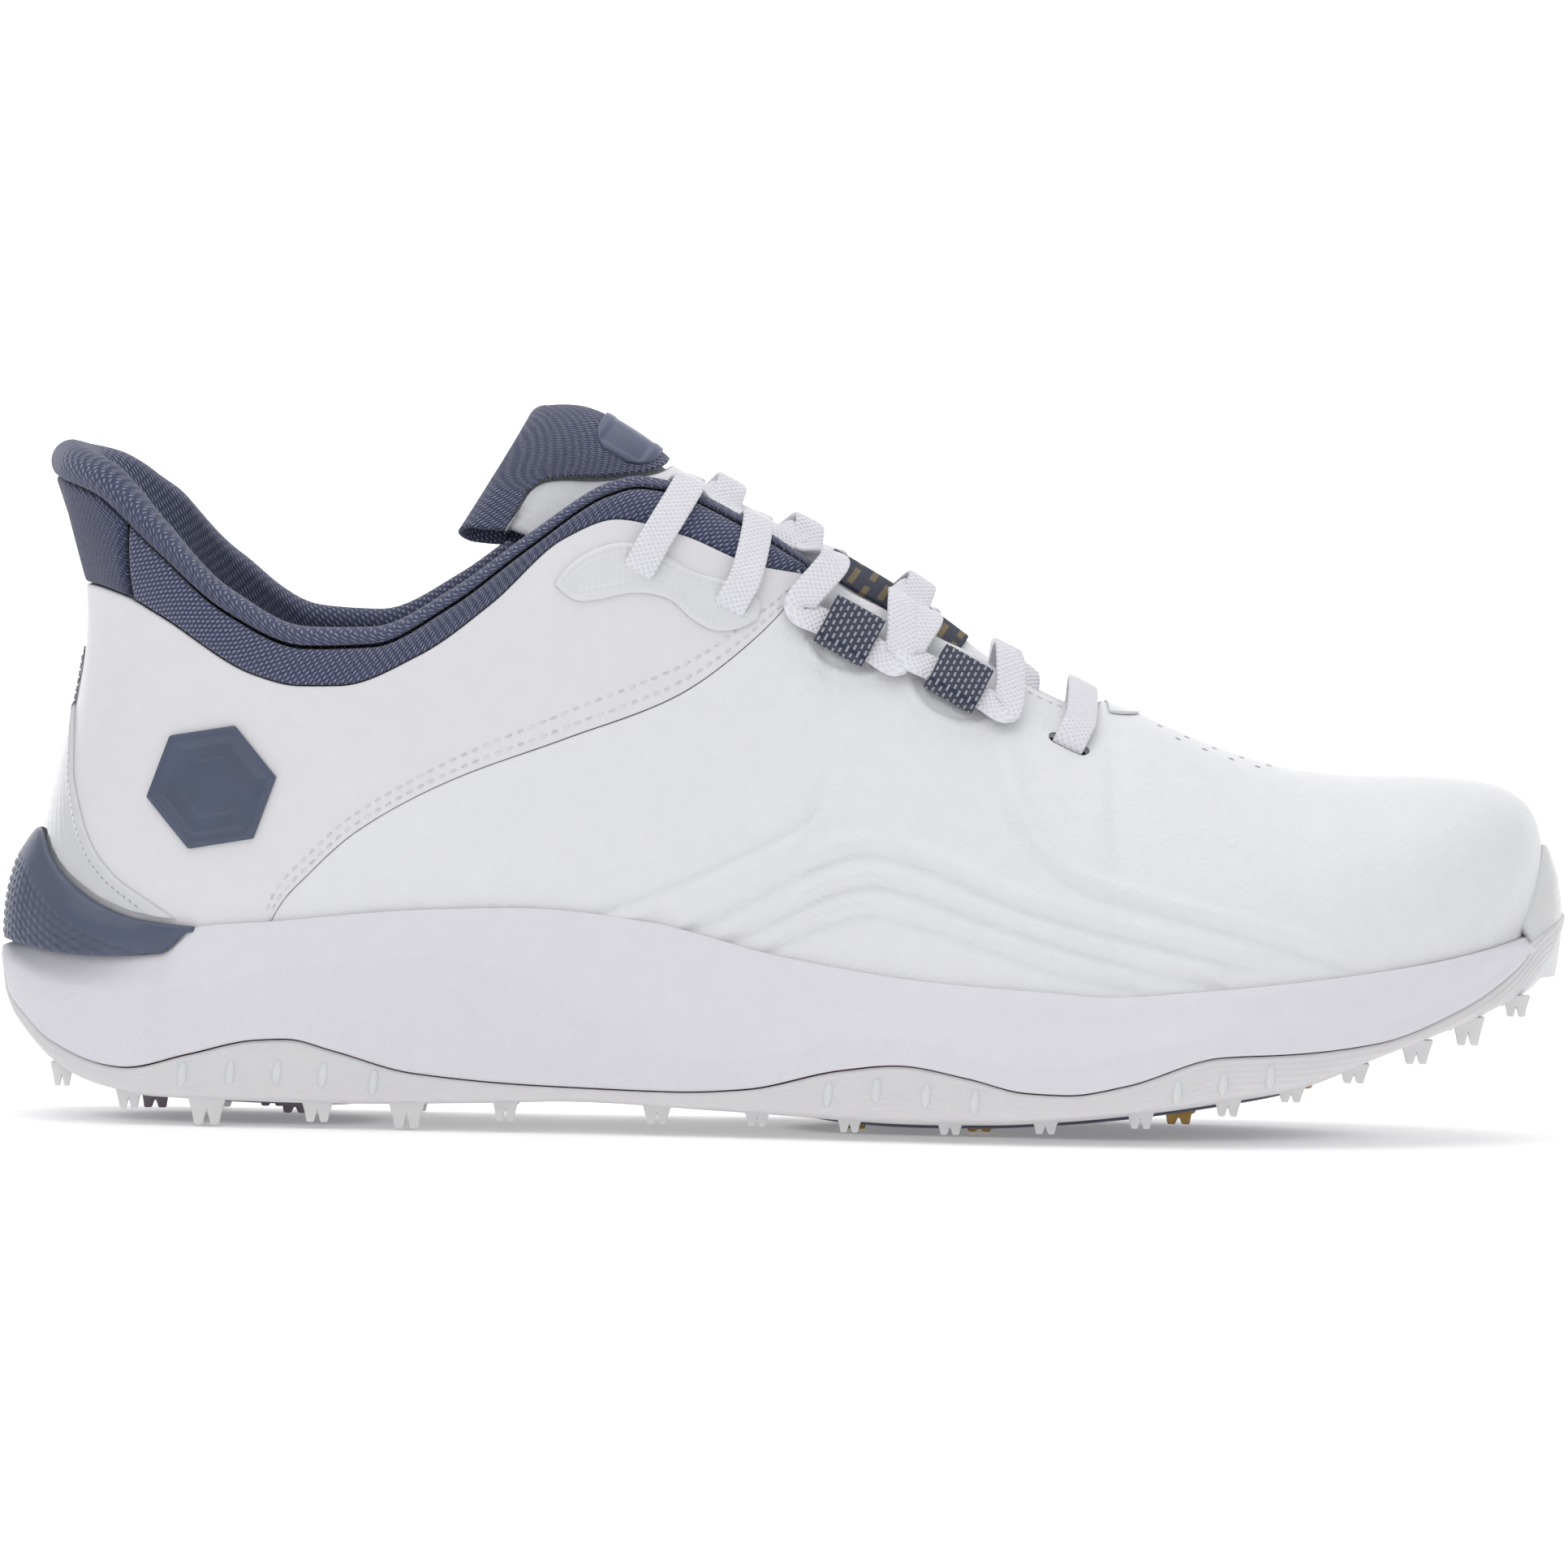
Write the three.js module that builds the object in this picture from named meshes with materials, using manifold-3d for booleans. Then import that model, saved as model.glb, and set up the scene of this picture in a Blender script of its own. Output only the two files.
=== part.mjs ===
// A spikeless golf shoe for the right foot, as an assembly of its separate pieces.
// Pattern frame: X runs from the heel (0) to the toe, Y from the lateral side (-) to the medial side (+),
// Z up from the ground. Millimetres.
import * as THREE from "three";
import { mergeVertices } from "three/addons/utils/BufferGeometryUtils.js";
import Module from "manifold-3d";

const wasm = await Module();
wasm.setup();

// ---------------------------------------------------------------- driving dimensions
const LENGTH = 300; // heel to toe, outside
const WIDTH = 106; // across the ball of the sole
const HEIGHT = 138; // ground to the top of the tongue
const SAMPLE = { length: 300, width: 106, height: 138 }; // the size that the pattern curves are drawn for

const GAP = 0.3; // between pieces that touch
const LEATHER = 1.4; // vamp, quarters and collar band
const OVERLAY = 0.8; // film overlays on the outside
const PUFF = 0.8; // toe puff
const LINING = 0.8; // textile lining
const STIFFENER = 1.4; // heel stiffener
const COLLAR_ROLL = 8; // the padded collar, through its roll
const ROLL_TAPER = 5; // the same at the front end, by the throat
const LINING_DEPTH = 4.4; // from the outside of the upper to the inside of the lining, below the padding
const BOARD = 1.6; // strobel board
const SOCKLINER = 4.2; // insole
const OUTSOLE = 2.6; // outsole through its bottom
const OUTSOLE_LIP = 1.8; // outsole through its side wall
const SHANK = 1.4;
const SHANK_LENGTH = 84;
const SHANK_WIDTH = 30;
const CORE = { length: 58, width: 40, height: 9 }; // soft foam core in the heel
const CORE_WEB = 0.8; // mesh sheet over the core
const LACE = { width: 6.2, thickness: 1.3 };
const SLOT = { length: 8.4, width: 3.6 }; // the punched lace slots
const AGLET = { length: 18, radius: 1.3 };
const LOOP = { width: 10.4, length: 11, height: 3.7, webbing: 0.6 }; // webbing lace loops
const TONGUE = 6; // tongue padding, through the middle
const TONGUE_FACE = 1; // leather on the tongue
const BADGE = { length: 13, width: 26, thickness: 1 };
const LUG = { base: 6, tip: 3.6, depth: 5.4 }; // a lug of the outsole, with two prongs
const TRACTION_LUG = { base: 5.6, tip: 4.2, depth: 3.9, stem: 6.4 }; // the same for the inserts
const PLATE_DEPTH = 1.2; // plates in the outsole's underside

const ROWS = 6; // facets up the side of the upper
const MERGE = 0.03; // facets flatter than this are joined

// ---------------------------------------------------------------- curves
const grade = new THREE.Vector3(LENGTH / SAMPLE.length, WIDTH / SAMPLE.width, HEIGHT / SAMPLE.height);
const mix = (a, b, share) => a + (b - a) * share;
const vec = (x, y, z) => new THREE.Vector3(x, y, z);

// A monotone cubic through keys [[x, value], ...], level beyond its ends.
function curve(keys) {
  const slope = keys.map((key, i) => {
    if (i === 0 || i === keys.length - 1) return 0;
    const before = (key[1] - keys[i - 1][1]) / (key[0] - keys[i - 1][0]);
    const after = (keys[i + 1][1] - key[1]) / (keys[i + 1][0] - key[0]);
    return before * after <= 0 ? 0 : (2 * before * after) / (before + after);
  });
  const chord = (i) => (keys[i + 1][1] - keys[i][1]) / (keys[i + 1][0] - keys[i][0]);
  slope[0] = chord(0);
  slope[keys.length - 1] = chord(keys.length - 2);
  return (x) => {
    if (x <= keys[0][0]) return keys[0][1];
    if (x >= keys.at(-1)[0]) return keys.at(-1)[1];
    const i = keys.findIndex((key) => key[0] > x) - 1;
    const span = keys[i + 1][0] - keys[i][0];
    const s = (x - keys[i][0]) / span;
    return (
      keys[i][1] * (1 + 2 * s) * (1 - s) ** 2 +
      slope[i] * span * s * (1 - s) ** 2 +
      keys[i + 1][1] * s * s * (3 - 2 * s) +
      slope[i + 1] * span * s * s * (s - 1)
    );
  };
}
const graded = (keys, axis) => keys.map(([x, value]) => [x * grade.x, value * (axis ? grade[axis] : 1)]);
const height = (keys) => curve(graded(keys, "z")); // a height over the length
const halfWidth = (keys) => curve(graded(keys, "y")); // a distance from the middle over the length

// A share along the shoe, 0 at one end and 1 at the other, packed towards both ends so that they come out
// round.
const along = (start, end, share) => mix(start, end, (1 - Math.cos(Math.PI * share)) / 2);
const shareOf = (start, end, x) => Math.acos(1 - (2 * (x - start)) / (end - start)) / Math.PI;
const rounded = (start, end, keys, axis) =>
  curve(graded(keys, axis).map(([x, value]) => [shareOf(start, end, x), value]));

// ---------------------------------------------------------------- the sole's pattern
const soleX = (u, heel = 0, toe = 0) => along(heel, LENGTH - toe, u);
const lateralSole = rounded(0, LENGTH, [
  [0, 0], [4, -17], [12, -27], [25, -34], [45, -38], [75, -39], [110, -40], [145, -45], [175, -51.5],
  [200, -54], [225, -53], [250, -46.5], [270, -37], [285, -26], [295, -11], [300, 5],
], "y");
const medialSole = rounded(0, LENGTH, [
  [0, 0], [4, 17], [12, 26], [25, 32.5], [45, 35], [75, 32], [110, 29.5], [145, 33], [175, 42.5],
  [200, 49], [222, 52], [245, 50], [265, 45], [282, 36], [293, 24.5], [300, 5],
], "y");
const soleSide = (u, side) => (side < 0 ? lateralSole(u) : medialSole(u));

const partingLine = height([
  [0, 31], [1.8, 23.6], [5, 19.8], [10.4, 15], [21, 10.8], [25, 10.4], [37, 13.2], [50, 16.2], [56, 16.5],
  [65, 14.4], [80, 10.5], [104, 8.6], [130, 8], [143, 8.8], [161, 12.9], [172, 14.1], [185, 12], [196, 9.5],
  [204, 9.2], [215, 11.1], [233, 16.7], [247, 17.4], [263, 19.4], [279, 25.6], [290, 33], [295, 38.6],
  [300, 42.5],
]);
const treadLine = height([
  [0, 29.5], [1.2, 23.5], [3, 18.9], [6.7, 14.4], [11, 10.6], [16.7, 7.7], [23, 6.1], [30, 5.1], [65, 4.6],
  [92, 5.2], [110, 5.8], [139, 4.7], [175, 3.7], [190, 3.9], [202, 4.6], [215, 5.9], [236, 9], [248, 11],
  [267, 17.9], [288, 25.9], [293, 28.3], [297, 33], [299.2, 39], [300, 42],
]);
const biteLine = height([
  [0, 34], [20, 31.4], [31, 32], [38, 37.2], [52, 38.6], [80, 41.2], [100, 41.8], [122, 39.8], [149, 33.7],
  [177, 29.7], [202, 28], [210, 27.5], [226, 28.7], [261, 32.7], [289, 38.5], [295, 41.5],
]);
const crown = curve(graded([[20, 0], [60, 0.8], [130, 0.8], [180, 2.4], [230, 2.4], [285, 0.6]], "z"));

// ---------------------------------------------------------------- the upper's pattern
// Columns run from the feather line, where the upper meets the board, up to the topline or the spine.
const FEATHER = { heel: 7 * grade.x, toe: 293 * grade.x };
const featherCurve = (keys, axis) => rounded(FEATHER.heel, FEATHER.toe, keys, axis);
const lateralFeather = featherCurve([
  [7, 0], [10, -12], [17, -21.5], [28, -28], [45, -32], [75, -33.5], [110, -34.5], [145, -39], [175, -44.5],
  [200, -47.5], [225, -46.5], [250, -40.5], [268, -32], [282, -20.5], [290, -8.5], [293, 5],
], "y");
const medialFeather = featherCurve([
  [7, 0], [10, 12], [17, 21], [28, 27], [45, 30], [75, 28], [110, 25.5], [145, 28.5], [175, 36.5],
  [200, 42.5], [222, 45], [245, 43.5], [263, 38.5], [278, 30.5], [288, 20], [293, 5],
], "y");
const floorLine = height([
  [7, 28], [40, 25.5], [80, 25], [120, 22.5], [160, 18.5], [200, 16.5], [230, 18.5], [260, 23.5], [280, 28.5],
  [293, 34],
]);
// The top of each column, on the topline, then on the throat's edge, then on the spine: its place along
// the shoe, its distance from the spine, and its height.
const TOPLINE = [
  [7, 8.9, 0, 122.2], [12, 10.8, 11, 121.3], [22, 17.5, 20, 118.6], [36, 29.5, 26, 108], [50, 43, 30, 96.8],
  [65, 58, 33.5, 90.8], [78, 71, 34.5, 91.4], [92, 86, 33.5, 99.4], [105, 100.5, 30.5, 110.6],
  [116, 115, 26, 120.6], [122, 121, 23.6, 122.2], [128, 127.5, 21.6, 121.4], [135, 135.5, 19.8, 118],
  [145, 146, 18.4, 112.2], [157, 157.5, 17.2, 104.9], [170, 170.5, 16.2, 98.6], [183, 183.5, 15, 92],
  [194, 194.5, 13.2, 86.2], [201, 201.3, 10.8, 82.8], [206, 205.8, 7.8, 81.2], [210, 208.8, 4.2, 81.4],
  [213, 210.3, 0, 82.4],
];
const THROAT_END = 213 * grade.x; // the last column on the throat; the spine begins here
const SPINE_START = shareOf(FEATHER.heel, FEATHER.toe, THROAT_END);
const topAlong = curve(
  [...TOPLINE, [224, 221.5], [240, 238], [270, 261], [285, 267.5], [293, 269]].map(([x, place]) => [
    shareOf(FEATHER.heel, FEATHER.toe, x * grade.x),
    place * grade.x,
  ]),
);
const topAcross = featherCurve(TOPLINE.map(([x, , across]) => [x, across]), "y");
const topHeight = featherCurve(TOPLINE.map(([x, , , z]) => [x, z]), "z");
const medialRise = featherCurve([[7, 0], [12, 0.4], [22, 2], [30, 4.6], [38, 6.6], [50, 6], [58, 4.4],
  [68, 2.6],
  [92, 1.5], [105, 1.5], [129, 0]], "z");
const spineLine = height([[210, 82.4], [216, 80.6], [223, 77.6], [236, 72.7], [248, 69.8], [260, 68.8],
  [269, 68.9]]);
const spineAcross = halfWidth([[133, 0], [200, 3], [269, 5]]);
// Bezier handles at the feather and at the top, and the lean of the column at each, in degrees.
const lowHandle = featherCurve([[7, 34], [36, 34], [65, 25], [92, 27], [116, 32], [136, 36], [160, 34],
  [200, 28],
  [240, 27], [270, 28], [293, 31]], "z");
const highHandle = featherCurve([[7, 38], [22, 34], [36, 28], [65, 22], [92, 24], [116, 24], [130, 20],
  [150, 18],
  [190, 18], [213, 22], [240, 27], [270, 27], [293, 26]]);
const lowLean = featherCurve([[7, 8], [36, 10], [92, 6], [136, 2], [160, 3], [200, 10], [240, 13], [270, 13],
  [293, 11]]);
const highLean = featherCurve([[7, -30], [16, -24], [30, -12], [50, 2], [65, 8], [92, 14], [105, 20],
  [116, 28],
  [128, 38], [145, 46], [165, 52], [185, 58], [200, 70], [208, 82], [213, 90], [293, 90]]);

const clampShare = (w) => (w > 1 ? w - 2 : w < -1 ? w + 2 : w);

// The foot of column w: -1..0 is the lateral side from toe to heel, 0..1 the medial side from heel to toe.
function feather(w) {
  const u = Math.abs(w);
  const x = along(FEATHER.heel, FEATHER.toe, u);
  return vec(x, w < 0 ? lateralFeather(u) : medialFeather(u), floorLine(x));
}

// The top of column w, on the topline or on the spine.
function columnTop(w) {
  const u = Math.abs(w);
  const x = topAlong(u);
  if (u >= SPINE_START) return vec(x, spineAcross(x), spineLine(x));
  const side = w < 0 ? -1 : 1;
  return vec(x, spineAcross(x) + side * topAcross(u), topHeight(u) + (side > 0 ? medialRise(u) : 0));
}

// A point on the outside of the upper, t being 0 at the feather and 1 at the top of column w.
function onUpper(w, t) {
  const u = Math.abs(w);
  const low = feather(w);
  const high = columnTop(w);
  const step = 0.01;
  const run = feather(clampShare(w + step)).sub(feather(clampShare(w - step)));
  const inward = vec(run.y, -run.x, 0).normalize();
  const lowAngle = THREE.MathUtils.degToRad(lowLean(u));
  const highAngle = THREE.MathUtils.degToRad(highLean(u));
  const first = low
    .clone()
    .addScaledVector(inward, -Math.sin(lowAngle) * lowHandle(u))
    .add(vec(0, 0, Math.cos(lowAngle) * lowHandle(u)));
  const second = high
    .clone()
    .addScaledVector(inward, -Math.sin(highAngle) * highHandle(u))
    .sub(vec(0, 0, Math.cos(highAngle) * highHandle(u)));
  if (u >= SPINE_START) second.z += spineSlope(high.x) * (second.x - high.x);
  const s = 1 - t;
  return low
    .multiplyScalar(s ** 3)
    .addScaledVector(first, 3 * s * s * t)
    .addScaledVector(second, 3 * s * t * t)
    .addScaledVector(high, t ** 3);
}
const spineSlope = (x) => (spineLine(x + 1) - spineLine(x - 1)) / 2;

// The outward normal of the upper. On the spine it has no sideways part, so that both sides meet.
function upperNormal(w, t) {
  const step = 0.004;
  if (t > 0.9999 && Math.abs(w) >= SPINE_START) {
    const slope = spineSlope(topAlong(Math.abs(w)));
    return vec(-slope, 0, 1).normalize();
  }
  const run = onUpper(clampShare(w + step), t).sub(onUpper(clampShare(w - step), t));
  const rise = onUpper(w, Math.min(1, t + step)).sub(onUpper(w, Math.max(0, t - step)));
  return rise.cross(run).normalize();
}
const below = (w, t, depth) => onUpper(w, t).addScaledVector(upperNormal(w, t), -depth);

// ---------------------------------------------------------------- solids
const material = (color, roughness, metalness = 0) =>
  new THREE.MeshStandardMaterial({ color, roughness, metalness });
const MATERIALS = {
  leather: material(0xe9e9ea, 0.55),
  film: material(0xdfdfe2, 0.45),
  knit: material(0x555c78, 0.95),
  rubber: material(0xe6e4e8, 0.5),
  foam: material(0xe3e0e8, 0.8),
  padding: material(0xc9c9cf, 0.95),
  board: material(0xd8d2c4, 0.9),
  counter: material(0x4c546b, 0.55),
  plate: material(0x3b4258, 0.5),
  traction: material(0xb9963f, 0.4),
  lace: material(0xe6e5ee, 0.85),
};

const shoe = new THREE.Group();

// Adds a piece, given as a geometry or as a manifold-3d solid.
function add(name, shape, look) {
  const geometry = shape.isBufferGeometry ? shape : fromSolid(shape);
  const mesh = new THREE.Mesh(geometry, MATERIALS[look]);
  mesh.name = name;
  shoe.add(mesh);
  return mesh;
}

function fromSolid(solid) {
  const { vertProperties, triVerts, numProp } = solid.simplify(MERGE).getMesh();
  const count = vertProperties.length / numProp;
  const position = new Float32Array(count * 3);
  for (let i = 0; i < count; i++) position.set(vertProperties.subarray(i * numProp, i * numProp + 3), i * 3);
  const geometry = new THREE.BufferGeometry();
  geometry.setAttribute("position", new THREE.BufferAttribute(position, 3));
  geometry.setIndex(new THREE.BufferAttribute(new Uint32Array(triVerts), 1));
  return geometry;
}

function toSolid(geometry) {
  const plain = new THREE.BufferGeometry().setAttribute("position", geometry.getAttribute("position"));
  if (geometry.index) plain.setIndex(geometry.index);
  const merged = mergeVertices(plain, 1e-4);
  const triVerts = new Uint32Array(merged.index.array);
  const vertProperties = merged.attributes.position.array;
  const build = () => new wasm.Manifold(new wasm.Mesh({ numProp: 3, vertProperties, triVerts }));
  const solid = build();
  if (solid.volume() >= 0) return solid;
  for (let i = 0; i < triVerts.length; i += 3)
    [triVerts[i], triVerts[i + 1]] = [triVerts[i + 1], triVerts[i]];
  return build();
}

// A solid between two sheets. Each column holds the same number of outer and inner points. A looped slab
// closes on itself; zipped(c) says that column c's last points meet those of the column across the spine.
function slab(columns, { loop = false, zipped = () => false } = {}) {
  const rows = columns[0].outer.length;
  const points = [];
  const faces = [];
  columns.forEach(({ outer, inner }) => points.push(...outer, ...inner));
  const out = (c, k) => (c % columns.length) * 2 * rows + k;
  const inn = (c, k) => out(c, k) + rows;
  const quad = (a, b, c, d) => faces.push(a, b, c, a, c, d);
  const spans = loop ? columns.length : columns.length - 1;
  for (let c = 0; c < spans; c++) {
    for (let k = 0; k < rows - 1; k++) {
      quad(out(c, k), out(c + 1, k), out(c + 1, k + 1), out(c, k + 1));
      quad(inn(c, k), inn(c, k + 1), inn(c + 1, k + 1), inn(c + 1, k));
    }
    quad(out(c, 0), inn(c, 0), inn(c + 1, 0), out(c + 1, 0));
    const top = rows - 1;
    if (!(zipped(c) && zipped((c + 1) % columns.length)))
      quad(out(c, top), out(c + 1, top), inn(c + 1, top), inn(c, top));
  }
  if (!loop)
    for (let k = 0; k < rows - 1; k++) {
      const last = columns.length - 1;
      quad(out(0, k), out(0, k + 1), inn(0, k + 1), inn(0, k));
      quad(out(last, k), inn(last, k), inn(last, k + 1), out(last, k + 1));
    }
  const position = new Float32Array(points.flatMap((p) => [p.x, p.y, p.z]));
  const geometry = new THREE.BufferGeometry().setAttribute("position", new THREE.BufferAttribute(position,
    3));
  geometry.setIndex(faces);
  return toSolid(geometry);
}

// A wall that runs along +Y through the outline [[x, z], ...]; side -1 or 1 keeps it to that side of the
// spine.
const FAR = 400;
function sidePrism(outline, side = 0, reach = FAR, start = 0) {
  const shape = new THREE.Shape(outline.map(([x, z]) => new THREE.Vector2(x, z)));
  const depth = side ? reach - start : 2 * reach;
  const geometry = new THREE.ExtrudeGeometry(shape, { depth, bevelEnabled: false });
  geometry.rotateX(Math.PI / 2); // (x, z, depth) becomes (x, -depth, z)
  geometry.translate(0, side < 0 ? -start : reach, 0);
  return toSolid(geometry);
}
function planPrism(outline, bottom = -FAR, top = FAR) {
  const shape = new THREE.Shape(outline.map(([x, y]) => new THREE.Vector2(x, y)));
  const geometry = new THREE.ExtrudeGeometry(shape, { depth: top - bottom, bevelEnabled: false });
  geometry.translate(0, 0, bottom);
  return toSolid(geometry);
}
const smooth = (points, count, closed = false) =>
  new THREE.CatmullRomCurve3(points.map(([x, z]) => vec(x * grade.x, 0, z * grade.z)), closed, "centripetal")
    .getPoints(count)
    .slice(0, closed ? count : count + 1)
    .map((p) => [p.x, p.z]);
// The line moved sideways, to the left of its run where distance is positive.
const shifted = (line, distance) =>
  line.map(([x, z], i) => {
    const [ax, az] = line[Math.max(0, i - 1)];
    const [bx, bz] = line[Math.min(line.length - 1, i + 1)];
    const length = Math.hypot(bx - ax, bz - az);
    return [x - (distance * (bz - az)) / length, z + (distance * (bx - ax)) / length];
  });
const intersect = (a, b) => a.intersect(b);

// ---------------------------------------------------------------- the upper's skins
// Columns stand closer where the pattern turns: round the heel and toe, at the collar's front and the
// throat's end.
const COLUMNS = [
  7, 8, 11.5, 17, 25, 35, 46, 57, 68, 80, 92, 102, 110, 117, 123, 130, 139, 148, 157, 168, 180, 191, 199,
  204.5,
  209, 213, 220, 230, 242, 254, 265, 275, 283, 289, 292.2, 293,
];
const shares = COLUMNS.map((x, i) => {
  if (i === 0) return 0;
  return i === COLUMNS.length - 1 ? 1 : shareOf(FEATHER.heel, FEATHER.toe, x * grade.x);
});
const aroundUpper = [...shares.map((u) => -u), ...shares.slice(1, -1).reverse()];
const rowShares = Array.from({ length: ROWS + 1 }, (_, k) => k / ROWS);

// The whole upper between two depths below its outside.
const skin = (outer, inner) =>
  slab(
    aroundUpper.map((w) => ({
      outer: rowShares.map((t) => below(w, t, outer)),
      inner: rowShares.map((t) => below(w, t, inner)),
    })),
    { loop: true, zipped: (c) => Math.abs(aroundUpper[c]) >= SPINE_START },
  );

// Panel lines, seen from the side.
const quarterSeam = smooth([
  [50, 20], [52.5, 38.5], [60, 48.3], [69.3, 56.7], [86.3, 66.2], [108, 74.5], [128, 82.4], [142, 92.6],
  [152.6, 104.6],
  [158, 118],
], 18);
const bandLine = smooth([
  [0, 101], [15.3, 101.8], [22, 100.3], [30, 96.3], [48.6, 85.5], [57, 83.7], [65, 83.9], [80, 90],
  [93.5, 100],
  [107, 112.5], [117, 116.3], [129, 113.6], [143, 108], [154, 106], [164, 104],
], 30);
const overlayLine = smooth([
  [14.3, 89.5], [13.8, 80.6], [14, 66.6], [15.6, 58.8], [18.3, 51.9], [22.8, 46.5], [29.1, 42.3],
  [36.9, 37.1], [44, 30],
], 14);
const aboveSeam = (d) => [...shifted(quarterSeam, d), [150 * grade.x, FAR], [-FAR, FAR], [-FAR, -FAR],
  [quarterSeam[0][0] - d, -FAR]];
const aboveBand = (d) => [...shifted(bandLine, d), [FAR, 104], [FAR, FAR], [-FAR, FAR],
  [-FAR, bandLine[0][1] + d]];
const ahead = (x) => sidePrism([[x, -FAR], [FAR, -FAR], [FAR, FAR], [x, FAR]]);
const behind = (x) => sidePrism([[-FAR, -FAR], [x, -FAR], [x, FAR], [-FAR, FAR]]);
const lower = (z) => sidePrism([[-FAR, -FAR], [FAR, -FAR], [FAR, z], [-FAR, z]]);
const onSide = (side) => sidePrism([[-FAR, -FAR], [FAR, -FAR], [FAR, FAR], [-FAR, FAR]], side, FAR, GAP / 2);
const SIDES = { lateral: -1, medial: 1 };

// ---------------------------------------------------------------- lace stations
// Places on the throat's border where the lace passes, seen from the side: [x, z].
const STATION = {
  top_slot: [121, 106.6],
  second_slot: [138.4, 99.8],
  rear_loop: [160.8, 94.4],
  front_loop: [181.6, 85.4],
  toe_slot: [203.6, 74.6],
};
// Finds the column and the height share of a place on one side of the upper.
function locate([px, pz], side) {
  const x = px * grade.x;
  const z = pz * grade.z;
  let w = side * shareOf(FEATHER.heel, FEATHER.toe, x);
  let t = 0.8;
  for (let pass = 0; pass < 40; pass++) {
    const here = onUpper(w, t);
    const h = 1e-3;
    const dw = onUpper(w + h, t).sub(here).divideScalar(h);
    const dt = onUpper(w, t + h).sub(here).divideScalar(h);
    const det = dw.x * dt.z - dt.x * dw.z;
    w += ((x - here.x) * dt.z - dt.x * (z - here.z)) / det;
    t += (dw.x * (z - here.z) - (x - here.x) * dw.z) / det;
    t = THREE.MathUtils.clamp(t, 0.02, 0.98);
  }
  return { w, t };
}
// A frame on the upper: forward along the throat, up towards its edge, and out.
const THROAT_SLOPE = -0.52 * (grade.z / grade.x);
function stationFrame(place, side) {
  const { w, t } = locate(place, side);
  const out = upperNormal(w, t);
  const forward = vec(1, 0, THROAT_SLOPE).projectOnPlane(out).normalize();
  const up = out.clone().cross(forward).multiplyScalar(-side).normalize();
  return { point: onUpper(w, t), out, forward, up };
}
const at = ({ point, out, forward, up }, f, u, n) =>
  point.clone().addScaledVector(forward, f).addScaledVector(up, u).addScaledVector(out, n);

function slotCutter(frame, grow = 0) {
  const box = new THREE.BoxGeometry(SLOT.length + 2 * grow, SLOT.width + 2 * grow, 30);
  const { point, forward, out } = frame;
  const up = out.clone().cross(forward).normalize();
  box.applyMatrix4(new THREE.Matrix4().makeBasis(forward, up, out).setPosition(point));
  return toSolid(box);
}
const slotPlaces = [STATION.top_slot, STATION.second_slot, STATION.toe_slot];
const slots = Object.values(SIDES).flatMap((side) =>
  slotPlaces.map((place) => slotCutter(stationFrame(place, side))),
);
const cutSlots = (solid) => slots.reduce((left, slot) => left.subtract(slot), solid);

// ---------------------------------------------------------------- upper pieces
const outerSkin = skin(0, LEATHER);
const HEEL_TAB_END = 29 * grade.x;
const COLLAR_END = 157 * grade.x; // last column of the padded collar

function addVamp() {
  let vamp = outerSkin;
  for (const side of Object.values(SIDES)) vamp = vamp.subtract(sidePrism(aboveSeam(-GAP / 2),
    side, FAR, -1));
  add("vamp", cutSlots(vamp), "leather");
}

function addQuarters() {
  for (const [name, side] of Object.entries(SIDES)) {
    const panel = outerSkin
      .intersect(sidePrism(aboveSeam(GAP / 2), side))
      .subtract(sidePrism(aboveBand(-GAP / 2)))
      .intersect(onSide(side));
    add(`quarter_${name}`, cutSlots(panel), "leather");
  }
}

function addCollarBand() {
  const bandRegion = sidePrism(aboveBand(GAP / 2)).intersect(sidePrism(aboveSeam(GAP / 2)));
  const band = cutSlots(outerSkin.intersect(bandRegion));
  add("heel_tab_panel", band.intersect(behind(HEEL_TAB_END - GAP / 2)), "knit");
  for (const [name, side] of Object.entries(SIDES))
    add(`collar_band_${name}`, band.intersect(ahead(HEEL_TAB_END + GAP / 2)).intersect(onSide(side)), "knit");
}

function addReinforcements() {
  const underLeather = LEATHER + GAP;
  const zipped = skin(underLeather, underLeather + PUFF);
  add("toe_puff", zipped.intersect(ahead(262 * grade.x)), "board");
  const heelRegion = sidePrism([
    [-FAR, -FAR], [78 * grade.x, -FAR], [70 * grade.x, 44 * grade.z], [36 * grade.x, 68 * grade.z],
    [-FAR, 76 * grade.z],
  ]);
  add("heel_stiffener", skin(underLeather, underLeather + STIFFENER).intersect(heelRegion), "board");
  const underPuff = underLeather + PUFF + GAP;
  add("vamp_lining", cutSlots(skin(underPuff, underPuff + LINING).intersect(aheadOfCollar())), "knit");
}
// The space ahead of the padded collar's last column, which leans.
const aheadOfCollar = () => {
  const u = shareOf(FEATHER.heel, FEATHER.toe, COLLAR_END);
  const x = Math.max(columnTop(u).x, feather(u).x) + 1.5;
  return ahead(x);
};

// ---------------------------------------------------------------- padded collar
const collarShare = shareOf(FEATHER.heel, FEATHER.toe, COLLAR_END);
const rollThickness = (w) =>
  mix(COLLAR_ROLL, ROLL_TAPER, THREE.MathUtils.smoothstep(Math.abs(w),
    0.35 * collarShare, 0.9 * collarShare));
// The depth of the lining's foot side: full below the roll, thinner lower down.
const liningDepth = (w, t) =>
  mix(LINING_DEPTH, Math.max(LINING_DEPTH, rollThickness(w)), THREE.MathUtils.smoothstep(t, 0.35, 0.8));

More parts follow.
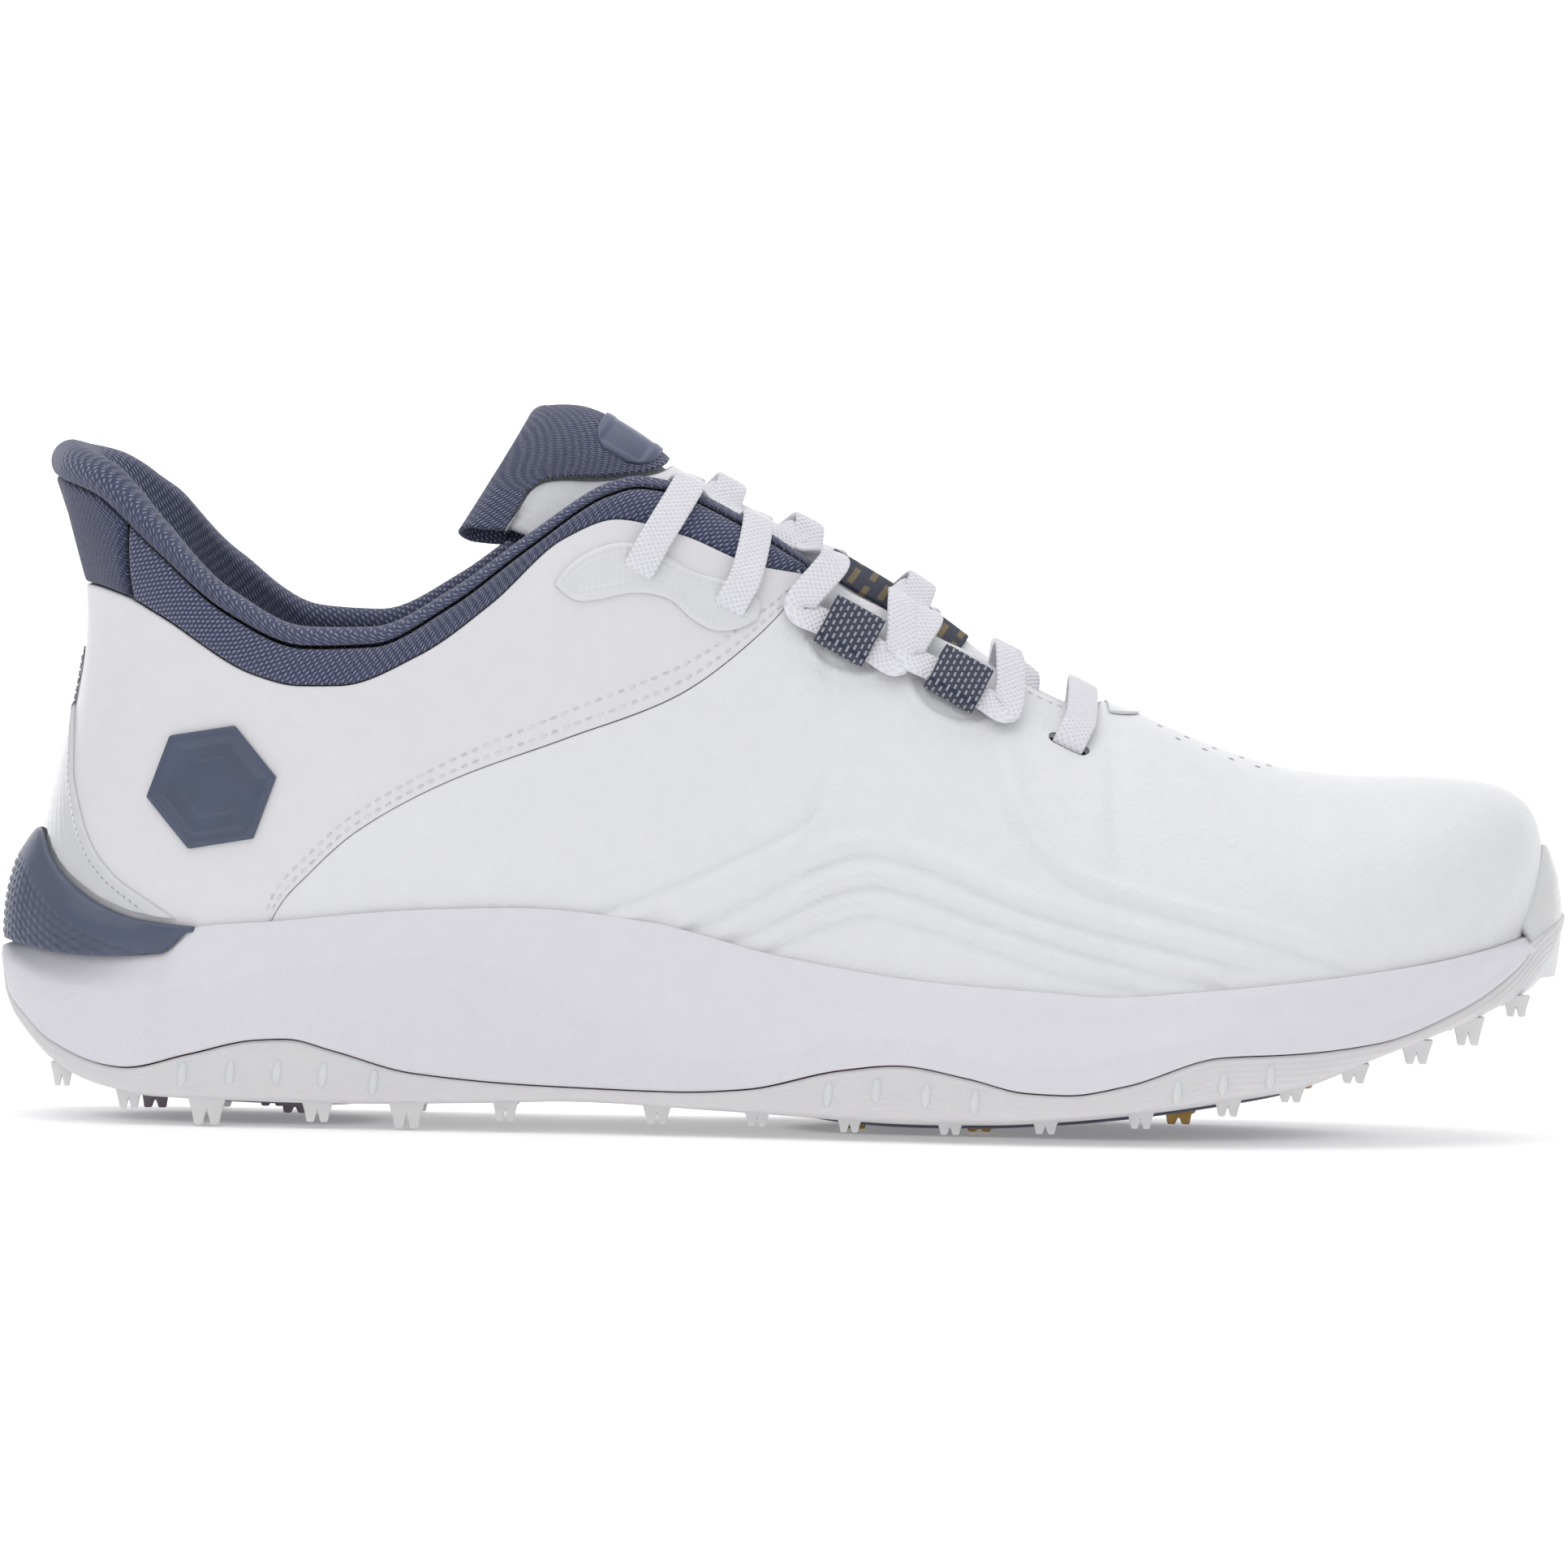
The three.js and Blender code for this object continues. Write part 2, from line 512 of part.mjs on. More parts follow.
// The axis of the roll at column w, with its own outward and upward directions.
function rollAxis(w) {
  const out = upperNormal(w, 1);
  const edge = onUpper(w, 1);
  const up = edge.clone().sub(onUpper(w, 0.97)).normalize();
  const radius = rollThickness(w) / 2;
  return { axis: edge.clone().addScaledVector(out, -radius).addScaledVector(up, 2 * GAP), out, up, radius };
}

const ROLL_STEPS = 4;
const LINING_SHARES = [0.88, 0.72, 0.5, 0.25, 0.01]; // up the column, from the roll down to the board
const inCollar = shares.filter((u) => u < collarShare + 1e-6);
const collarColumns = [...inCollar.slice(1).reverse().map((u) => -u), ...inCollar];

// The roll over the topline, then the lining down to the board; inset moves both towards the padding.
function collarColumn(w, inset) {
  const { axis, out, up, radius } = rollAxis(w);
  const roll = Array.from({ length: ROLL_STEPS + 1 }, (_, i) => {
    const angle = (i / ROLL_STEPS) * Math.PI;
    return axis
      .clone()
      .addScaledVector(out, Math.cos(angle) * (radius - inset))
      .addScaledVector(up, Math.sin(angle) * (radius - inset));
  });
  return [...roll, ...LINING_SHARES.map((t) => below(w, t, liningDepth(w, t) - inset))];
}

function addCollar() {
  const sheet = slab(collarColumns.map((w) => ({ outer: collarColumn(w, 0),
    inner: collarColumn(w, LINING) })));
  add("collar_lining", cutSlots(sheet), "knit");
  const rows = LINING_SHARES.slice(0, 3);
  const foam = slab(
    collarColumns.slice(2, -2).map((w) => ({
      outer: rows.map((t) => below(w, t, LEATHER + 2 * GAP + (t < 0.7 ? STIFFENER : 0))),
      inner: rows.map((t) => below(w, t, liningDepth(w, t) - LINING - 2 * GAP)),
    })),
  );
  add("collar_foam", cutSlots(foam), "padding");
}

// ---------------------------------------------------------------- film overlays
const overlaySkin = skin(-GAP - OVERLAY, -GAP);
const eyestayOutline = smooth([
  [105.2, 103.5], [107.8, 107.1], [113.4, 110.6], [118.5, 111.6], [126, 109.4], [131.2, 106.4], [136, 105],
  [141.2, 103.3], [144.3, 100.4], [143.8, 97.4], [140.6, 95.7], [136, 95.2], [131.6, 97.2], [127, 101],
  [121, 102.2], [109.5, 100.6],
], 28, true);
// A plain hexagonal plate on the lateral quarter, leaning forward.
const EMBLEM = { x: 41, z: 64, across: 25, lean: 0.18 };
const emblemOutline = () =>
  Array.from({ length: 6 }, (_, i) => {
    const angle = (i / 6) * 2 * Math.PI + EMBLEM.lean;
    const r = EMBLEM.across / 2;
    return [EMBLEM.x * grade.x + r * Math.cos(angle), EMBLEM.z * grade.z + r * Math.sin(angle)];
  });
const PATCH = { x: 212, length: 11, width: 17 }; // reinforcement ahead of the throat's end

function addOverlays() {
  const heelRegion = [
    ...overlayLine, [40 * grade.x, -FAR], [-FAR, -FAR], [-FAR, 89.5 * grade.z], [5 * grade.x, 89.5 * grade.z],
  ];
  const heelPiece = overlaySkin.intersect(sidePrism(heelRegion)).intersect(behind(36 * grade.x));
  add("heel_overlay", heelPiece.subtract(sidePrism(counterRegion(2 * GAP))), "film");
  for (const [name, side] of Object.entries(SIDES)) {
    const piece = overlaySkin.intersect(sidePrism(eyestayOutline, side));
    add(`eyestay_overlay_${name}`, cutSlots(piece), "film");
  }
  add("side_emblem", overlaySkin.intersect(sidePrism(emblemOutline(), -1)), "counter");
  const patch = ellipse(PATCH.x * grade.x, spineAcross(PATCH.x), PATCH.length, PATCH.width, 16);
  add("throat_patch", overlaySkin.intersect(planPrism(patch)).intersect(ahead(211 * grade.x)), "film");
}

// ---------------------------------------------------------------- heel counter
const COUNTER_END = 39 * grade.x;
const counterTop = height([[-5, 58], [8.6, 54.7], [11, 50], [14, 46.2], [21.3, 41.2], [28, 39], [38, 38],
  [60, 37.6]]);
const counterRegion = (grow) => {
  const line = Array.from({ length: 14 }, (_, i) => {
    const x = mix(-5, 42, i / 13) * grade.x;
    return [x, counterTop(x) + grow];
  });
  return [...line, [42 * grade.x, -FAR], [-FAR, -FAR], [-FAR, 58 * grade.z + grow]];
};
// The share up column w where the upper is at height z.
function shareAtHeight(w, z) {
  let low = 0;
  let high = 1;
  for (let i = 0; i < 20; i++) {
    const middle = (low + high) / 2;
    if (onUpper(w, middle).z > z) high = middle;
    else low = middle;
  }
  return low;
}
// The same where the upper meets a line given over the length.
function shareAtLine(w, line) {
  let t = 0.3;
  for (let i = 0; i < 8; i++) t = shareAtHeight(w, line(onUpper(w, t).x));
  return t;
}

// A moulded shell that cups the heel, thickest at the back.
const COUNTER_SWELL = [[0, 0.6], [0.12, 1.9], [0.35, 3.7], [0.65, 4.6], [1, 5]];
function addHeelCounter() {
  const end = shareOf(FEATHER.heel, FEATHER.toe, COUNTER_END);
  const count = 9;
  const seat = 2 * GAP + OVERLAY;
  const columns = Array.from({ length: 2 * count + 1 }, (_, i) => {
    const w = ((i - count) / count) * end;
    const fade = 1 - THREE.MathUtils.smoothstep(Math.abs(w), end * 0.5, end);
    const top = onUpper(w, shareAtLine(w, counterTop)).z - GAP;
    const bottom = Math.min(top - 1.2, rimHeight(w) + 3 * GAP);
    const levels = COUNTER_SWELL.map(([share]) => shareAtHeight(w, mix(top, bottom, share)));
    return {
      inner: levels.map((t) => below(w, t, -seat)),
      outer: levels.map((t, k) => below(w, t, -(seat + 0.6 + fade * (COUNTER_SWELL[k][1] - 0.6)))),
    };
  });
  add("heel_counter", slab(columns), "counter");
}

// ---------------------------------------------------------------- sole
const SOLE_STATIONS = 32;
const soleShares = Array.from({ length: SOLE_STATIONS + 1 }, (_, i) => mix(0.035, 0.97, i / SOLE_STATIONS));
const CROSS = [-0.6, 0, 0.6];
const shareOfSole = (x) => shareOf(0, LENGTH, x);

// A point on the sole at share u: cross runs from -1 (lateral) to 1 (medial), pulled in by inset.
function solePoint(u, cross, inset, z) {
  const left = lateralSole(u);
  const right = medialSole(u);
  const half = ((right - left) / 2) * Math.max(0.1, 1 - inset / (48 * grade.y));
  return vec(soleX(u), (left + right) / 2 + cross * half, z);
}
// Height of the outsole's underside at (x, y).
function underside(x, y) {
  const u = shareOfSole(x);
  const cross = (2 * (y - lateralSole(u))) / (medialSole(u) - lateralSole(u)) - 1;
  return treadLine(x) - crown(x) * Math.max(0, 1 - cross * cross);
}
const lipHeight = (x) => Math.max(partingLine(x), treadLine(x) + 1.2);
const floorRoom = (x) => Math.min(OUTSOLE, 0.75 * (lipHeight(x) - treadLine(x)));

// The outsole: a shallow cup. lift raises the inside, and inset pulls it in.
function outsoleSheet(u, inset, rise) {
  const x = soleX(u);
  const tread = treadLine(x);
  const lip = lipHeight(x);
  const wall = (side) => [
    solePoint(u, side, 0.6 + inset, lip),
    solePoint(u, side, 0.2 + inset, mix(tread, lip, 0.45)),
    solePoint(u, side, 2.6 + inset, tread + rise),
  ];
  const floor = CROSS.map((c) => solePoint(u, c, 2.6 + inset, tread + rise - crown(x) * (1 - c * c)));
  return [...wall(-1), ...floor, ...wall(1).reverse()];
}
const outsoleColumn = (u) => ({
  outer: outsoleSheet(u, 0, 0),
  inner: outsoleSheet(u, OUTSOLE_LIP, floorRoom(soleX(u))),
});

// A lug at (x, y), wide at its top and with two prongs at its tip.
function lug(x, y, top, bottom, { base, tip, depth }, size = 1) {
  const b = (base / 2) * size;
  const t = (tip / 2) * size;
  const notch = bottom + 0.4 * (top - bottom);
  const outline = [[-b, top], [-t, bottom], [-0.3 * t, bottom], [0, notch], [0.3 * t, bottom],
    [t, bottom], [b, top]];
  const shape = new THREE.Shape(outline.map(([a, z]) => new THREE.Vector2(a, z)));
  const geometry = new THREE.ExtrudeGeometry(shape, { depth: depth * size, bevelEnabled: false });
  geometry.rotateX(Math.PI / 2);
  geometry.translate(x, y + (depth * size) / 2, 0);
  return toSolid(geometry);
}

// Perimeter lugs: place along the shoe, height of the tip above the ground, and size.
const PERIMETER = [
  [13, 6.4, 0.75], [26, 2.6, 0.9], [41, 0, 1.3], [62, 0.9, 1.1], [79, 0, 1.25], [97.7, 1.7, 0.9],
  [126.5, 1.8, 1],
  [145.5, 1.8, 0.9], [163, 1.2, 0.9], [182, 1.2, 0.95], [200, 1.7, 0.95], [218, 3, 0.95], [234.5, 5.5, 0.95],
  [246.5, 8.2, 0.95], [258.5, 11.8, 1], [270.5, 15.4, 1.05], [280.5, 18.8, 1.05], [290, 24, 0.9],
];
// Moulded inserts with lugs: the plate each stands in, and its place.
const TRACTION = [
  ["fore", 164, -9], ["fore", 188, -12], ["fore", 226, -14], ["fore", 176, 18], ["fore", 204, 22],
  ["fore", 249, 8],
  ["heel", 30, -3], ["heel", 57, -10], ["heel", 52, 12],
];
const TIP_HEIGHT = { fore: height([[160, 0], [200, 0], [226, 2.2], [249, 8.6]]), heel: height([[30, 1.4],
  [57, 1.2]]) };
const PLATES = {
  fore: [
    [152, -3], [160, -18], [188, -24], [222, -26], [244, -15], [258, 4], [254, 20], [236, 30], [208, 34],
    [178, 28],
    [158, 13],
  ],
  heel: [[20, 0], [26, -13], [44, -20], [66, -18], [73, -4], [70, 12], [56, 20], [38, 18], [25, 11]],
};

function plateOutline(name, grow) {
  const points = PLATES[name].map(([x, y]) => vec(x * grade.x, y * grade.y, 0));
  const middle = points.reduce((sum, p) => sum.clone().add(p)).divideScalar(points.length);
  return points.map((p) => p.clone().add(p.clone().sub(middle).setLength(grow))).map((p) => [p.x, p.y]);
}
// The round stem that holds an insert in its plate and in the outsole.
function stemSolid(x, y, low, high, grow = 0) {
  const radius = TRACTION_LUG.stem / 2 + grow;
  const stem = new THREE.CylinderGeometry(radius, radius, high - low, 10);
  stem.rotateX(Math.PI / 2);
  stem.translate(x, y, (low + high) / 2);
  return toSolid(stem);
}
const traction = TRACTION.map(([where, px, py]) => {
  const x = px * grade.x;
  const y = py * grade.y;
  const face = underside(x, y);
  return { where, x, y, face, tip: TIP_HEIGHT[where](x), seat: face + OUTSOLE - 0.8 };
});

const makeTread = () => slab(soleShares.map(outsoleColumn));
function addOutsole() {
  const tread = makeTread();
  let outsole = tread;
  for (const [x, tip, size] of PERIMETER)
    for (const side of [-1, 1]) {
      const place = x * grade.x;
      const { y } = solePoint(shareOfSole(place), side, 7.5, 0);
      outsole = outsole.add(lug(place, y, underside(place, y) + 0.6 * floorRoom(place),
        tip * grade.z, LUG, size));
    }
  outsole = outsole.add(bumper(0));
  for (const name of Object.keys(PLATES)) {
    const above = tread.translate([0, 0, PLATE_DEPTH]);
    const pocketRoof = tread.translate([0, 0, PLATE_DEPTH + GAP]);
    const pocket = planPrism(plateOutline(name, GAP), -20, 30).subtract(pocketRoof);
    let plate = tread.intersect(planPrism(plateOutline(name, 0), -20, 60)).subtract(above);
    for (const { where, x, y } of traction) if (where === name) plate = plate.subtract(stemSolid(x, y, -9,
      60, GAP));
    outsole = outsole.subtract(pocket);
    add(`${name}_plate`, plate, "plate");
  }
  for (const { x, y, seat } of traction) outsole = outsole.subtract(stemSolid(x, y, -9, seat + GAP, GAP));
  add("outsole", outsole, "rubber");
}

function addTractionLugs() {
  const counts = { fore: 0, heel: 0 };
  for (const { where, x, y, face, tip, seat } of traction) {
    counts[where] += 1;
    const body = lug(x, y, face + 0.6, tip, TRACTION_LUG).add(stemSolid(x, y, face - 0.6, seat));
    add(`${where}_insert_${counts[where]}`, body, where === "fore" ? "traction" : "counter");
  }
}

// The part of the outsole that stands up in front of the toe; grow thickens it all round.
const BUMPER_REACH = 0.085; // of the outline's share, to each side of the toe's tip
const BUMPER = [
  [33, 2.1, 4.6], [38, 1, 3.2], [42.5, 0.1, 1.9], [47.2, 0.6, 2], [51.8, 1.4, 2.6], [56.2, 3.2, 3.9],
]; // height, then the inset of its outside and its inside from the sole's outline
function soleRim(w) {
  const u = Math.abs(w);
  return vec(soleX(u), w < 0 ? lateralSole(u) : medialSole(u), 0);
}
function bumper(grow) {
  const count = 5;
  const columns = Array.from({ length: 2 * count + 1 }, (_, i) => {
    const offset = ((i - count) / count) * (BUMPER_REACH + (grow ? 0.012 : 0));
    const w = offset < 0 ? -(1 + offset) : 1 - offset;
    const edge = Math.min(1, Math.abs(offset) / BUMPER_REACH);
    const step = 0.01;
    const run = soleRim(clampShare(w + step)).sub(soleRim(clampShare(w - step)));
    const inward = vec(run.y, -run.x, 0).normalize();
    const low = BUMPER[0][0] * grade.z;
    const rise = (z) => mix(z * grade.z, low + 0.45 * (z * grade.z - low), edge ** 2);
    const sheet = (column, extra) =>
      BUMPER.map((level, k) => {
        const z = rise(level[0]) + (k === BUMPER.length - 1 ? grow : k === 0 ? -3 * grow : 0);
        const inset = column === 1 ? level[1] : mix(level[2], level[1] + 0.6, edge ** 0.7);
        return soleRim(w).addScaledVector(inward, inset + extra).setZ(z);
      });
    return { outer: sheet(1, grow ? -5 : 0), inner: sheet(2, grow) };
  });
  return slab(columns);
}

// Height of the midsole's rim on column w of the upper.
const rimLine = (x) => biteLine(Math.max(0, x - 1));
const rimHeight = (w) => onUpper(w, shareAtLine(w, rimLine)).z;

// The midsole: a cup whose floor carries the board and whose rim holds the upper.
function midsoleColumn(u) {
  const x = soleX(u);
  const lip = lipHeight(x);
  const seat = treadLine(x) + floorRoom(x) + 1.5 * GAP;
  const corner = OUTSOLE_LIP + 3 * GAP;
  const half = (side) => {
    const w = side * u;
    const t = Math.max(0.03, shareAtLine(w, rimLine));
    const [rim, middle, foot] = [t, t / 2, 0].map((share) => below(w, share, -GAP));
    const edge = solePoint(u, side, 0, 0);
    const top = Math.min(lip + GAP, rim.z - 1.6);
    const shoulder = vec(mix(rim.x, edge.x, 0.4),
      mix(rim.y, edge.y, 0.4) + side * 0.6, mix(rim.z, top, 0.16));
    const floorZ = foot.z - BOARD - GAP;
    return {
      outer: [
        vec(rim.x, rim.y + side * 0.8, rim.z),
        shoulder,
        edge.clone().setZ(mix(rim.z, top, 0.62)),
        solePoint(u, side, 0.4, top),
        solePoint(u, side, 0.6 + OUTSOLE_LIP + 2 * GAP, lip + GAP),
        solePoint(u, side, 2.6 + corner, seat + 0.2),
      ],
      inner: [rim, mid(rim, middle), middle, mid(middle, foot), foot, foot.clone().setZ(floorZ)],
      floorZ,
    };
  };
  const left = half(-1);
  const right = half(1);
  const bottom = CROSS.map((c) => solePoint(u, c, 2.6 + corner, seat - crown(x) * (1 - c * c)));
  const floor = CROSS.map((c) => {
    const p = left.inner[5].clone().lerp(right.inner[5], (c + 1) / 2);
    return p.setZ(p.z - FLOOR_DISH * (1 - c * c));
  });
  return {
    outer: [...left.outer, ...bottom, ...right.outer.reverse()],
    inner: [...left.inner, ...floor, ...right.inner.reverse()],
  };
}
const mid = (a, b) => a.clone().add(b).multiplyScalar(0.5);
const FLOOR_DISH = 0.6;

function ellipse(x, y, length, width, count = 20) {
  return Array.from({ length: count }, (_, i) => {
    const angle = (i / count) * 2 * Math.PI;
    return [x + (length / 2) * Math.cos(angle), y + (width / 2) * Math.sin(angle)];
  });
}

const CORE_AT = { x: 43 * grade.x, y: 0 };
const SHANK_AT = { x: 112 * grade.x, y: -4 * grade.y };
function addMidsole() {
  const cup = slab(soleShares.map(midsoleColumn));
  const floorZ = floorLine(CORE_AT.x) - BOARD - GAP - FLOOR_DISH;
  const disc = (shrink, low, high) =>
    planPrism(ellipse(CORE_AT.x, CORE_AT.y, CORE.length - 2 * shrink, CORE.width - 2 * shrink), low, high);
  const shankSeat = treadLine(SHANK_AT.x) + OUTSOLE + 2.4;
  const shank = (grow) =>
    planPrism(
      ellipse(SHANK_AT.x, SHANK_AT.y, SHANK_LENGTH + 2 * grow, SHANK_WIDTH + 2 * grow, 16),
      shankSeat - grow,
      shankSeat + SHANK + grow,
    );
  // The shank lies in a slot that opens into the heel's core pocket.
  const slotEnd = vec(SHANK_AT.x - SHANK_LENGTH / 2 + 6, SHANK_AT.y, 0);
  const coreFloor = Math.min(floorZ - CORE.height, shankSeat + SHANK);
  const mouth = planPrism(
    [[CORE_AT.x, slotEnd.y - 6], [slotEnd.x, slotEnd.y - 6], [slotEnd.x, slotEnd.y + 6],
    [CORE_AT.x, slotEnd.y + 6]],
    shankSeat - GAP,
    coreFloor + 1,
  );
  const tread = makeTread().intersect(ahead(LENGTH - 60));
  const cuts = [disc(0, coreFloor, 90), shank(GAP), mouth, bumper(2.5 * GAP)];
  for (const y of [-GAP, 0, GAP]) cuts.push(tread.translate([0, y, 0]),
    tread.translate([-GAP / 2, y, GAP / 2]));
  // The cuts can leave slivers at the lip, so the largest body is the midsole.
  const bodies = cuts.reduce((left, cut) => left.subtract(cut), cup).decompose();
  bodies.sort((a, b) => b.volume() - a.volume());
  add("midsole", bodies[0], "foam");
  add("shank_plate", shank(0), "plate");
  const webTop = floorZ - GAP;
  const coreTop = webTop - CORE_WEB - GAP;
  add("heel_foam_core", disc(GAP, coreFloor + GAP, coreTop), "padding");
  add("core_web", disc(GAP, webTop - CORE_WEB, webTop), "knit");
}

// ---------------------------------------------------------------- board and insole
function sheetColumn(u, inset, low, high, cup) {
  const side = (w) => {
    const step = 0.01;
    const run = feather(clampShare(w + step)).sub(feather(clampShare(w - step)));
    return feather(w).addScaledVector(vec(run.y, -run.x, 0).normalize(), inset);
  };
  const left = side(-u);
  const right = side(u);
  const sheet = (lift) =>
    [-1, ...CROSS, 1].map((c) => {
      const p = left.clone().lerp(right, (c + 1) / 2);
      const dish = cup * c ** 4 * (1 - THREE.MathUtils.smoothstep(p.x, 60 * grade.x, 150 * grade.x));
      return p.setZ(floorLine(p.x) + lift + dish - FLOOR_DISH * (1 - c * c));
    });
  return { outer: sheet(high), inner: sheet(low) };
}
function addInsole() {
  const sheet = (inset, low, high, cup = 0) =>
    slab(Array.from({ length: 25 }, (_, i) => sheetColumn(mix(0.04, 0.96, i / 24), inset, low, high, cup)));
  add("strobel_board", sheet(0.5, -BOARD, -GAP), "board");
  add("sockliner", sheet(LINING_DEPTH + 1.6, GAP, GAP + SOCKLINER, 2.4), "knit");
}

// ---------------------------------------------------------------- tongue
// The tongue's middle line, from its foot under the vamp to its top, seen from the side.
const tongueLine = new THREE.CatmullRomCurve3(
  [
    [217, 72.2], [207, 76.5], [196, 84.6], [176, 99.3], [163, 107.2], [150, 114.2], [138, 120], [127.5, 126],
    [118, 131.4], [110, 135.4], [103, 136.6],
  ].map(([x, z]) => vec(x * grade.x, 0, z * grade.z)),
  false,
  "centripetal",
);
const tongueHalf = curve([[0, 15], [0.2, 15.5], [0.5, 17], [0.75, 18.4],
  [1, 22]].map(([v, y]) => [v, y * grade.y]));
const tongueDrop = curve([[0, 11], [0.25, 15], [0.5, 19], [0.75, 21],
  [1, 23]].map(([v, z]) => [v, z * grade.z]));
const tongueSweep = curve([[0, 0], [0.6, 0], [0.85, 5 * grade.x], [1, 9 * grade.x]]);

// A point on the tongue: v from its foot to its top, q from -1 to 1 across, depth below its outside.
function onTongue(v, q, depth) {
  const middle = tongueLine.getPointAt(v);
  const run = tongueLine.getTangentAt(v);
  const up = vec(-run.z, 0, run.x).multiplyScalar(run.x < 0 ? -1 : 1).normalize();
  const across = Math.abs(q);
  const slope = (1.8 * tongueDrop(v) * across ** 0.8 * Math.sign(q)) / tongueHalf(v);
  const out = up.clone().add(vec(0, slope, 0)).normalize();
  return middle
    .addScaledVector(up, -tongueDrop(v) * across ** 1.8)
    .add(vec(-tongueSweep(v) * q * q, q * tongueHalf(v) + spineAcross(middle.x), 0))
    .addScaledVector(out, -depth);
}
const ACROSS = [-1, -0.8, -0.55, -0.28, 0, 0.28, 0.55, 0.8, 1];
// A piece of the tongue between two lines over q, at two depths.
function tonguePiece(from, to, steps, outer, inner, reach = 1) {
  return slab(
    Array.from({ length: steps + 1 }, (_, i) => {
      const place = (q) => mix(from(q), to(q), i / steps);
      return {
        outer: ACROSS.map((q) => onTongue(place(q), q * reach, outer)),
        inner: ACROSS.map((q) => onTongue(place(q),
          q * reach, typeof inner === "number" ? inner : inner(place(q), q))),
      };
    }),
  );
}
const level = (v) => () => v;
const tongueShare = (x) => {
  let low = 0;
  let high = 1;
  for (let i = 0; i < 24; i++) {
    const middle = (low + high) / 2;
    if (tongueLine.getPointAt(middle).x > x) low = middle;
    else high = middle;
  }
  return low;
};
const HEAD_PUFF = 0.7; // how far the tongue's knit head stands above its leather face
const STRAP = { from: 184, to: 158, thickness: 0.6, reach: 0.45 };
function addTongue() {
  const headLine = (q) => mix(tongueShare(126.5 * grade.x), 0.968, Math.min(1, Math.abs(q) / 0.8) ** 3);
  const padThickness = (v, q) => mix(TONGUE, 1.6, Math.abs(q) ** 3) * mix(0.4, 1,
    THREE.MathUtils.smoothstep(v, 0, 0.5));
  const top = TONGUE_FACE + GAP;
  const seam = GAP / tongueLine.getLength();
  add("tongue_padding", tonguePiece(level(0), level(0.985), 14, top, (v, q) => top + padThickness(v, q),
    0.96), "padding");
  add("tongue_face", tonguePiece(level(0.015), (q) => headLine(q) - seam, 12, 0, TONGUE_FACE), "leather");
  add("tongue_head", tonguePiece((q) => headLine(q) + seam, level(1), 5, -HEAD_PUFF, TONGUE_FACE), "knit");
  const badgeFoot = tongueShare(123.5 * grade.x);
  const badgeTop = badgeFoot + BADGE.length / tongueLine.getLength();
  const under = -HEAD_PUFF - GAP;
  add("tongue_badge", tonguePiece(level(badgeFoot), level(badgeTop),
    3, under - BADGE.thickness, under, 0.5), "counter");
  const strap = tonguePiece(
    level(tongueShare(STRAP.from * grade.x)),
    level(tongueShare(STRAP.to * grade.x)),
    5,
    -GAP - STRAP.thickness,
    -GAP,
    STRAP.reach,
  );
  add("tongue_strap", strap, "knit");
}

// ---------------------------------------------------------------- lace and loops
const LOOP_LIFT = 0.5;
function addLaceLoops() {
  const { length, height: tall, webbing, width } = LOOP;
  const ring = (grow) => [[-grow, -grow], [length + grow, -grow], [length + grow, tall + grow],
    [-grow, tall + grow]];
  for (const [name, side] of Object.entries(SIDES))
    for (const place of ["rear_loop", "front_loop"]) {
      const { point, out, forward, up } = stationFrame(STATION[place], side);
      const band = new THREE.Shape(ring(0).map(([a, b]) => new THREE.Vector2(a, b)));
      band.holes.push(new THREE.Path(ring(-webbing).map(([a, b]) => new THREE.Vector2(a, b))));
      const geometry = new THREE.ExtrudeGeometry(band, { depth: width, bevelEnabled: false });
      geometry.translate(-length / 2, LOOP_LIFT, -width / 2);
      const depth = up.clone().cross(out);
      if (depth.dot(forward) < 0) depth.negate();
      const basis = new THREE.Matrix4().makeBasis(up, out, up.clone().cross(out));
      geometry.applyMatrix4(basis.setPosition(point));
      add(`lace_${place}_${name}`, geometry, "knit");
    }
}

// Stops of the lace: a place, and the direction that its flat side faces there (either way round).
const stop = (point, face) => ({ point, face: face.clone().normalize() });
const clearOf = LACE.thickness / 2 + GAP;

// From the inside of a slot to its outside; inner tells how deep the lining's foot side lies.
function slotStops(place, side, inner, climb) {
  const frame = stationFrame(place, side);
  const { out, up } = frame;
  const deep = inner + clearOf + 0.7;
  const proud = OVERLAY + GAP + clearOf + 0.2;
  return [
    stop(at(frame, 0, climb, -deep), out),
    stop(at(frame, 0, 3.4, -deep), out),
    stop(at(frame, 0, 0.1, -deep * 0.84), out.clone().add(up)),
    stop(at(frame, 0, -0.5, -deep / 2 + 0.6), up),
    stop(at(frame, 0, -0.2, 1.1), up.clone().sub(out)),
    stop(at(frame, 0, 2.8, proud), out),
    stop(at(frame, 0, 6, proud), out),
  ];
}
// Over the roll at the collar's edge, at place x along the shoe, from outside to inside.
function rollStops(x, side) {
  const u = shareOfTop(x);
  const { axis, out, up, radius } = rollAxis(side * u);
  const reach = radius + clearOf + 0.7;
  return [0.22, 0.5].map((turn) => {
    const angle = turn * Math.PI;
    const face = out.clone().multiplyScalar(Math.cos(angle)).addScaledVector(up, Math.sin(angle));
    return stop(axis.clone().addScaledVector(face, reach), face);
  });
}
// The column whose top lies at place x.
function shareOfTop(x) {
  let low = 0;
  let high = 1;
  for (let i = 0; i < 24; i++) {
    const middle = (low + high) / 2;
    if (topAlong(middle) < x) low = middle;
    else high = middle;
  }
  return low;
}
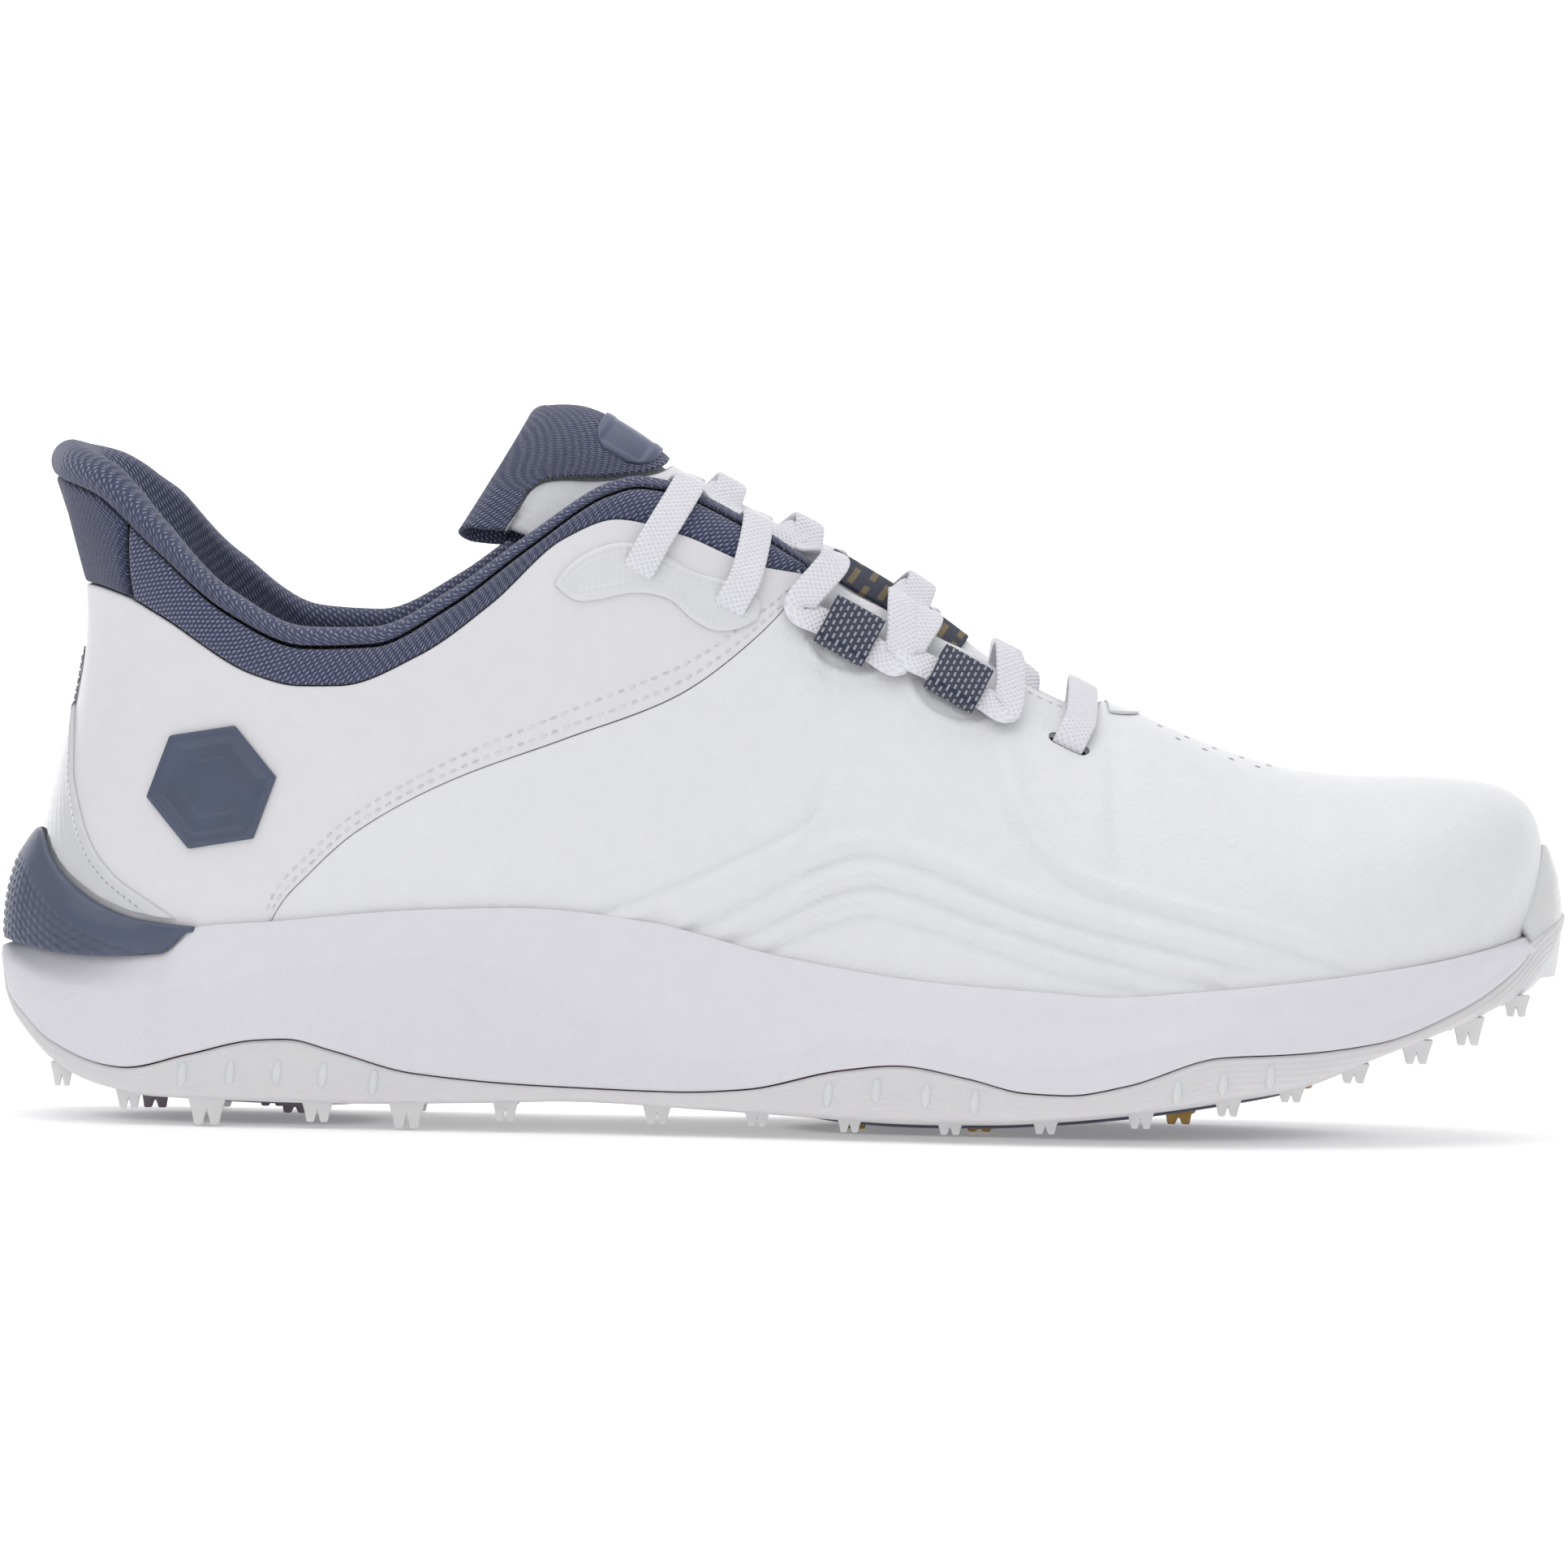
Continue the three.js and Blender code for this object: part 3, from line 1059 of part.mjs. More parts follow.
// Over the bare edge of the throat, at place x, as high as lift above it.
function edgeStop(x, side, lift, inward = 0) {
  const w = side * shareOfTop(x);
  const out = upperNormal(w, 1);
  const edge = onUpper(w, 1);
  const up = edge.clone().sub(onUpper(w, 0.97)).normalize();
  return stop(edge.addScaledVector(out, lift).addScaledVector(up, inward), out);
}
// Through a webbing loop, from its heel end to its toe end.
function loopStops(place, side) {
  const frame = stationFrame(place, side);
  const level = LOOP_LIFT + LOOP.height / 2;
  const reach = LOOP.width / 2 + 5.2;
  const sag = { 0: -0.6, 0.6: -1.3, 1: -1.2 };
  return [-1, -0.6, 0, 0.6, 1].map((f) => stop(at(frame, f * reach, sag[Math.abs(f)], level), frame.out));
}
// On the tongue, lifted above its face.
function tongueStop(x, y, lift) {
  const v = tongueShare(x);
  const q = (y - spineAcross(x)) / tongueHalf(v);
  const point = onTongue(v, q, -lift);
  return stop(point, point.clone().sub(onTongue(v, q, 2)));
}
// Over the tongue's middle at place x, going towards far; run is the lean along the shoe on each side, and
// the upper one of two crossing laces is over.
function crossing(x, far, run, over, strapped) {
  const lift = clearOf + 0.35 + (strapped ? STRAP.thickness + 2 * GAP : 0);
  return [-1, 0, 1].map((i) => {
    const place = (x + i * run) * grade.x;
    const hump = over && i === 0 ? LACE.thickness + 0.6 : 0;
    return tongueStop(place, spineAcross(place) + i * far * CROSSING_SPREAD, lift + hump);
  });
}
const CROSSING_SPREAD = 5.5;

function laceStops() {
  const { lateral: L, medial: M } = SIDES;
  const scaled = (x) => x * grade.x;
  const deepRoll = ROLL_TAPER + 1.6;
  const thin = LEATHER + PUFF + LINING + 2 * GAP;
  // From the toe bar to the last slot on the same side, by way of both loops on alternate sides.
  const climb = (start, over) => {
    const far = -start;
    const inside = slotStops(STATION.toe_slot, start, thin, 5).slice(0, 4).reverse();
    return [
      ...inside,
      edgeStop(scaled(199), start, -(thin + clearOf + 0.9), 0.6),
      ...crossing(193.5, far, -2.5, over, false),
      edgeStop(scaled(190), far, 4.2, 1),
      ...loopStops(STATION.front_loop, far).reverse(),
      edgeStop(scaled(175), far, 3.6),
      ...crossing(173, start, -1.2, !over, true),
      edgeStop(scaled(170), start, 3.8),
      ...loopStops(STATION.rear_loop, start).reverse(),
      edgeStop(scaled(156), start, 5.6),
      ...crossing(152, far, -2, over, false),
      tongueStop(scaled(147), spineAcross(150) + far * 10, clearOf + 0.5),
      ...slotStops(STATION.second_slot, far, deepRoll, 10),
      ...rollStops(scaled(143), far),
      ...crossing(137, start, -1.5, !over, false),
      ...rollStops(scaled(130), start).reverse(),
      ...slotStops(STATION.top_slot, start, deepRoll, 6).slice(3).reverse(),
      ...tailStops(STATION.top_slot, start, deepRoll),
    ];
  };
  const bar = (side) => slotStops(STATION.toe_slot, side, thin, 5).slice(4);
  const over = stop(vec(scaled(206.5), spineAcross(scaled(206)), spineLine(scaled(211)) + 3.6 * grade.z),
    vec(0.5, 0, 1));
  return [
    ...climb(L, true).reverse(),
    ...bar(L),
    over,
    ...bar(M).reverse(),
    ...climb(M, false),
  ];
}
function tailStops(place, side, inner) {
  const frame = stationFrame(place, side);
  const deep = inner + clearOf + 0.7;
  return [
    stop(at(frame, 0, -1, -deep * 0.84), frame.out.clone().sub(frame.up)),
    stop(at(frame, 0.5, -4.5, -deep - 0.5), frame.out),
    stop(at(frame, 2, -12, -deep - 2.6), frame.out),
    stop(at(frame, 3, -20, -deep - 6), frame.out),
  ];
}

function addLace() {
  const stops = laceStops();
  const path = new THREE.CatmullRomCurve3(stops.map(({ point }) => point), false, "centripetal");
  const perStop = 3;
  const count = (stops.length - 1) * perStop;
  let before = null;
  let face = stops[0].face.clone();
  const faces = stops.map((s) => {
    if (face.dot(s.face) < 0) s.face.negate();
    face = s.face;
    return s.face;
  });
  const columns = [];
  for (let i = 0; i <= count; i++) {
    const share = i / count;
    const k = Math.min(stops.length - 2, Math.floor(share * (stops.length - 1)));
    const local = share * (stops.length - 1) - k;
    const point = path.getPoint(share);
    if (before && before.distanceTo(point) < 1.4 && i < count) continue;
    before = point;
    const run = path.getTangent(share);
    const flat = faces[k].clone().lerp(faces[k + 1], local).projectOnPlane(run).normalize();
    const across = run.clone().cross(flat).multiplyScalar(LACE.width / 2);
    const lift = flat.clone().multiplyScalar(LACE.thickness / 2);
    const corner = (a, b) => point.clone().addScaledVector(across, a).addScaledVector(lift, b);
    columns.push({ outer: [corner(-1, 1), corner(1, 1)], inner: [corner(-1, -1), corner(1, -1)] });
  }
  add("lace", slab(columns), "lace");
  for (const [name, end, next] of [["lateral", 0, 1], ["medial", stops.length - 1, stops.length - 2]]) {
    const tip = stops[end].point;
    const along = tip.clone().sub(stops[next].point).normalize();
    const aglet = new THREE.CylinderGeometry(AGLET.radius, AGLET.radius, AGLET.length, 8);
    aglet.applyQuaternion(new THREE.Quaternion().setFromUnitVectors(vec(0, 1, 0), along));
    aglet.translate(...tip.clone().addScaledVector(along, AGLET.length / 2 + GAP).toArray());
    add(`aglet_${name}`, aglet, "film");
  }
  return path.getLength();
}

const root = new THREE.Group();
root.add(shoe);

addVamp();
addQuarters();
addCollarBand();
addReinforcements();
addCollar();
addOverlays();
addHeelCounter();
addOutsole();
addTractionLugs();
addMidsole();
addInsole();
addTongue();
addLaceLoops();
addLace();

// The frame's origin is the middle of the shoe's own box, on the ground.
const whole = new THREE.Box3().setFromObject(shoe);
shoe.position.set(-(whole.min.x + whole.max.x) / 2, -(whole.min.y + whole.max.y) / 2, -whole.min.z);

export default root;
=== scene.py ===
"""A white golf shoe with a blue knitted collar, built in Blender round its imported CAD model.

Lengths are millimetres in the pattern's own frame (x from the heel, y from the middle line, z from the
ground) until place() turns them into metres of the model's frame.
"""
import math

import bmesh
import bpy
import numpy as np
from mathutils import Matrix, Vector


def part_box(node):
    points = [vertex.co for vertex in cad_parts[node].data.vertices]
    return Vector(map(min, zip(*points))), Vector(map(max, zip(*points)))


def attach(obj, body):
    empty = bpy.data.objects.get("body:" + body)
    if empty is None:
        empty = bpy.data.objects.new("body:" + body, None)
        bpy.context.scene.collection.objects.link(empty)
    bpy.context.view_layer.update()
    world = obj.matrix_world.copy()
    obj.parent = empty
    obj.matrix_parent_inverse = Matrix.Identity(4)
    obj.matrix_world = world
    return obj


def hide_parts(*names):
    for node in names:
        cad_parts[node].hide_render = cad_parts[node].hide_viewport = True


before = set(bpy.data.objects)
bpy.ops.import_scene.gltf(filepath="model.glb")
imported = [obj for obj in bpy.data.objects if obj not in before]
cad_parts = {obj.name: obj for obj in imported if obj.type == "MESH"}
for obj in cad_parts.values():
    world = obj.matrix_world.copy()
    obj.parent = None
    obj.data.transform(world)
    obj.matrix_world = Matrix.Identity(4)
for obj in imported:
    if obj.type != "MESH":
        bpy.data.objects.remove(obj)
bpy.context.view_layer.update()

LENGTH = 300.0
OUTSOLE_TIP = 299.9  # where the outsole ends in the pattern
MIDSOLE_SIDE = -53.95  # the midsole's widest place on the lateral side
ORIGIN = np.array([
    OUTSOLE_TIP - 1000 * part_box("outsole")[1].x,
    MIDSOLE_SIDE - 1000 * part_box("midsole")[0].y,
    0.0,
])
LATERAL, MEDIAL = -1, 1
FINE = 1.0  # share of the full mesh density


def count(n):
    return max(3, int(round(n * FINE)))


def place(points):
    return (np.asarray(points, float) - ORIGIN) / 1000


# ---------------------------------------------------------------- small mathematics
def vec(x, y, z):
    return np.stack(np.broadcast_arrays(x, y, z), axis=-1).astype(float)


def unit(v):
    return v / np.maximum(np.linalg.norm(v, axis=-1, keepdims=True), 1e-12)


def mix(a, b, share):
    return a + (b - a) * share


def smoothstep(x, low, high):
    s = np.clip((x - low) / (high - low), 0, 1)
    return s * s * (3 - 2 * s)


def halved(past, low, high, steps):
    """Closes in, step by step, on where past(middle) first holds between the arrays low and high."""
    for _ in range(steps):
        middle = (low + high) / 2
        beyond = past(middle)
        high = np.where(beyond, middle, high)
        low = np.where(beyond, low, middle)
    return low, high


def curve(keys):
    """A monotone cubic through keys, level beyond its ends."""
    x, y = np.array(keys, float).T
    chord = np.diff(y) / np.diff(x)
    slope = np.zeros(len(x))
    slope[0], slope[-1] = chord[0], chord[-1]
    before, after = chord[:-1], chord[1:]
    same = before * after > 0
    slope[1:-1][same] = (2 * before * after)[same] / (before + after)[same]

    def value(at):
        at = np.clip(np.asarray(at, float), x[0], x[-1])
        i = np.clip(np.searchsorted(x, at, side="right") - 1, 0, len(x) - 2)
        span = x[i + 1] - x[i]
        s = (at - x[i]) / span
        return (
            y[i] * (1 + 2 * s) * (1 - s) ** 2 + slope[i] * span * s * (1 - s) ** 2
            + y[i + 1] * s * s * (3 - 2 * s) + slope[i + 1] * span * s * s * (s - 1)
        )

    return value


def smooth_line(points, steps, closed=False):
    """A centripetal Catmull-Rom line through points, with that many samples of equal share."""
    p = np.array(points, float)
    if closed:
        p = np.vstack([p[-1], p, p[0], p[1]])
    else:
        p = np.vstack([2 * p[0] - p[1], p, 2 * p[-1] - p[-2]])
    pieces = len(p) - 3
    share = np.linspace(0, pieces, steps, endpoint=not closed)
    k = np.clip(share.astype(int), 0, pieces - 1)
    s = (share - k)[:, None]
    a, b, c, d = p[k], p[k + 1], p[k + 2], p[k + 3]
    gap = [np.maximum(np.linalg.norm(v, axis=1) ** 0.5, 1e-6)[:, None] for v in (b - a, c - b, d - c)]
    start = ((b - a) / gap[0] - (c - a) / (gap[0] + gap[1]) + (c - b) / gap[1]) * gap[1]
    end = ((c - b) / gap[1] - (d - b) / (gap[1] + gap[2]) + (d - c) / gap[2]) * gap[1]
    return b + start * s + (3 * (c - b) - 2 * start - end) * s ** 2 + (2 * (b - c) + start + end) * s ** 3


def resampled(points, steps):
    """The same polyline at equal distances."""
    points = np.asarray(points, float)
    way = np.concatenate([[0], np.cumsum(np.linalg.norm(np.diff(points, axis=0), axis=1))])
    at = np.linspace(0, way[-1], steps)
    return np.stack([np.interp(at, way, points[:, i]) for i in range(points.shape[1])], axis=1)


def distance_to(line, x, z):
    """How far each (x, z) lies from a polyline, and on which side (+ is on the left of its run)."""
    line = np.asarray(line, float)
    best = np.full(x.shape, 1e9)
    side = np.ones(x.shape)
    for (ax, az), (bx, bz) in zip(line[:-1], line[1:]):
        run = np.array([bx - ax, bz - az])
        s = np.clip(((x - ax) * run[0] + (z - az) * run[1]) / max(run @ run, 1e-9), 0, 1)
        dx, dz = x - ax - s * run[0], z - az - s * run[1]
        gap = np.hypot(dx, dz)
        near = gap < best
        best = np.where(near, gap, best)
        side = np.where(near, np.sign(run[0] * dz - run[1] * dx), side)
    return best, side


# ---------------------------------------------------------------- the pattern's curves
def along(start, end, share):
    return mix(start, end, (1 - np.cos(np.pi * np.asarray(share, float))) / 2)


def share_of(start, end, x):
    return np.arccos(np.clip(1 - 2 * (np.asarray(x, float) - start) / (end - start), -1, 1)) / np.pi


def rounded(start, end, keys):
    return curve([(float(share_of(start, end, x)), v) for x, v in keys])


lateral_sole = rounded(0, LENGTH, [
    (0, 0), (4, -17), (12, -27), (25, -34), (45, -38), (75, -39), (110, -40), (145, -45), (175, -51.5),
    (200, -54), (225, -53), (250, -46.5), (270, -37), (285, -26), (295, -11), (300, 5),
])
medial_sole = rounded(0, LENGTH, [
    (0, 0), (4, 17), (12, 26), (25, 32.5), (45, 35), (75, 32), (110, 29.5), (145, 33), (175, 42.5),
    (200, 49), (222, 52), (245, 50), (265, 45), (282, 36), (293, 24.5), (300, 5),
])
parting_line = curve([
    (0, 31), (1.8, 23.6), (5, 19.8), (10.4, 15), (21, 10.8), (25, 10.4), (37, 13.2), (50, 16.2), (56, 16.5),
    (65, 14.4), (80, 10.5), (104, 8.6), (130, 8), (143, 8.8), (161, 12.9), (172, 14.1), (185, 12), (196, 9.5),
    (204, 9.2), (215, 11.1), (233, 16.7), (247, 17.4), (263, 19.4), (279, 25.6), (290, 33), (295, 38.6),
    (300, 42.5),
])
tread_line = curve([
    (0, 29.5), (1.2, 23.5), (3, 18.9), (6.7, 14.4), (11, 10.6), (16.7, 7.7), (23, 6.1), (30, 5.1), (65, 4.6),
    (92, 5.2), (110, 5.8), (139, 4.7), (175, 3.7), (190, 3.9), (202, 4.6), (215, 5.9), (236, 9), (248, 11),
    (267, 17.9), (288, 25.9), (293, 28.3), (297, 33), (299.2, 39), (300, 42),
])
bite_line = curve([
    (0, 34), (20, 31.4), (31, 32), (38, 37.2), (52, 38.6), (80, 41.2), (100, 41.8), (122, 39.8), (149, 33.7),
    (177, 29.7), (202, 28), (210, 27.5), (226, 28.7), (261, 32.7), (289, 38.5), (295, 41.5),
])
crown = curve([(20, 0), (60, 0.8), (130, 0.8), (180, 2.4), (230, 2.4), (285, 0.6)])
# The lower edge of the midsole's smooth upper band.
scoop_line = curve([
    (0, 31), (1.2, 30.4), (10.7, 26.6), (23.1, 25.7), (37.1, 27.2), (51.1, 30.4), (66.6, 32.8), (82.2, 33.7),
    (93.1, 32.7), (105.7, 28.2), (116.7, 22.2), (124.5, 17.7), (132.4, 15.5), (140.1, 15.4), (151, 17.5),
    (165, 19.9), (171.2, 20.3), (179, 19.4), (186.9, 16.9), (196.2, 15.3), (204, 15.5), (213.3, 17.6),
    (224.2, 20.2), (242.9, 21.3), (255.3, 21.8), (267.7, 25.1), (280.1, 29.7), (292.4, 37.7),
])

HEEL, TOE = 7.0, 293.0  # ends of the feather line, where the upper meets the board


def feather_curve(keys):
    return rounded(HEEL, TOE, keys)


lateral_feather = feather_curve([
    (7, 0), (10, -12), (17, -21.5), (28, -28), (45, -32), (75, -33.5), (110, -34.5), (145, -39), (175, -44.5),
    (200, -47.5), (225, -46.5), (250, -40.5), (268, -32), (282, -20.5), (290, -8.5), (293, 5),
])
medial_feather = feather_curve([
    (7, 0), (10, 12), (17, 21), (28, 27), (45, 30), (75, 28), (110, 25.5), (145, 28.5), (175, 36.5),
    (200, 42.5), (222, 45), (245, 43.5), (263, 38.5), (278, 30.5), (288, 20), (293, 5),
])
floor_line = curve([
    (7, 28), (40, 25.5), (80, 25), (120, 22.5), (160, 18.5), (200, 16.5), (230, 18.5), (260, 23.5),
    (280, 28.5),
    (293, 34),
])
# The top of each column of the upper: column, then place along the shoe, distance from the spine, height.
TOPLINE = [
    (7, 8.9, 0, 122.2), (12, 10.8, 11, 121.3), (22, 17.5, 20, 118.6), (36, 29.5, 26, 108), (50, 43, 30, 96.8),
    (65, 58, 33.5, 90.8), (78, 71, 34.5, 91.4), (92, 86, 33.5, 99.4), (105, 100.5, 30.5, 110.6),
    (116, 115, 26, 120.6), (122, 121, 23.6, 122.2), (128, 127.5, 21.6, 121.4), (135, 135.5, 19.8, 118),
    (145, 146, 18.4, 112.2), (157, 157.5, 17.2, 104.9), (170, 170.5, 16.2, 98.6), (183, 183.5, 15, 92),
    (194, 194.5, 13.2, 86.2), (201, 201.3, 10.8, 82.8), (206, 205.8, 7.8, 81.2), (210, 208.8, 4.2, 81.4),
    (213, 210.3, 0, 82.4),
]
SPINE_START = float(share_of(HEEL, TOE, 213))
top_along = feather_curve(
    [(x, p) for x, p, _, _ in TOPLINE] + [(224, 221.5), (240, 238), (270, 261), (285, 267.5), (293, 269)]
)
top_across = feather_curve([(x, a) for x, _, a, _ in TOPLINE])
top_height = feather_curve([(x, z) for x, _, _, z in TOPLINE])
medial_rise = feather_curve([
    (7, 0), (12, 0.4), (22, 2), (30, 4.6), (38, 6.6), (50, 6), (58, 4.4), (68, 2.6), (92, 1.5), (105, 1.5),
    (129, 0),
])
spine_line = curve([(210, 82.4), (216, 80.6), (223, 77.6), (236, 72.7), (248, 69.8), (260, 68.8),
                    (269, 68.9)])
spine_across = curve([(133, 0), (200, 3), (269, 5)])
low_handle = feather_curve([
    (7, 34), (36, 34), (65, 25), (92, 27), (116, 32), (136, 36), (160, 34), (200, 28), (240, 27), (270, 28),
    (293, 31),
])
high_handle = feather_curve([
    (7, 38), (22, 34), (36, 28), (65, 22), (92, 24), (116, 24), (130, 20), (150, 18), (190, 18), (213, 22),
    (240, 27),
    (270, 27), (293, 26),
])
low_lean = feather_curve([
    (7, 8), (36, 10), (92, 6), (136, 2), (160, 3), (200, 10), (240, 13), (270, 13), (293, 11),
])
high_lean = feather_curve([
    (7, -30), (16, -24), (30, -12), (50, 2), (65, 8), (92, 14), (105, 20), (116, 28), (128, 38), (145, 46),
    (165, 52), (185, 58), (200, 70), (208, 82), (213, 90), (293, 90),
])


# ---------------------------------------------------------------- the upper's surface
def wrap(w):
    return np.where(w > 1, w - 2, np.where(w < -1, w + 2, w))


def feather(w):
    """The foot of column w: -1..0 is the lateral side from toe to heel, 0..1 the medial side back again."""
    u = np.abs(w)
    x = along(HEEL, TOE, u)
    return vec(x, np.where(w < 0, lateral_feather(u), medial_feather(u)), floor_line(x))


def spine_slope(x):
    return (spine_line(x + 1) - spine_line(x - 1)) / 2


def column_top(w):
    u = np.abs(w)
    x = top_along(u)
    side = np.where(w < 0, -1.0, 1.0)
    throat = vec(x, spine_across(x) + side * top_across(u),
                 top_height(u) + np.where(side > 0, medial_rise(u), 0))
    spine = vec(x, spine_across(x), spine_line(x))
    return np.where((u >= SPINE_START)[..., None], spine, throat)


def on_upper(w, t):
    """A point on the outside of the upper: t is 0 at the feather and 1 at the top of column w."""
    w, t = np.broadcast_arrays(np.asarray(w, float), np.asarray(t, float))
    u = np.abs(w)
    low, high = feather(w), column_top(w)
    run = feather(wrap(w + 0.01)) - feather(wrap(w - 0.01))
    inward = unit(vec(run[..., 1], -run[..., 0], 0))
    up = np.array([0, 0, 1.0])
    first_lean, last_lean = np.radians(low_lean(u))[..., None], np.radians(high_lean(u))[..., None]
    handle, last = low_handle(u)[..., None], high_handle(u)[..., None]
    first = low - inward * np.sin(first_lean) * handle + up * np.cos(first_lean) * handle
    second = high - inward * np.sin(last_lean) * last - up * np.cos(last_lean) * last
    tilt = np.where(u >= SPINE_START, spine_slope(high[..., 0]) * (second[..., 0] - high[..., 0]), 0)
    second[..., 2] += tilt
    t, s = t[..., None], 1 - t[..., None]
    return low * s ** 3 + first * 3 * s * s * t + second * 3 * s * t * t + high * t ** 3


def upper_normal(w, t):
    w, t = np.broadcast_arrays(np.asarray(w, float), np.asarray(t, float))
    step = 0.004
    run = on_upper(wrap(w + step), t) - on_upper(wrap(w - step), t)
    rise = on_upper(w, np.minimum(1, t + step)) - on_upper(w, np.maximum(0, t - step))
    normal = unit(np.cross(rise, run))
    slope = spine_slope(top_along(np.abs(w)))
    spine = unit(vec(-slope, 0 * slope, 1))
    return np.where(((t > 0.9999) & (np.abs(w) >= SPINE_START))[..., None], spine, normal)


def below(w, t, depth):
    return on_upper(w, t) - upper_normal(w, t) * np.asarray(depth, float)[..., None]


def crossing_share(w, line, default=1.0):
    """For each column, the share at which it first passes above a line given over the length."""
    t = np.linspace(0.02, 1, 240)
    p = on_upper(w[:, None], t[None, :])
    over = p[..., 2] - line(p[..., 0])
    out = np.full(len(w), default)
    for i, row in enumerate(over):
        above = np.nonzero(row > 0)[0]
        if len(above) and above[0] == 0:
            out[i] = t[0]
        elif len(above):
            k = above[0]
            out[i] = mix(t[k - 1], t[k], -row[k - 1] / (row[k] - row[k - 1]))
    return out


def share_at_height(w, z):
    """The share up column w (an array) where the upper is at height z."""
    return halved(lambda t: on_upper(w, t)[..., 2] > z, np.zeros(np.shape(w)), np.ones(np.shape(w)), 22)[0]


def share_at_line(w, line):
    t = np.full(np.shape(w), 0.3)
    for _ in range(8):
        t = share_at_height(w, line(on_upper(w, t)[..., 0]))
    return t


def locate(x, z, side):
    """Columns and shares of places on one side of the upper, seen from the side."""
    x, z = np.asarray(x, float), np.asarray(z, float)
    w = side * share_of(HEEL, TOE, x)
    t = np.full(x.shape, 0.7)
    h = 1e-3
    for _ in range(40):
        here = on_upper(w, t)
        dw = (on_upper(w + h, t) - here) / h
        dt = (on_upper(w, t + h) - here) / h
        ex, ez = x - here[..., 0], z - here[..., 2]
        det = dw[..., 0] * dt[..., 2] - dt[..., 0] * dw[..., 2]
        det = np.where(np.abs(det) < 1e-6, 1e-6, det)
        w = w + np.clip((ex * dt[..., 2] - dt[..., 0] * ez) / det, -0.05, 0.05)
        t = np.clip(t + np.clip((dw[..., 0] * ez - ex * dw[..., 2]) / det, -0.1, 0.1), 0.02, 0.995)
    return w, t


# Panel lines over the length, seen from the side.
quarter_seam = curve([
    (50, 20), (52.5, 38.5), (60, 48.3), (69.3, 56.7), (86.3, 66.2), (108, 74.5), (128, 82.4), (142, 92.6),
    (152.6, 104.6), (158, 118), (160, 140),
])
band_line = curve([
    (0, 101), (15.3, 101.8), (22, 100.3), (30, 96.3), (48.6, 85.5), (57, 83.7), (65, 83.9), (80, 90),
    (93.5, 100),
    (107, 112.5), (117, 116.3), (129, 113.6), (143, 108), (154, 106), (164, 104),
])


# ---------------------------------------------------------------- meshes
def make_object(name, verts, faces, uvs=None, body="shoe", material=None, replaces=(),
                values=None):
    """A piece from places in the pattern frame; uvs and values hold one entry for each vertex."""
    mesh = bpy.data.meshes.new(name)
    mesh.from_pydata(place(verts).tolist(), [], faces)
    mesh.update()
    for polygon in mesh.polygons:
        polygon.use_smooth = True
    if uvs is not None:
        layer = mesh.uv_layers.new(name="surface")
        corner = np.zeros(len(mesh.loops), int)
        mesh.loops.foreach_get("vertex_index", corner)
        layer.data.foreach_set("uv", np.asarray(uvs, float)[corner].ravel())
    for key, row in (values or {}).items():
        attribute = mesh.attributes.new(key, "FLOAT", "POINT")
        attribute.data.foreach_set("value", np.asarray(row, np.float32))
    ob = bpy.data.objects.new(name, mesh)
    bpy.context.scene.collection.objects.link(ob)
    if material:
        mesh.materials.append(material)
    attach(ob, body)
    if replaces:
        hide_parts(*replaces)
    return ob


def grid_faces(m, n, offset=0, loop=False, flip=False):
    """Quads of an m x n grid of vertices, row by row of n."""
    i = np.arange(m if loop else m - 1)
    j = np.arange(n - 1)
    a = (i[:, None] * n + j[None, :]).ravel()
    b = (((i[:, None] + 1) % m) * n + j[None, :]).ravel()
    quads = np.stack([a, b, b + 1, a + 1], axis=1) + offset
    return (quads[:, ::-1] if flip else quads).tolist()


def weld(ob, gap=0.00002):
    """Joins the vertices that lie on each other, and drops faces with no area."""
    bm = bmesh.new()
    bm.from_mesh(ob.data)
    bmesh.ops.remove_doubles(bm, verts=bm.verts, dist=gap)
    bmesh.ops.dissolve_degenerate(bm, edges=bm.edges, dist=gap / 4)
    bm.to_mesh(ob.data)
    bm.free()
    for polygon in ob.data.polygons:
        polygon.use_smooth = True
    return ob


def sheet_solid(outer, inner, loop=False, far_rim=None):
    """Vertices and quads of a closed solid between two equal grids; far_rim marks columns with a far rim."""
    m, n = outer.shape[:2]
    verts = np.concatenate([outer.reshape(-1, 3), inner.reshape(-1, 3)])
    base = m * n
    faces = grid_faces(m, n, loop=loop) + grid_faces(m, n, base, loop, flip=True)
    i = np.arange(m if loop else m - 1)
    nxt = (i + 1) % m
    for j, flip in ((0, False), (n - 1, True)):
        a, b = i * n + j, nxt * n + j
        rim = np.stack([a, a + base, b + base, b], axis=1)
        if flip and far_rim is not None:
            rim = rim[far_rim[i] | far_rim[nxt]]
        faces += (rim[:, ::-1] if flip else rim).tolist()
    if not loop:
        j = np.arange(n - 1)
        for k, flip in ((0, True), (m - 1, False)):
            a, b = k * n + j, k * n + j + 1
            rim = np.stack([a, a + base, b + base, b], axis=1)
            faces += (rim[:, ::-1] if flip else rim).tolist()
    return verts, faces


def round_drop(distance, radius):
    """How far a rounded edge lies under its surface at a distance from the border."""
    s = np.clip(1 - distance / radius, 0, 1)
    return radius * (1 - np.sqrt(np.maximum(0, 1 - s * s)))


def lengths_along(grid, axis):
    step = np.linalg.norm(np.diff(grid, axis=axis), axis=-1)
    pad = [(0, 0), (0, 0)]
    pad[axis] = (1, 0)
    return np.pad(np.cumsum(step, axis=axis), pad)


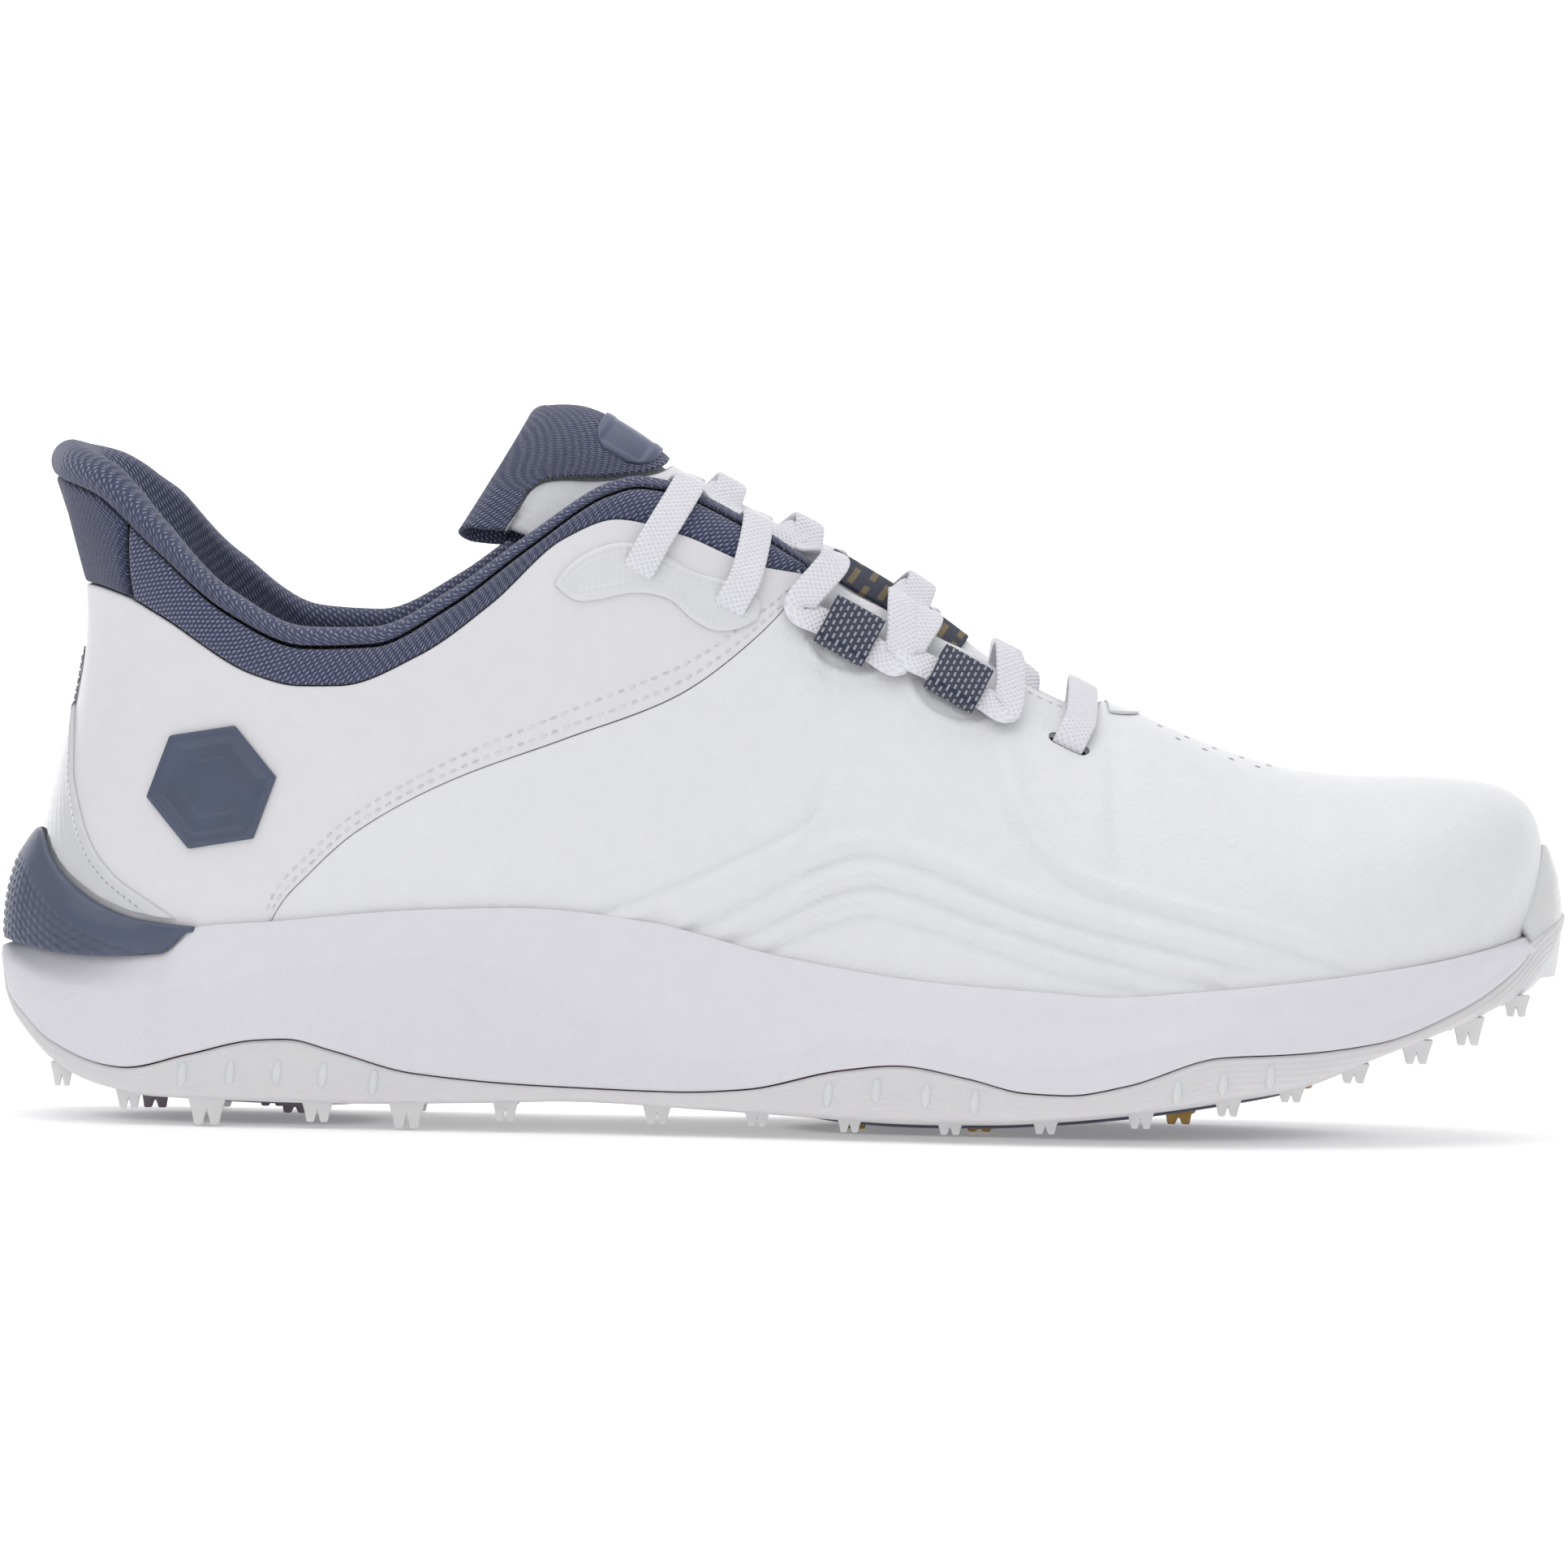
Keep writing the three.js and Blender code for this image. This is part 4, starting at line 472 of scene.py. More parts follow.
# ---------------------------------------------------------------- materials
def srgb(*rgb):
    return tuple((v / 255 / 12.92) if v <= 10 else ((v / 255 + 0.055) / 1.055) ** 2.4 for v in rgb) + (1.0,)


class Nodes:
    """A small hand for building one material's node tree."""

    def __init__(self, name, color, roughness, **sockets):
        self.material = bpy.data.materials.new(name)
        self.material.use_nodes = True
        self.tree = self.material.node_tree
        self.shader = self.tree.nodes["Principled BSDF"]
        self.shader.inputs["Base Color"].default_value = color
        self.shader.inputs["Roughness"].default_value = roughness
        for key, value in sockets.items():
            self.shader.inputs[key.replace("_", " ")].default_value = value
        self.height = None
        self.coords = None

    def node(self, kind, **values):
        made = self.tree.nodes.new(kind)
        for key, value in values.items():
            setattr(made, key, value)
        return made

    def link(self, a, b):
        self.tree.links.new(a, b)

    def where(self):
        """The place in the object's own frame, in metres."""
        if self.coords is None:
            self.coords = self.node("ShaderNodeTexCoord")
        return self.coords.outputs["Object"]

    def surface(self):
        """The flat layout of the surface, in centimetres."""
        return self.node("ShaderNodeUVMap", uv_map="surface").outputs["UV"]

    def value(self, name):
        return self.node("ShaderNodeAttribute", attribute_name=name).outputs["Fac"]

    def fed(self, made, source, output, **sockets):
        """Feeds a node's Vector from source, sets its other sockets, and gives one of its outputs."""
        for key, value in sockets.items():
            made.inputs[key.replace("_", " ")].default_value = value
        self.link(source, made.inputs["Vector"])
        return made.outputs[output]

    def mapped(self, source, scale=(1, 1, 1), turn=0.0):
        return self.fed(self.node("ShaderNodeMapping"), source, "Vector", Scale=scale, Rotation=(0, 0, turn))

    def noise(self, source, scale, detail=3.0, rough=0.5):
        made = self.node("ShaderNodeTexNoise")
        return self.fed(made, source, "Fac", Scale=scale, Detail=detail, Roughness=rough)

    def cells(self, source, scale):
        return self.fed(self.node("ShaderNodeTexVoronoi"), source, "Distance", Scale=scale)

    def waves(self, source, scale, direction="X", distortion=0.0):
        made = self.node("ShaderNodeTexWave", bands_direction=direction)
        return self.fed(made, source, "Fac", Scale=scale, Distortion=distortion)

    def math(self, operation, a, b=None, clamp=False):
        made = self.node("ShaderNodeMath", operation=operation, use_clamp=clamp)
        for socket, given in zip(made.inputs, (a, b)):
            if given is None:
                continue
            if isinstance(given, (int, float)):
                socket.default_value = given
            else:
                self.link(given, socket)
        return made.outputs[0]

    def ramp(self, source, *stops, smooth=True):
        made = self.node("ShaderNodeValToRGB")
        made.color_ramp.interpolation = "EASE" if smooth else "LINEAR"
        elements = made.color_ramp.elements
        while len(elements) < len(stops):
            elements.new(0.5)
        for element, (at, color) in zip(elements, stops):
            element.position = at
            element.color = color if hasattr(color, "__len__") else (color, color, color, 1)
        self.link(source, made.inputs["Fac"])
        return made.outputs["Color"]

    def clouds(self, color, scale, detail, low, high):
        """Clouds of slightly darker and lighter tone; low and high pair a place on the ramp with a factor."""
        stops = [(at, shade(color, factor)) for at, factor in (low, high)]
        self.color(self.ramp(self.noise(self.where(), scale, detail), *stops))

    def color(self, source):
        self.link(source, self.shader.inputs["Base Color"])

    def roughness(self, source, low, high):
        made = self.node("ShaderNodeMapRange")
        made.inputs["To Min"].default_value = low
        made.inputs["To Max"].default_value = high
        self.link(source, made.inputs["Value"])
        self.link(made.outputs["Result"], self.shader.inputs["Roughness"])

    def bump(self, source, depth_mm, strength=1.0):
        made = self.node("ShaderNodeBump")
        made.inputs["Strength"].default_value = strength
        made.inputs["Distance"].default_value = depth_mm / 1000
        self.link(source, made.inputs["Height"])
        if self.height is not None:
            self.link(self.height, made.inputs["Normal"])
        self.height = made.outputs["Normal"]
        self.link(self.height, self.shader.inputs["Normal"])


def shade(color, factor):
    return tuple(c * factor for c in color[:3]) + (1.0,)


def leather_material(name, color, grain, pebble, roughness=0.5):
    """Coated leather: fine creases, a pebbled grain, and slightly uneven whiteness."""
    n = Nodes(name, color, roughness, Specular_IOR_Level=0.45, Coat_Weight=0.06, Coat_Roughness=0.35)
    n.clouds(color, 240, 4, (0.25, 0.985), (0.8, 1.01))
    n.roughness(n.noise(n.where(), 160, 3), roughness - 0.07, roughness + 0.1)
    n.bump(n.noise(n.where(), 900, 3), 0.05 * grain)
    if pebble:
        n.bump(n.ramp(n.cells(n.where(), 780), (0.0, 1.0), (0.62, 0.0)), 0.075 * pebble)
        n.bump(n.noise(n.where(), 260, 3), 0.09 * pebble)
    return n.material


def film_material(name, color):
    """A smooth welded film with faint contour lines that follow its surface."""
    n = Nodes(name, color, 0.3, Specular_IOR_Level=0.5, Coat_Weight=0.25, Coat_Roughness=0.18)
    n.clouds(color, 200, 3, (0.25, 0.985), (0.8, 1.01))
    n.roughness(n.noise(n.where(), 220, 2), 0.24, 0.38)
    n.bump(n.waves(n.surface(), 2.6, "X", 0.0), 0.05)
    n.bump(n.noise(n.where(), 1100, 2), 0.015)
    return n.material


def knit_material(name, dark, light, row=0.75, speckle=0.62):
    """A melange knit: slanting rows of small stitches, with pale threads among the dark ones."""
    n = Nodes(name, dark, 0.9, Specular_IOR_Level=0.2, Sheen_Weight=0.35, Sheen_Roughness=0.5)
    turned = n.mapped(n.surface(), (1, 1, 1), math.radians(28))
    rows = n.waves(turned, 3.14 / row, "Y")
    stitches = n.waves(n.mapped(n.surface(), (1, 1, 1), math.radians(-32)), 3.6 / row, "X")
    weave = n.math("MULTIPLY", rows, stitches)
    flecks = n.noise(n.mapped(turned, (26, 46, 1)), 1.0, 2, 0.6)
    threads = n.math("ADD", n.math("MULTIPLY", weave, 0.42), n.math("MULTIPLY", flecks, 0.72))
    n.color(n.ramp(threads, (speckle - 0.22, dark), (speckle, mixed(dark, light, 0.42)),
                   (speckle + 0.2, light)))
    n.roughness(weave, 0.95, 0.8)
    n.bump(weave, 0.3)
    n.bump(n.noise(n.where(), 1500, 2), 0.06)
    return n.material


def mixed(a, b, share):
    return tuple(x + (y - x) * share for x, y in zip(a[:3], b[:3])) + (1.0,)


def cloth_material(name, color, pitch_mm=0.9, roughness=0.85, fleck=0.06):
    """A plain woven textile."""
    n = Nodes(name, color, roughness, Specular_IOR_Level=0.25, Sheen_Weight=0.25, Sheen_Roughness=0.5)
    scale = 3.14 * 1000 / pitch_mm / 10
    warp = n.waves(n.where(), scale, "X")
    weft = n.waves(n.where(), scale, "Y")
    weave = n.math("MULTIPLY", warp, weft)
    n.clouds(color, 420, 3, (0.3, 1 - fleck), (0.7, 1 + fleck))
    n.roughness(weave, roughness + 0.08, roughness - 0.1)
    n.bump(weave, 0.18)
    return n.material


RIB_PITCH = 0.75


def foam_material(name, color, grain=0.08, roughness=0.75, ribs=False):
    """Moulded foam: a soft skin with a fine grain, and slanting ribs where the value "rib" asks for them."""
    n = Nodes(name, color, roughness, Specular_IOR_Level=0.35, Sheen_Weight=0.1, Sheen_Roughness=0.6)
    n.clouds(color, 260, 4, (0.25, 0.985), (0.8, 1.01))
    n.roughness(n.noise(n.where(), 240, 2), roughness - 0.1, roughness + 0.08)
    if ribs:
        turned = n.mapped(n.surface(), (1, 1, 1), math.radians(-24))
        wave = n.waves(turned, 3.14 / RIB_PITCH, "X")
        n.bump(n.math("MULTIPLY", wave, n.value("rib")), 0.07)
    n.bump(n.noise(n.where(), 1400, 3), grain)
    return n.material


def rubber_material(name, color, roughness=0.45, lines=True):
    """Smooth rubber, slightly see-through at thin edges, with shallow wavy lines that follow its edge."""
    n = Nodes(
        name, color, roughness, Specular_IOR_Level=0.5, Subsurface_Weight=0.12, Subsurface_Scale=0.004,
        Coat_Weight=0.08, Coat_Roughness=0.3,
    )
    n.clouds(color, 180, 3, (0.25, 0.98), (0.8, 1.01))
    n.roughness(n.noise(n.where(), 200, 3), roughness - 0.08, roughness + 0.12)
    if lines:
        n.bump(n.waves(n.surface(), 3.14 / 1.15, "Y", 0.35), 0.12)
    n.bump(n.noise(n.where(), 1200, 3), 0.03)
    return n.material


def plastic_material(name, color, roughness=0.4, metallic=0.0, grain=0.02):
    n = Nodes(name, color, roughness, Metallic=metallic, Specular_IOR_Level=0.5, Coat_Weight=0.12,
              Coat_Roughness=0.25)
    n.clouds(color, 120, 4, (0.3, 0.93), (0.75, 1.06))
    n.roughness(n.noise(n.where(), 260, 3), roughness - 0.08, roughness + 0.12)
    n.bump(n.noise(n.where(), 1300, 3), grain)
    return n.material


def lace_material(name, color):
    """A flat braid: two sets of slanting threads across the lace's width, with painted shade in the grooves
    between them.
    """
    n = Nodes(name, color, 0.85, Specular_IOR_Level=0.2, Sheen_Weight=0.35, Sheen_Roughness=0.5)
    left = n.waves(n.mapped(n.surface(), (1, 1, 1), math.radians(38)), 3.14 / 0.85, "X")
    right = n.waves(n.mapped(n.surface(), (1, 1, 1), math.radians(-38)), 3.14 / 0.85, "X")
    braid = n.math("MAXIMUM", left, right)
    # The same white, painted darker in the braid's grooves: painted shade.
    n.color(n.ramp(braid, (0.3, shade(color, 0.93)), (0.8, color)))
    n.bump(braid, 0.22)
    return n.material


def webbing_material(name, dark, pale, pitch=0.11, rows=4.0):
    """Dark webbing with rows of short pale dashes along it; the layout runs 0..1 across the band."""
    n = Nodes(name, dark, 0.85, Specular_IOR_Level=0.2, Sheen_Weight=0.3, Sheen_Roughness=0.5)
    brick = n.node("ShaderNodeTexBrick", offset=0.5, offset_frequency=2)
    n.color(n.fed(
        brick, n.surface(), "Color", Color1=pale, Color2=pale, Mortar=dark, Scale=1.0,
        Brick_Width=pitch * 2.4,
        Row_Height=1.0 / rows, Mortar_Size=0.36 / rows, Mortar_Smooth=0.25,
    ))
    n.bump(brick.outputs["Fac"], 0.12)
    n.bump(n.waves(n.surface(), 60, "X"), 0.05)
    return n.material


NAVY = srgb(52, 58, 84)
MATERIALS = {
    "vamp": leather_material("vamp_leather", srgb(233, 233, 235), 1.0, 1.0, 0.52),
    "quarter": leather_material("quarter_leather", srgb(229, 228, 231), 0.8, 0.0, 0.45),
    "film": film_material("film", srgb(214, 214, 217)),
    "clear_film": film_material("clear_film", srgb(225, 225, 228)),
    "knit": knit_material("melange_knit", srgb(60, 64, 96), srgb(178, 182, 200)),
    "heel_knit": knit_material("heel_knit", srgb(58, 60, 92), srgb(150, 155, 180), 0.6, 0.66),
    "lining": knit_material("lining_knit", srgb(70, 74, 104), srgb(170, 174, 192), 0.9, 0.64),
    "inner_cloth": cloth_material("inner_cloth", srgb(196, 198, 206)),
    "sockliner": cloth_material("sockliner_cloth", srgb(92, 98, 124), 1.1),
    "padding": foam_material("padding_foam", srgb(205, 205, 210), 0.25, 0.95),
    "board": cloth_material("board_cloth", srgb(214, 208, 196), 1.3, 0.9),
    "counter": plastic_material("counter_plastic", srgb(80, 87, 110), 0.42, 0.0, 0.03),
    "emblem": plastic_material("emblem_plastic", srgb(76, 84, 106), 0.4, 0.0, 0.05),
    "badge": plastic_material("badge_plastic", srgb(86, 92, 118), 0.4, 0.0, 0.05),
    "midsole": foam_material("midsole_foam", srgb(226, 224, 230), 0.035, 0.62, ribs=True),
    "outsole": rubber_material("outsole_rubber", srgb(222, 220, 221)),
    "nub": rubber_material("lug_rubber", srgb(224, 223, 223), 0.38, lines=False),
    "plate": plastic_material("plate_plastic", srgb(70, 74, 98), 0.45),
    "gold": plastic_material("gold_insert", srgb(186, 150, 78), 0.35, 0.35, 0.02),
    "mauve": plastic_material("mauve_insert", srgb(140, 128, 136), 0.42, 0.0, 0.02),
    "lace": lace_material("lace_braid", srgb(240, 239, 245)),
    "aglet": plastic_material("aglet_plastic", srgb(222, 222, 228), 0.25, 0.0, 0.01),
    "webbing": webbing_material("webbing", NAVY, srgb(200, 204, 222), 0.075, 9.0),
    "strap": webbing_material("strap_webbing", NAVY, srgb(150, 132, 92), 0.3, 3.0),
    "thread": cloth_material("thread", srgb(224, 224, 228), 0.5, 0.8),
    # The grey of this material is painted shade: it stands for the shade inside the toe's vent holes and the
    # heel overlay's stitch holes.
    "hole": plastic_material("hole_painted_shade", srgb(168, 168, 176), 0.8, 0.0, 0.05),
    "tongue_face": leather_material("tongue_leather", srgb(232, 232, 235), 0.9, 0.6, 0.55),
    "foot_edge": foam_material("foot_edge", srgb(150, 142, 152), 0.05, 0.7),
}


# ---------------------------------------------------------------- pieces made from grids
def grid_piece(name, outer, inner, material, replaces=(), body="shoe", uv=None, loop=False,
               far_rim=None,
               values=None, welded=False):
    """A closed piece between two grids of places; far_rim marks the columns that close at the far end."""
    verts, faces = sheet_solid(outer, inner, loop, far_rim)
    if uv is None:
        uv = np.stack([lengths_along(outer, 0), lengths_along(outer, 1)], axis=-1) / 10
    uv = np.tile(uv.reshape(-1, 2), (2, 1))
    rows = {key: np.tile(np.asarray(row, float).reshape(-1), 2) for key, row in (values or {}).items()}
    ob = make_object(name, verts, faces, uv, body, MATERIALS[material], replaces, rows)
    return weld(ob) if welded else ob


def border_drop(grid, radius, sides=(True, True, True, True)):
    """The drop of a rounded edge at a grid's four borders: first and last columns, first and last rows."""
    along_rows, along_columns = lengths_along(grid, 1), lengths_along(grid, 0)
    gaps = [along_columns, along_columns[-1:] - along_columns, along_rows, along_rows[:, -1:] - along_rows]
    drop = np.zeros(grid.shape[:2])
    for gap, wanted in zip(gaps, sides):
        if wanted:
            drop = np.maximum(drop, round_drop(gap, radius))
    return drop


def distances(line):
    """Distance along a line of places, from its start."""
    return np.concatenate([[0], np.cumsum(np.linalg.norm(np.diff(line, axis=0), axis=1))])


def clustered(n, share=0.06):
    """Shares from 0 to 1 that crowd at both ends."""
    near = np.array([0, 0.08, 0.25, 0.55, 1.0]) * share
    return np.concatenate([near, np.linspace(share, 1 - share, n)[1:-1], 1 - near[::-1]])


def surface_piece(name, w, t, lift, thick, radius, material, slot, replaces, relief=None, sides=(True,) * 4,
                  welded=False, far_rim=None, round_mask=None, body="shoe"):
    """A piece laid on the upper at columns w and shares t, its outside at lift and its inside thick below."""
    base, normal = on_upper(w, t), upper_normal(w, t)
    drop = border_drop(base, radius, sides)
    if round_mask is not None:
        drop = drop * round_mask
    offset = lift - drop
    if relief is not None:
        offset = offset + relief(base, w, t)
    outer = base + normal * np.asarray(offset)[..., None]
    inner = base + normal * (lift - thick)
    uv = np.stack([lengths_along(base, 0) * 0 + mean_way(base), lengths_along(base, 1)], axis=-1) / 10
    return grid_piece(name, outer, inner, material, replaces, body, uv, far_rim=far_rim, welded=welded)


def mean_way(grid):
    """Distance along the grid's columns, taken half way up, for an even layout."""
    way = lengths_along(grid, 0)
    return np.broadcast_to(way[:, way.shape[1] // 2][:, None], way.shape)


# ---------------------------------------------------------------- embossed lines of the vamp
EMBOSSED = [
    [(158, 92), (160, 80.6), (159.5, 68.1), (155, 59.4), (145.7, 53.8), (131.8, 47.3), (113, 39.5)],
    [(128, 37.6), (139.7, 43.7), (155.1, 51.7), (166, 54.8), (176.9, 52.1), (195.7, 44.6), (225.5, 37.4),
     (243, 33.5)],
    [(136, 36), (147.5, 41.5), (160, 47.4), (169.2, 48.6), (186.4, 43), (214.6, 34.9), (236, 30.5)],
    [(144, 34.5), (155.3, 40.1), (166, 43.4), (178.7, 40.6), (202.2, 33.2), (220, 29.6)],
    [(189.3, 77), (192.2, 65.4), (197.1, 56.1), (205, 49.3), (214.4, 46.3), (245.7, 38.3), (260, 33.6)],
]


def embossed(base, w, t):
    """Soft ridges with a shallow groove on their lower side."""
    x, z = base[..., 0], base[..., 2]
    out = np.zeros(x.shape)
    for line in EMBOSSED:
        route = smooth_line([(a, 0, b) for a, b in line], 40)[:, [0, 2]]
        gap, side = distance_to(route, x, z)
        signed = gap * side
        ends = np.minimum(smoothstep(x, route[:, 0].min(), route[:, 0].min() + 5), 1)
        ends = ends * (1 - smoothstep(x, route[:, 0].max() - 6, route[:, 0].max()))
        out += ends * (0.75 * np.exp(-((signed - 1.3) / 1.5) ** 2)
                       - 0.85 * np.exp(-((signed + 1.0) / 1.1) ** 2))
    return out * (t < 0.985)


PAD = {"long": 9.5, "high": 6.5, "cos": 0.887, "sin": 0.461}  # half sizes of an oval, and its slant


def station_pads(base, w, t):
    """Raised oval pads under the webbing loops."""
    out = np.zeros(base.shape[:-1])
    for key in ("rear_loop", "front_loop"):
        x, z = STATION[key]
        along_pad = (base[..., 0] - x) * PAD["cos"] - (base[..., 2] - z) * PAD["sin"]
        up_pad = (base[..., 0] - x) * PAD["sin"] + (base[..., 2] - z) * PAD["cos"]
        ring = np.sqrt((along_pad / PAD["long"]) ** 2 + (up_pad / PAD["high"]) ** 2)
        out += 0.35 * np.exp(-((ring - 1) / 0.1) ** 2) - 0.2 * (ring < 0.9)
    return out


# ---------------------------------------------------------------- the upper's panels
STATION = {
    "top_slot": (121, 106.6), "second_slot": (138.4, 99.8), "rear_loop": (160.8, 94.4),
    "front_loop": (181.6, 85.4),
    "toe_slot": (203.6, 74.6),
}
SIDES = {"lateral": LATERAL, "medial": MEDIAL}
SEAM_START = 50.6  # where the vamp begins, at the feather
COLLAR_END = 157
HEEL_TAB_END = 29


def columns_between(start, end, spacing):
    """Feather shares from one place along the shoe to another."""
    n = count((end - start) / spacing)
    return share_of(HEEL, TOE, np.linspace(start, end, n))


def vamp():
    near = columns_between(SEAM_START, 66, 0.5)
    middle = columns_between(66, 286, 0.85)[1:]
    tip = np.linspace(share_of(HEEL, TOE, 286), 1, count(28))[1:]
    u = np.concatenate([near, middle, tip])
    seam = np.where(u < share_of(HEEL, TOE, 170), crossing_share(-u, quarter_seam), 1.0)
    seam_medial = np.where(u < share_of(HEEL, TOE, 170), crossing_share(u, quarter_seam), 1.0)
    w = wrap(np.concatenate([u, (2 - u[:-1])[::-1]]))
    high = np.concatenate([seam_medial, seam[:-1][::-1]])
    on_spine = np.abs(w) >= SPINE_START
    shares = clustered(count(96), 0.03)
    t = high[:, None] * shares[None, :]
    free = 1 - smoothstep(np.abs(w), SPINE_START - 0.012, SPINE_START)
    mask = np.ones(t.shape)
    mask[:, shares > 0.5] = free[:, None]

    def relief(base, columns, t):
        return embossed(base, columns, t) + station_pads(base, columns, t)

    columns = np.broadcast_to(w[:, None], t.shape)
    return surface_piece(
        "vamp_upper", columns, t, 0.0, 1.3, 0.4, "vamp", "leather", ["vamp"], relief,
        welded=True, far_rim=~on_spine, round_mask=mask,
    )


def side_panel(name, side, start, end, low_of, high_of, rows, spacing, **look):
    """A panel between two lines over the columns of one side, from one place along the feather to another."""
    u = columns_between(start, end, spacing)
    w = side * u
    low, high = low_of(w), high_of(w)
    keep = high - low > 0.012
    w, low, high = w[keep], low[keep], high[keep]
    if side < 0:
        w, low, high = w[::-1], low[::-1], high[::-1]
    shares = clustered(count(rows), 0.05)
    t = mix(low[:, None], high[:, None], shares[None, :])
    return surface_piece(name, np.broadcast_to(w[:, None], t.shape), t, **look)


def seam_share(w):
    """Where the vamp's seam crosses each column, 0 behind its foot."""
    return np.where(np.abs(w) < share_of(HEEL, TOE, SEAM_START - 0.1), 0.0, crossing_share(w, quarter_seam))


def band_share(w):
    return crossing_share(w, band_line)


def quarters():
    for name, side in SIDES.items():
        side_panel(
            f"quarter_{name}_leather", side, HEEL, 156, lambda w: seam_share(w) + 0.0015,
            lambda w: band_share(w) - 0.002,
            58, 0.9, lift=0.2, thick=1.5, radius=0.35, material="quarter", slot="leather",
            replaces=[f"quarter_{name}"], relief=None,
        )


def collar_bands():
    def low(w):
        return np.maximum(band_share(w), np.where(np.abs(w) > 0.3, seam_share(w), 0)) + 0.002

    def puff(height):
        def relief(base, w, t):
            span = lengths_along(base, 1)
            share = span / np.maximum(span[:, -1:], 1e-6)
            return height * np.sin(np.pi * np.clip(share, 0, 1)) ** 0.8
        return relief

    for name, side in SIDES.items():
        side_panel(
            f"collar_band_{name}_knit", side, HEEL_TAB_END + 0.6, 156.5, low,
            lambda w: np.full(len(w), 0.998),
            22, 0.8, lift=0.0, thick=1.3, radius=0.8, material="knit", slot="knit",
            replaces=[f"collar_band_{name}"], relief=puff(0.9),
        )
    w = np.linspace(-1, 1, count(90)) * share_of(HEEL, TOE, HEEL_TAB_END - 0.2)
    w = w[::-1]
    low_edge, high_edge = low(w), np.full(len(w), 0.998)
    shares = clustered(count(30), 0.05)
    t = mix(low_edge[:, None], high_edge[:, None], shares[None, :])
    surface_piece(
        "heel_tab_knit", np.broadcast_to(w[:, None], t.shape), t, 0.15, 1.5, 0.8, "heel_knit", "knit",
        ["heel_tab_panel"], puff(1.0),
    )


# ---------------------------------------------------------------- padded collar
COLLAR_ROLL, ROLL_TAPER, LINING, LINING_DEPTH = 8.0, 5.0, 0.8, 4.4
GAP = 0.3
collar_share = float(share_of(HEEL, TOE, COLLAR_END))


def roll_thickness(w):
    return mix(COLLAR_ROLL, ROLL_TAPER, smoothstep(np.abs(w), 0.35 * collar_share, 0.9 * collar_share))


def lining_depth(w, t):
    return mix(LINING_DEPTH, np.maximum(LINING_DEPTH, roll_thickness(w)), smoothstep(t, 0.35, 0.8))


def roll_axis(w):
    w = np.asarray(w, float)
    out = upper_normal(w, np.ones_like(w))
    edge = on_upper(w, np.ones_like(w))
    up = unit(edge - on_upper(w, np.full_like(w, 0.97)))
    radius = roll_thickness(w) / 2
    axis = edge - out * radius[..., None] + up * 2 * GAP
    return axis, out, up, radius


def collar():
    """The knit lining: over the topline in a soft roll, then down the inside to the board."""
    w = np.linspace(collar_share, -collar_share, count(260))
    axis, out, up, radius = roll_axis(w)
    angles = np.linspace(0, np.pi, count(16))
    shares = np.linspace(0.93, 0.01, count(46))
    grids = []
    for inset in (0, LINING):
        swell = 0.5 if inset == 0 else 0.0
        roll = [
            axis + out * (np.cos(a) * (radius - inset + swell * np.sin(a)))[:, None]
            + up * (np.sin(a) * (radius - inset + swell * np.sin(a)))[:, None]
            for a in angles
        ]
        sheet = [below(w, np.full_like(w, t), lining_depth(w, t) - inset) for t in shares]
        grids.append(np.stack(roll + sheet, axis=1))
    ob = grid_piece("collar_lining_knit", grids[0], grids[1], "lining", ["collar_lining"])
    return ob


# ---------------------------------------------------------------- overlays on the upper
counter_top = curve([(-5, 58), (8.6, 54.7), (11, 50), (14, 46.2), (21.3, 41.2), (28, 39), (38, 38),
                     (60, 37.6)])
overlay_edge = curve([
    (30, 44), (37.1, 36.9), (42.3, 29.1), (46.5, 22.8), (51.9, 18.3), (58.8, 15.6), (66.6, 14), (80.6, 13.8),
    (89.5, 14.3),
])  # the heel overlay's front edge: place along the shoe over the height
OVERLAY_FOOT, OVERLAY_TOP = 48.0, 89.5
OVERLAY_REACH = 36  # how far it comes forward at most


def heel_overlay():
    c = np.linspace(1, -1, count(110))[:, None]
    r = clustered(count(70), 0.04)[None, :]
    c, r = np.broadcast_arrays(c, r)
    z = mix(OVERLAY_FOOT, OVERLAY_TOP, r)
    w = c * 0.1
    for _ in range(14):  # the place, the height and the column of each point settle together
        t = share_at_height(w, z)
        x = on_upper(w, t)[..., 0]
        low = counter_top(x) + 0.6
        z = mix(np.minimum(low, OVERLAY_TOP - 1), OVERLAY_TOP, r)
        edge = np.minimum(overlay_edge(z), OVERLAY_REACH)
        w = c * edge_column(edge, z)
    t = share_at_height(w, z)

    def relief(base, w, t):
        border = (1 - np.abs(c)) * 18
        lip = 0.35 * np.exp(-((border - 1.0) / 0.6) ** 2)
        level = np.abs(np.sin(base[..., 2] * np.pi / 2.3 + 0.9 * np.sin(base[..., 0] / 5)))
        contour = 0.1 * smoothstep(border, 3.5, 5.5) * level ** 6
        return lip + contour

    return surface_piece("heel_overlay_film", w, t, 0.9, 0.75, 0.3, "film", "film", ["heel_overlay"], relief)


def edge_column(x, z):
    """The column of the medial side that passes through place x at height z."""
    low, high = halved(
        lambda w: on_upper(w, share_at_height(w, z))[..., 0] > x, np.zeros(x.shape), np.full(x.shape, 0.45),
        18,
    )
    return (low + high) / 2


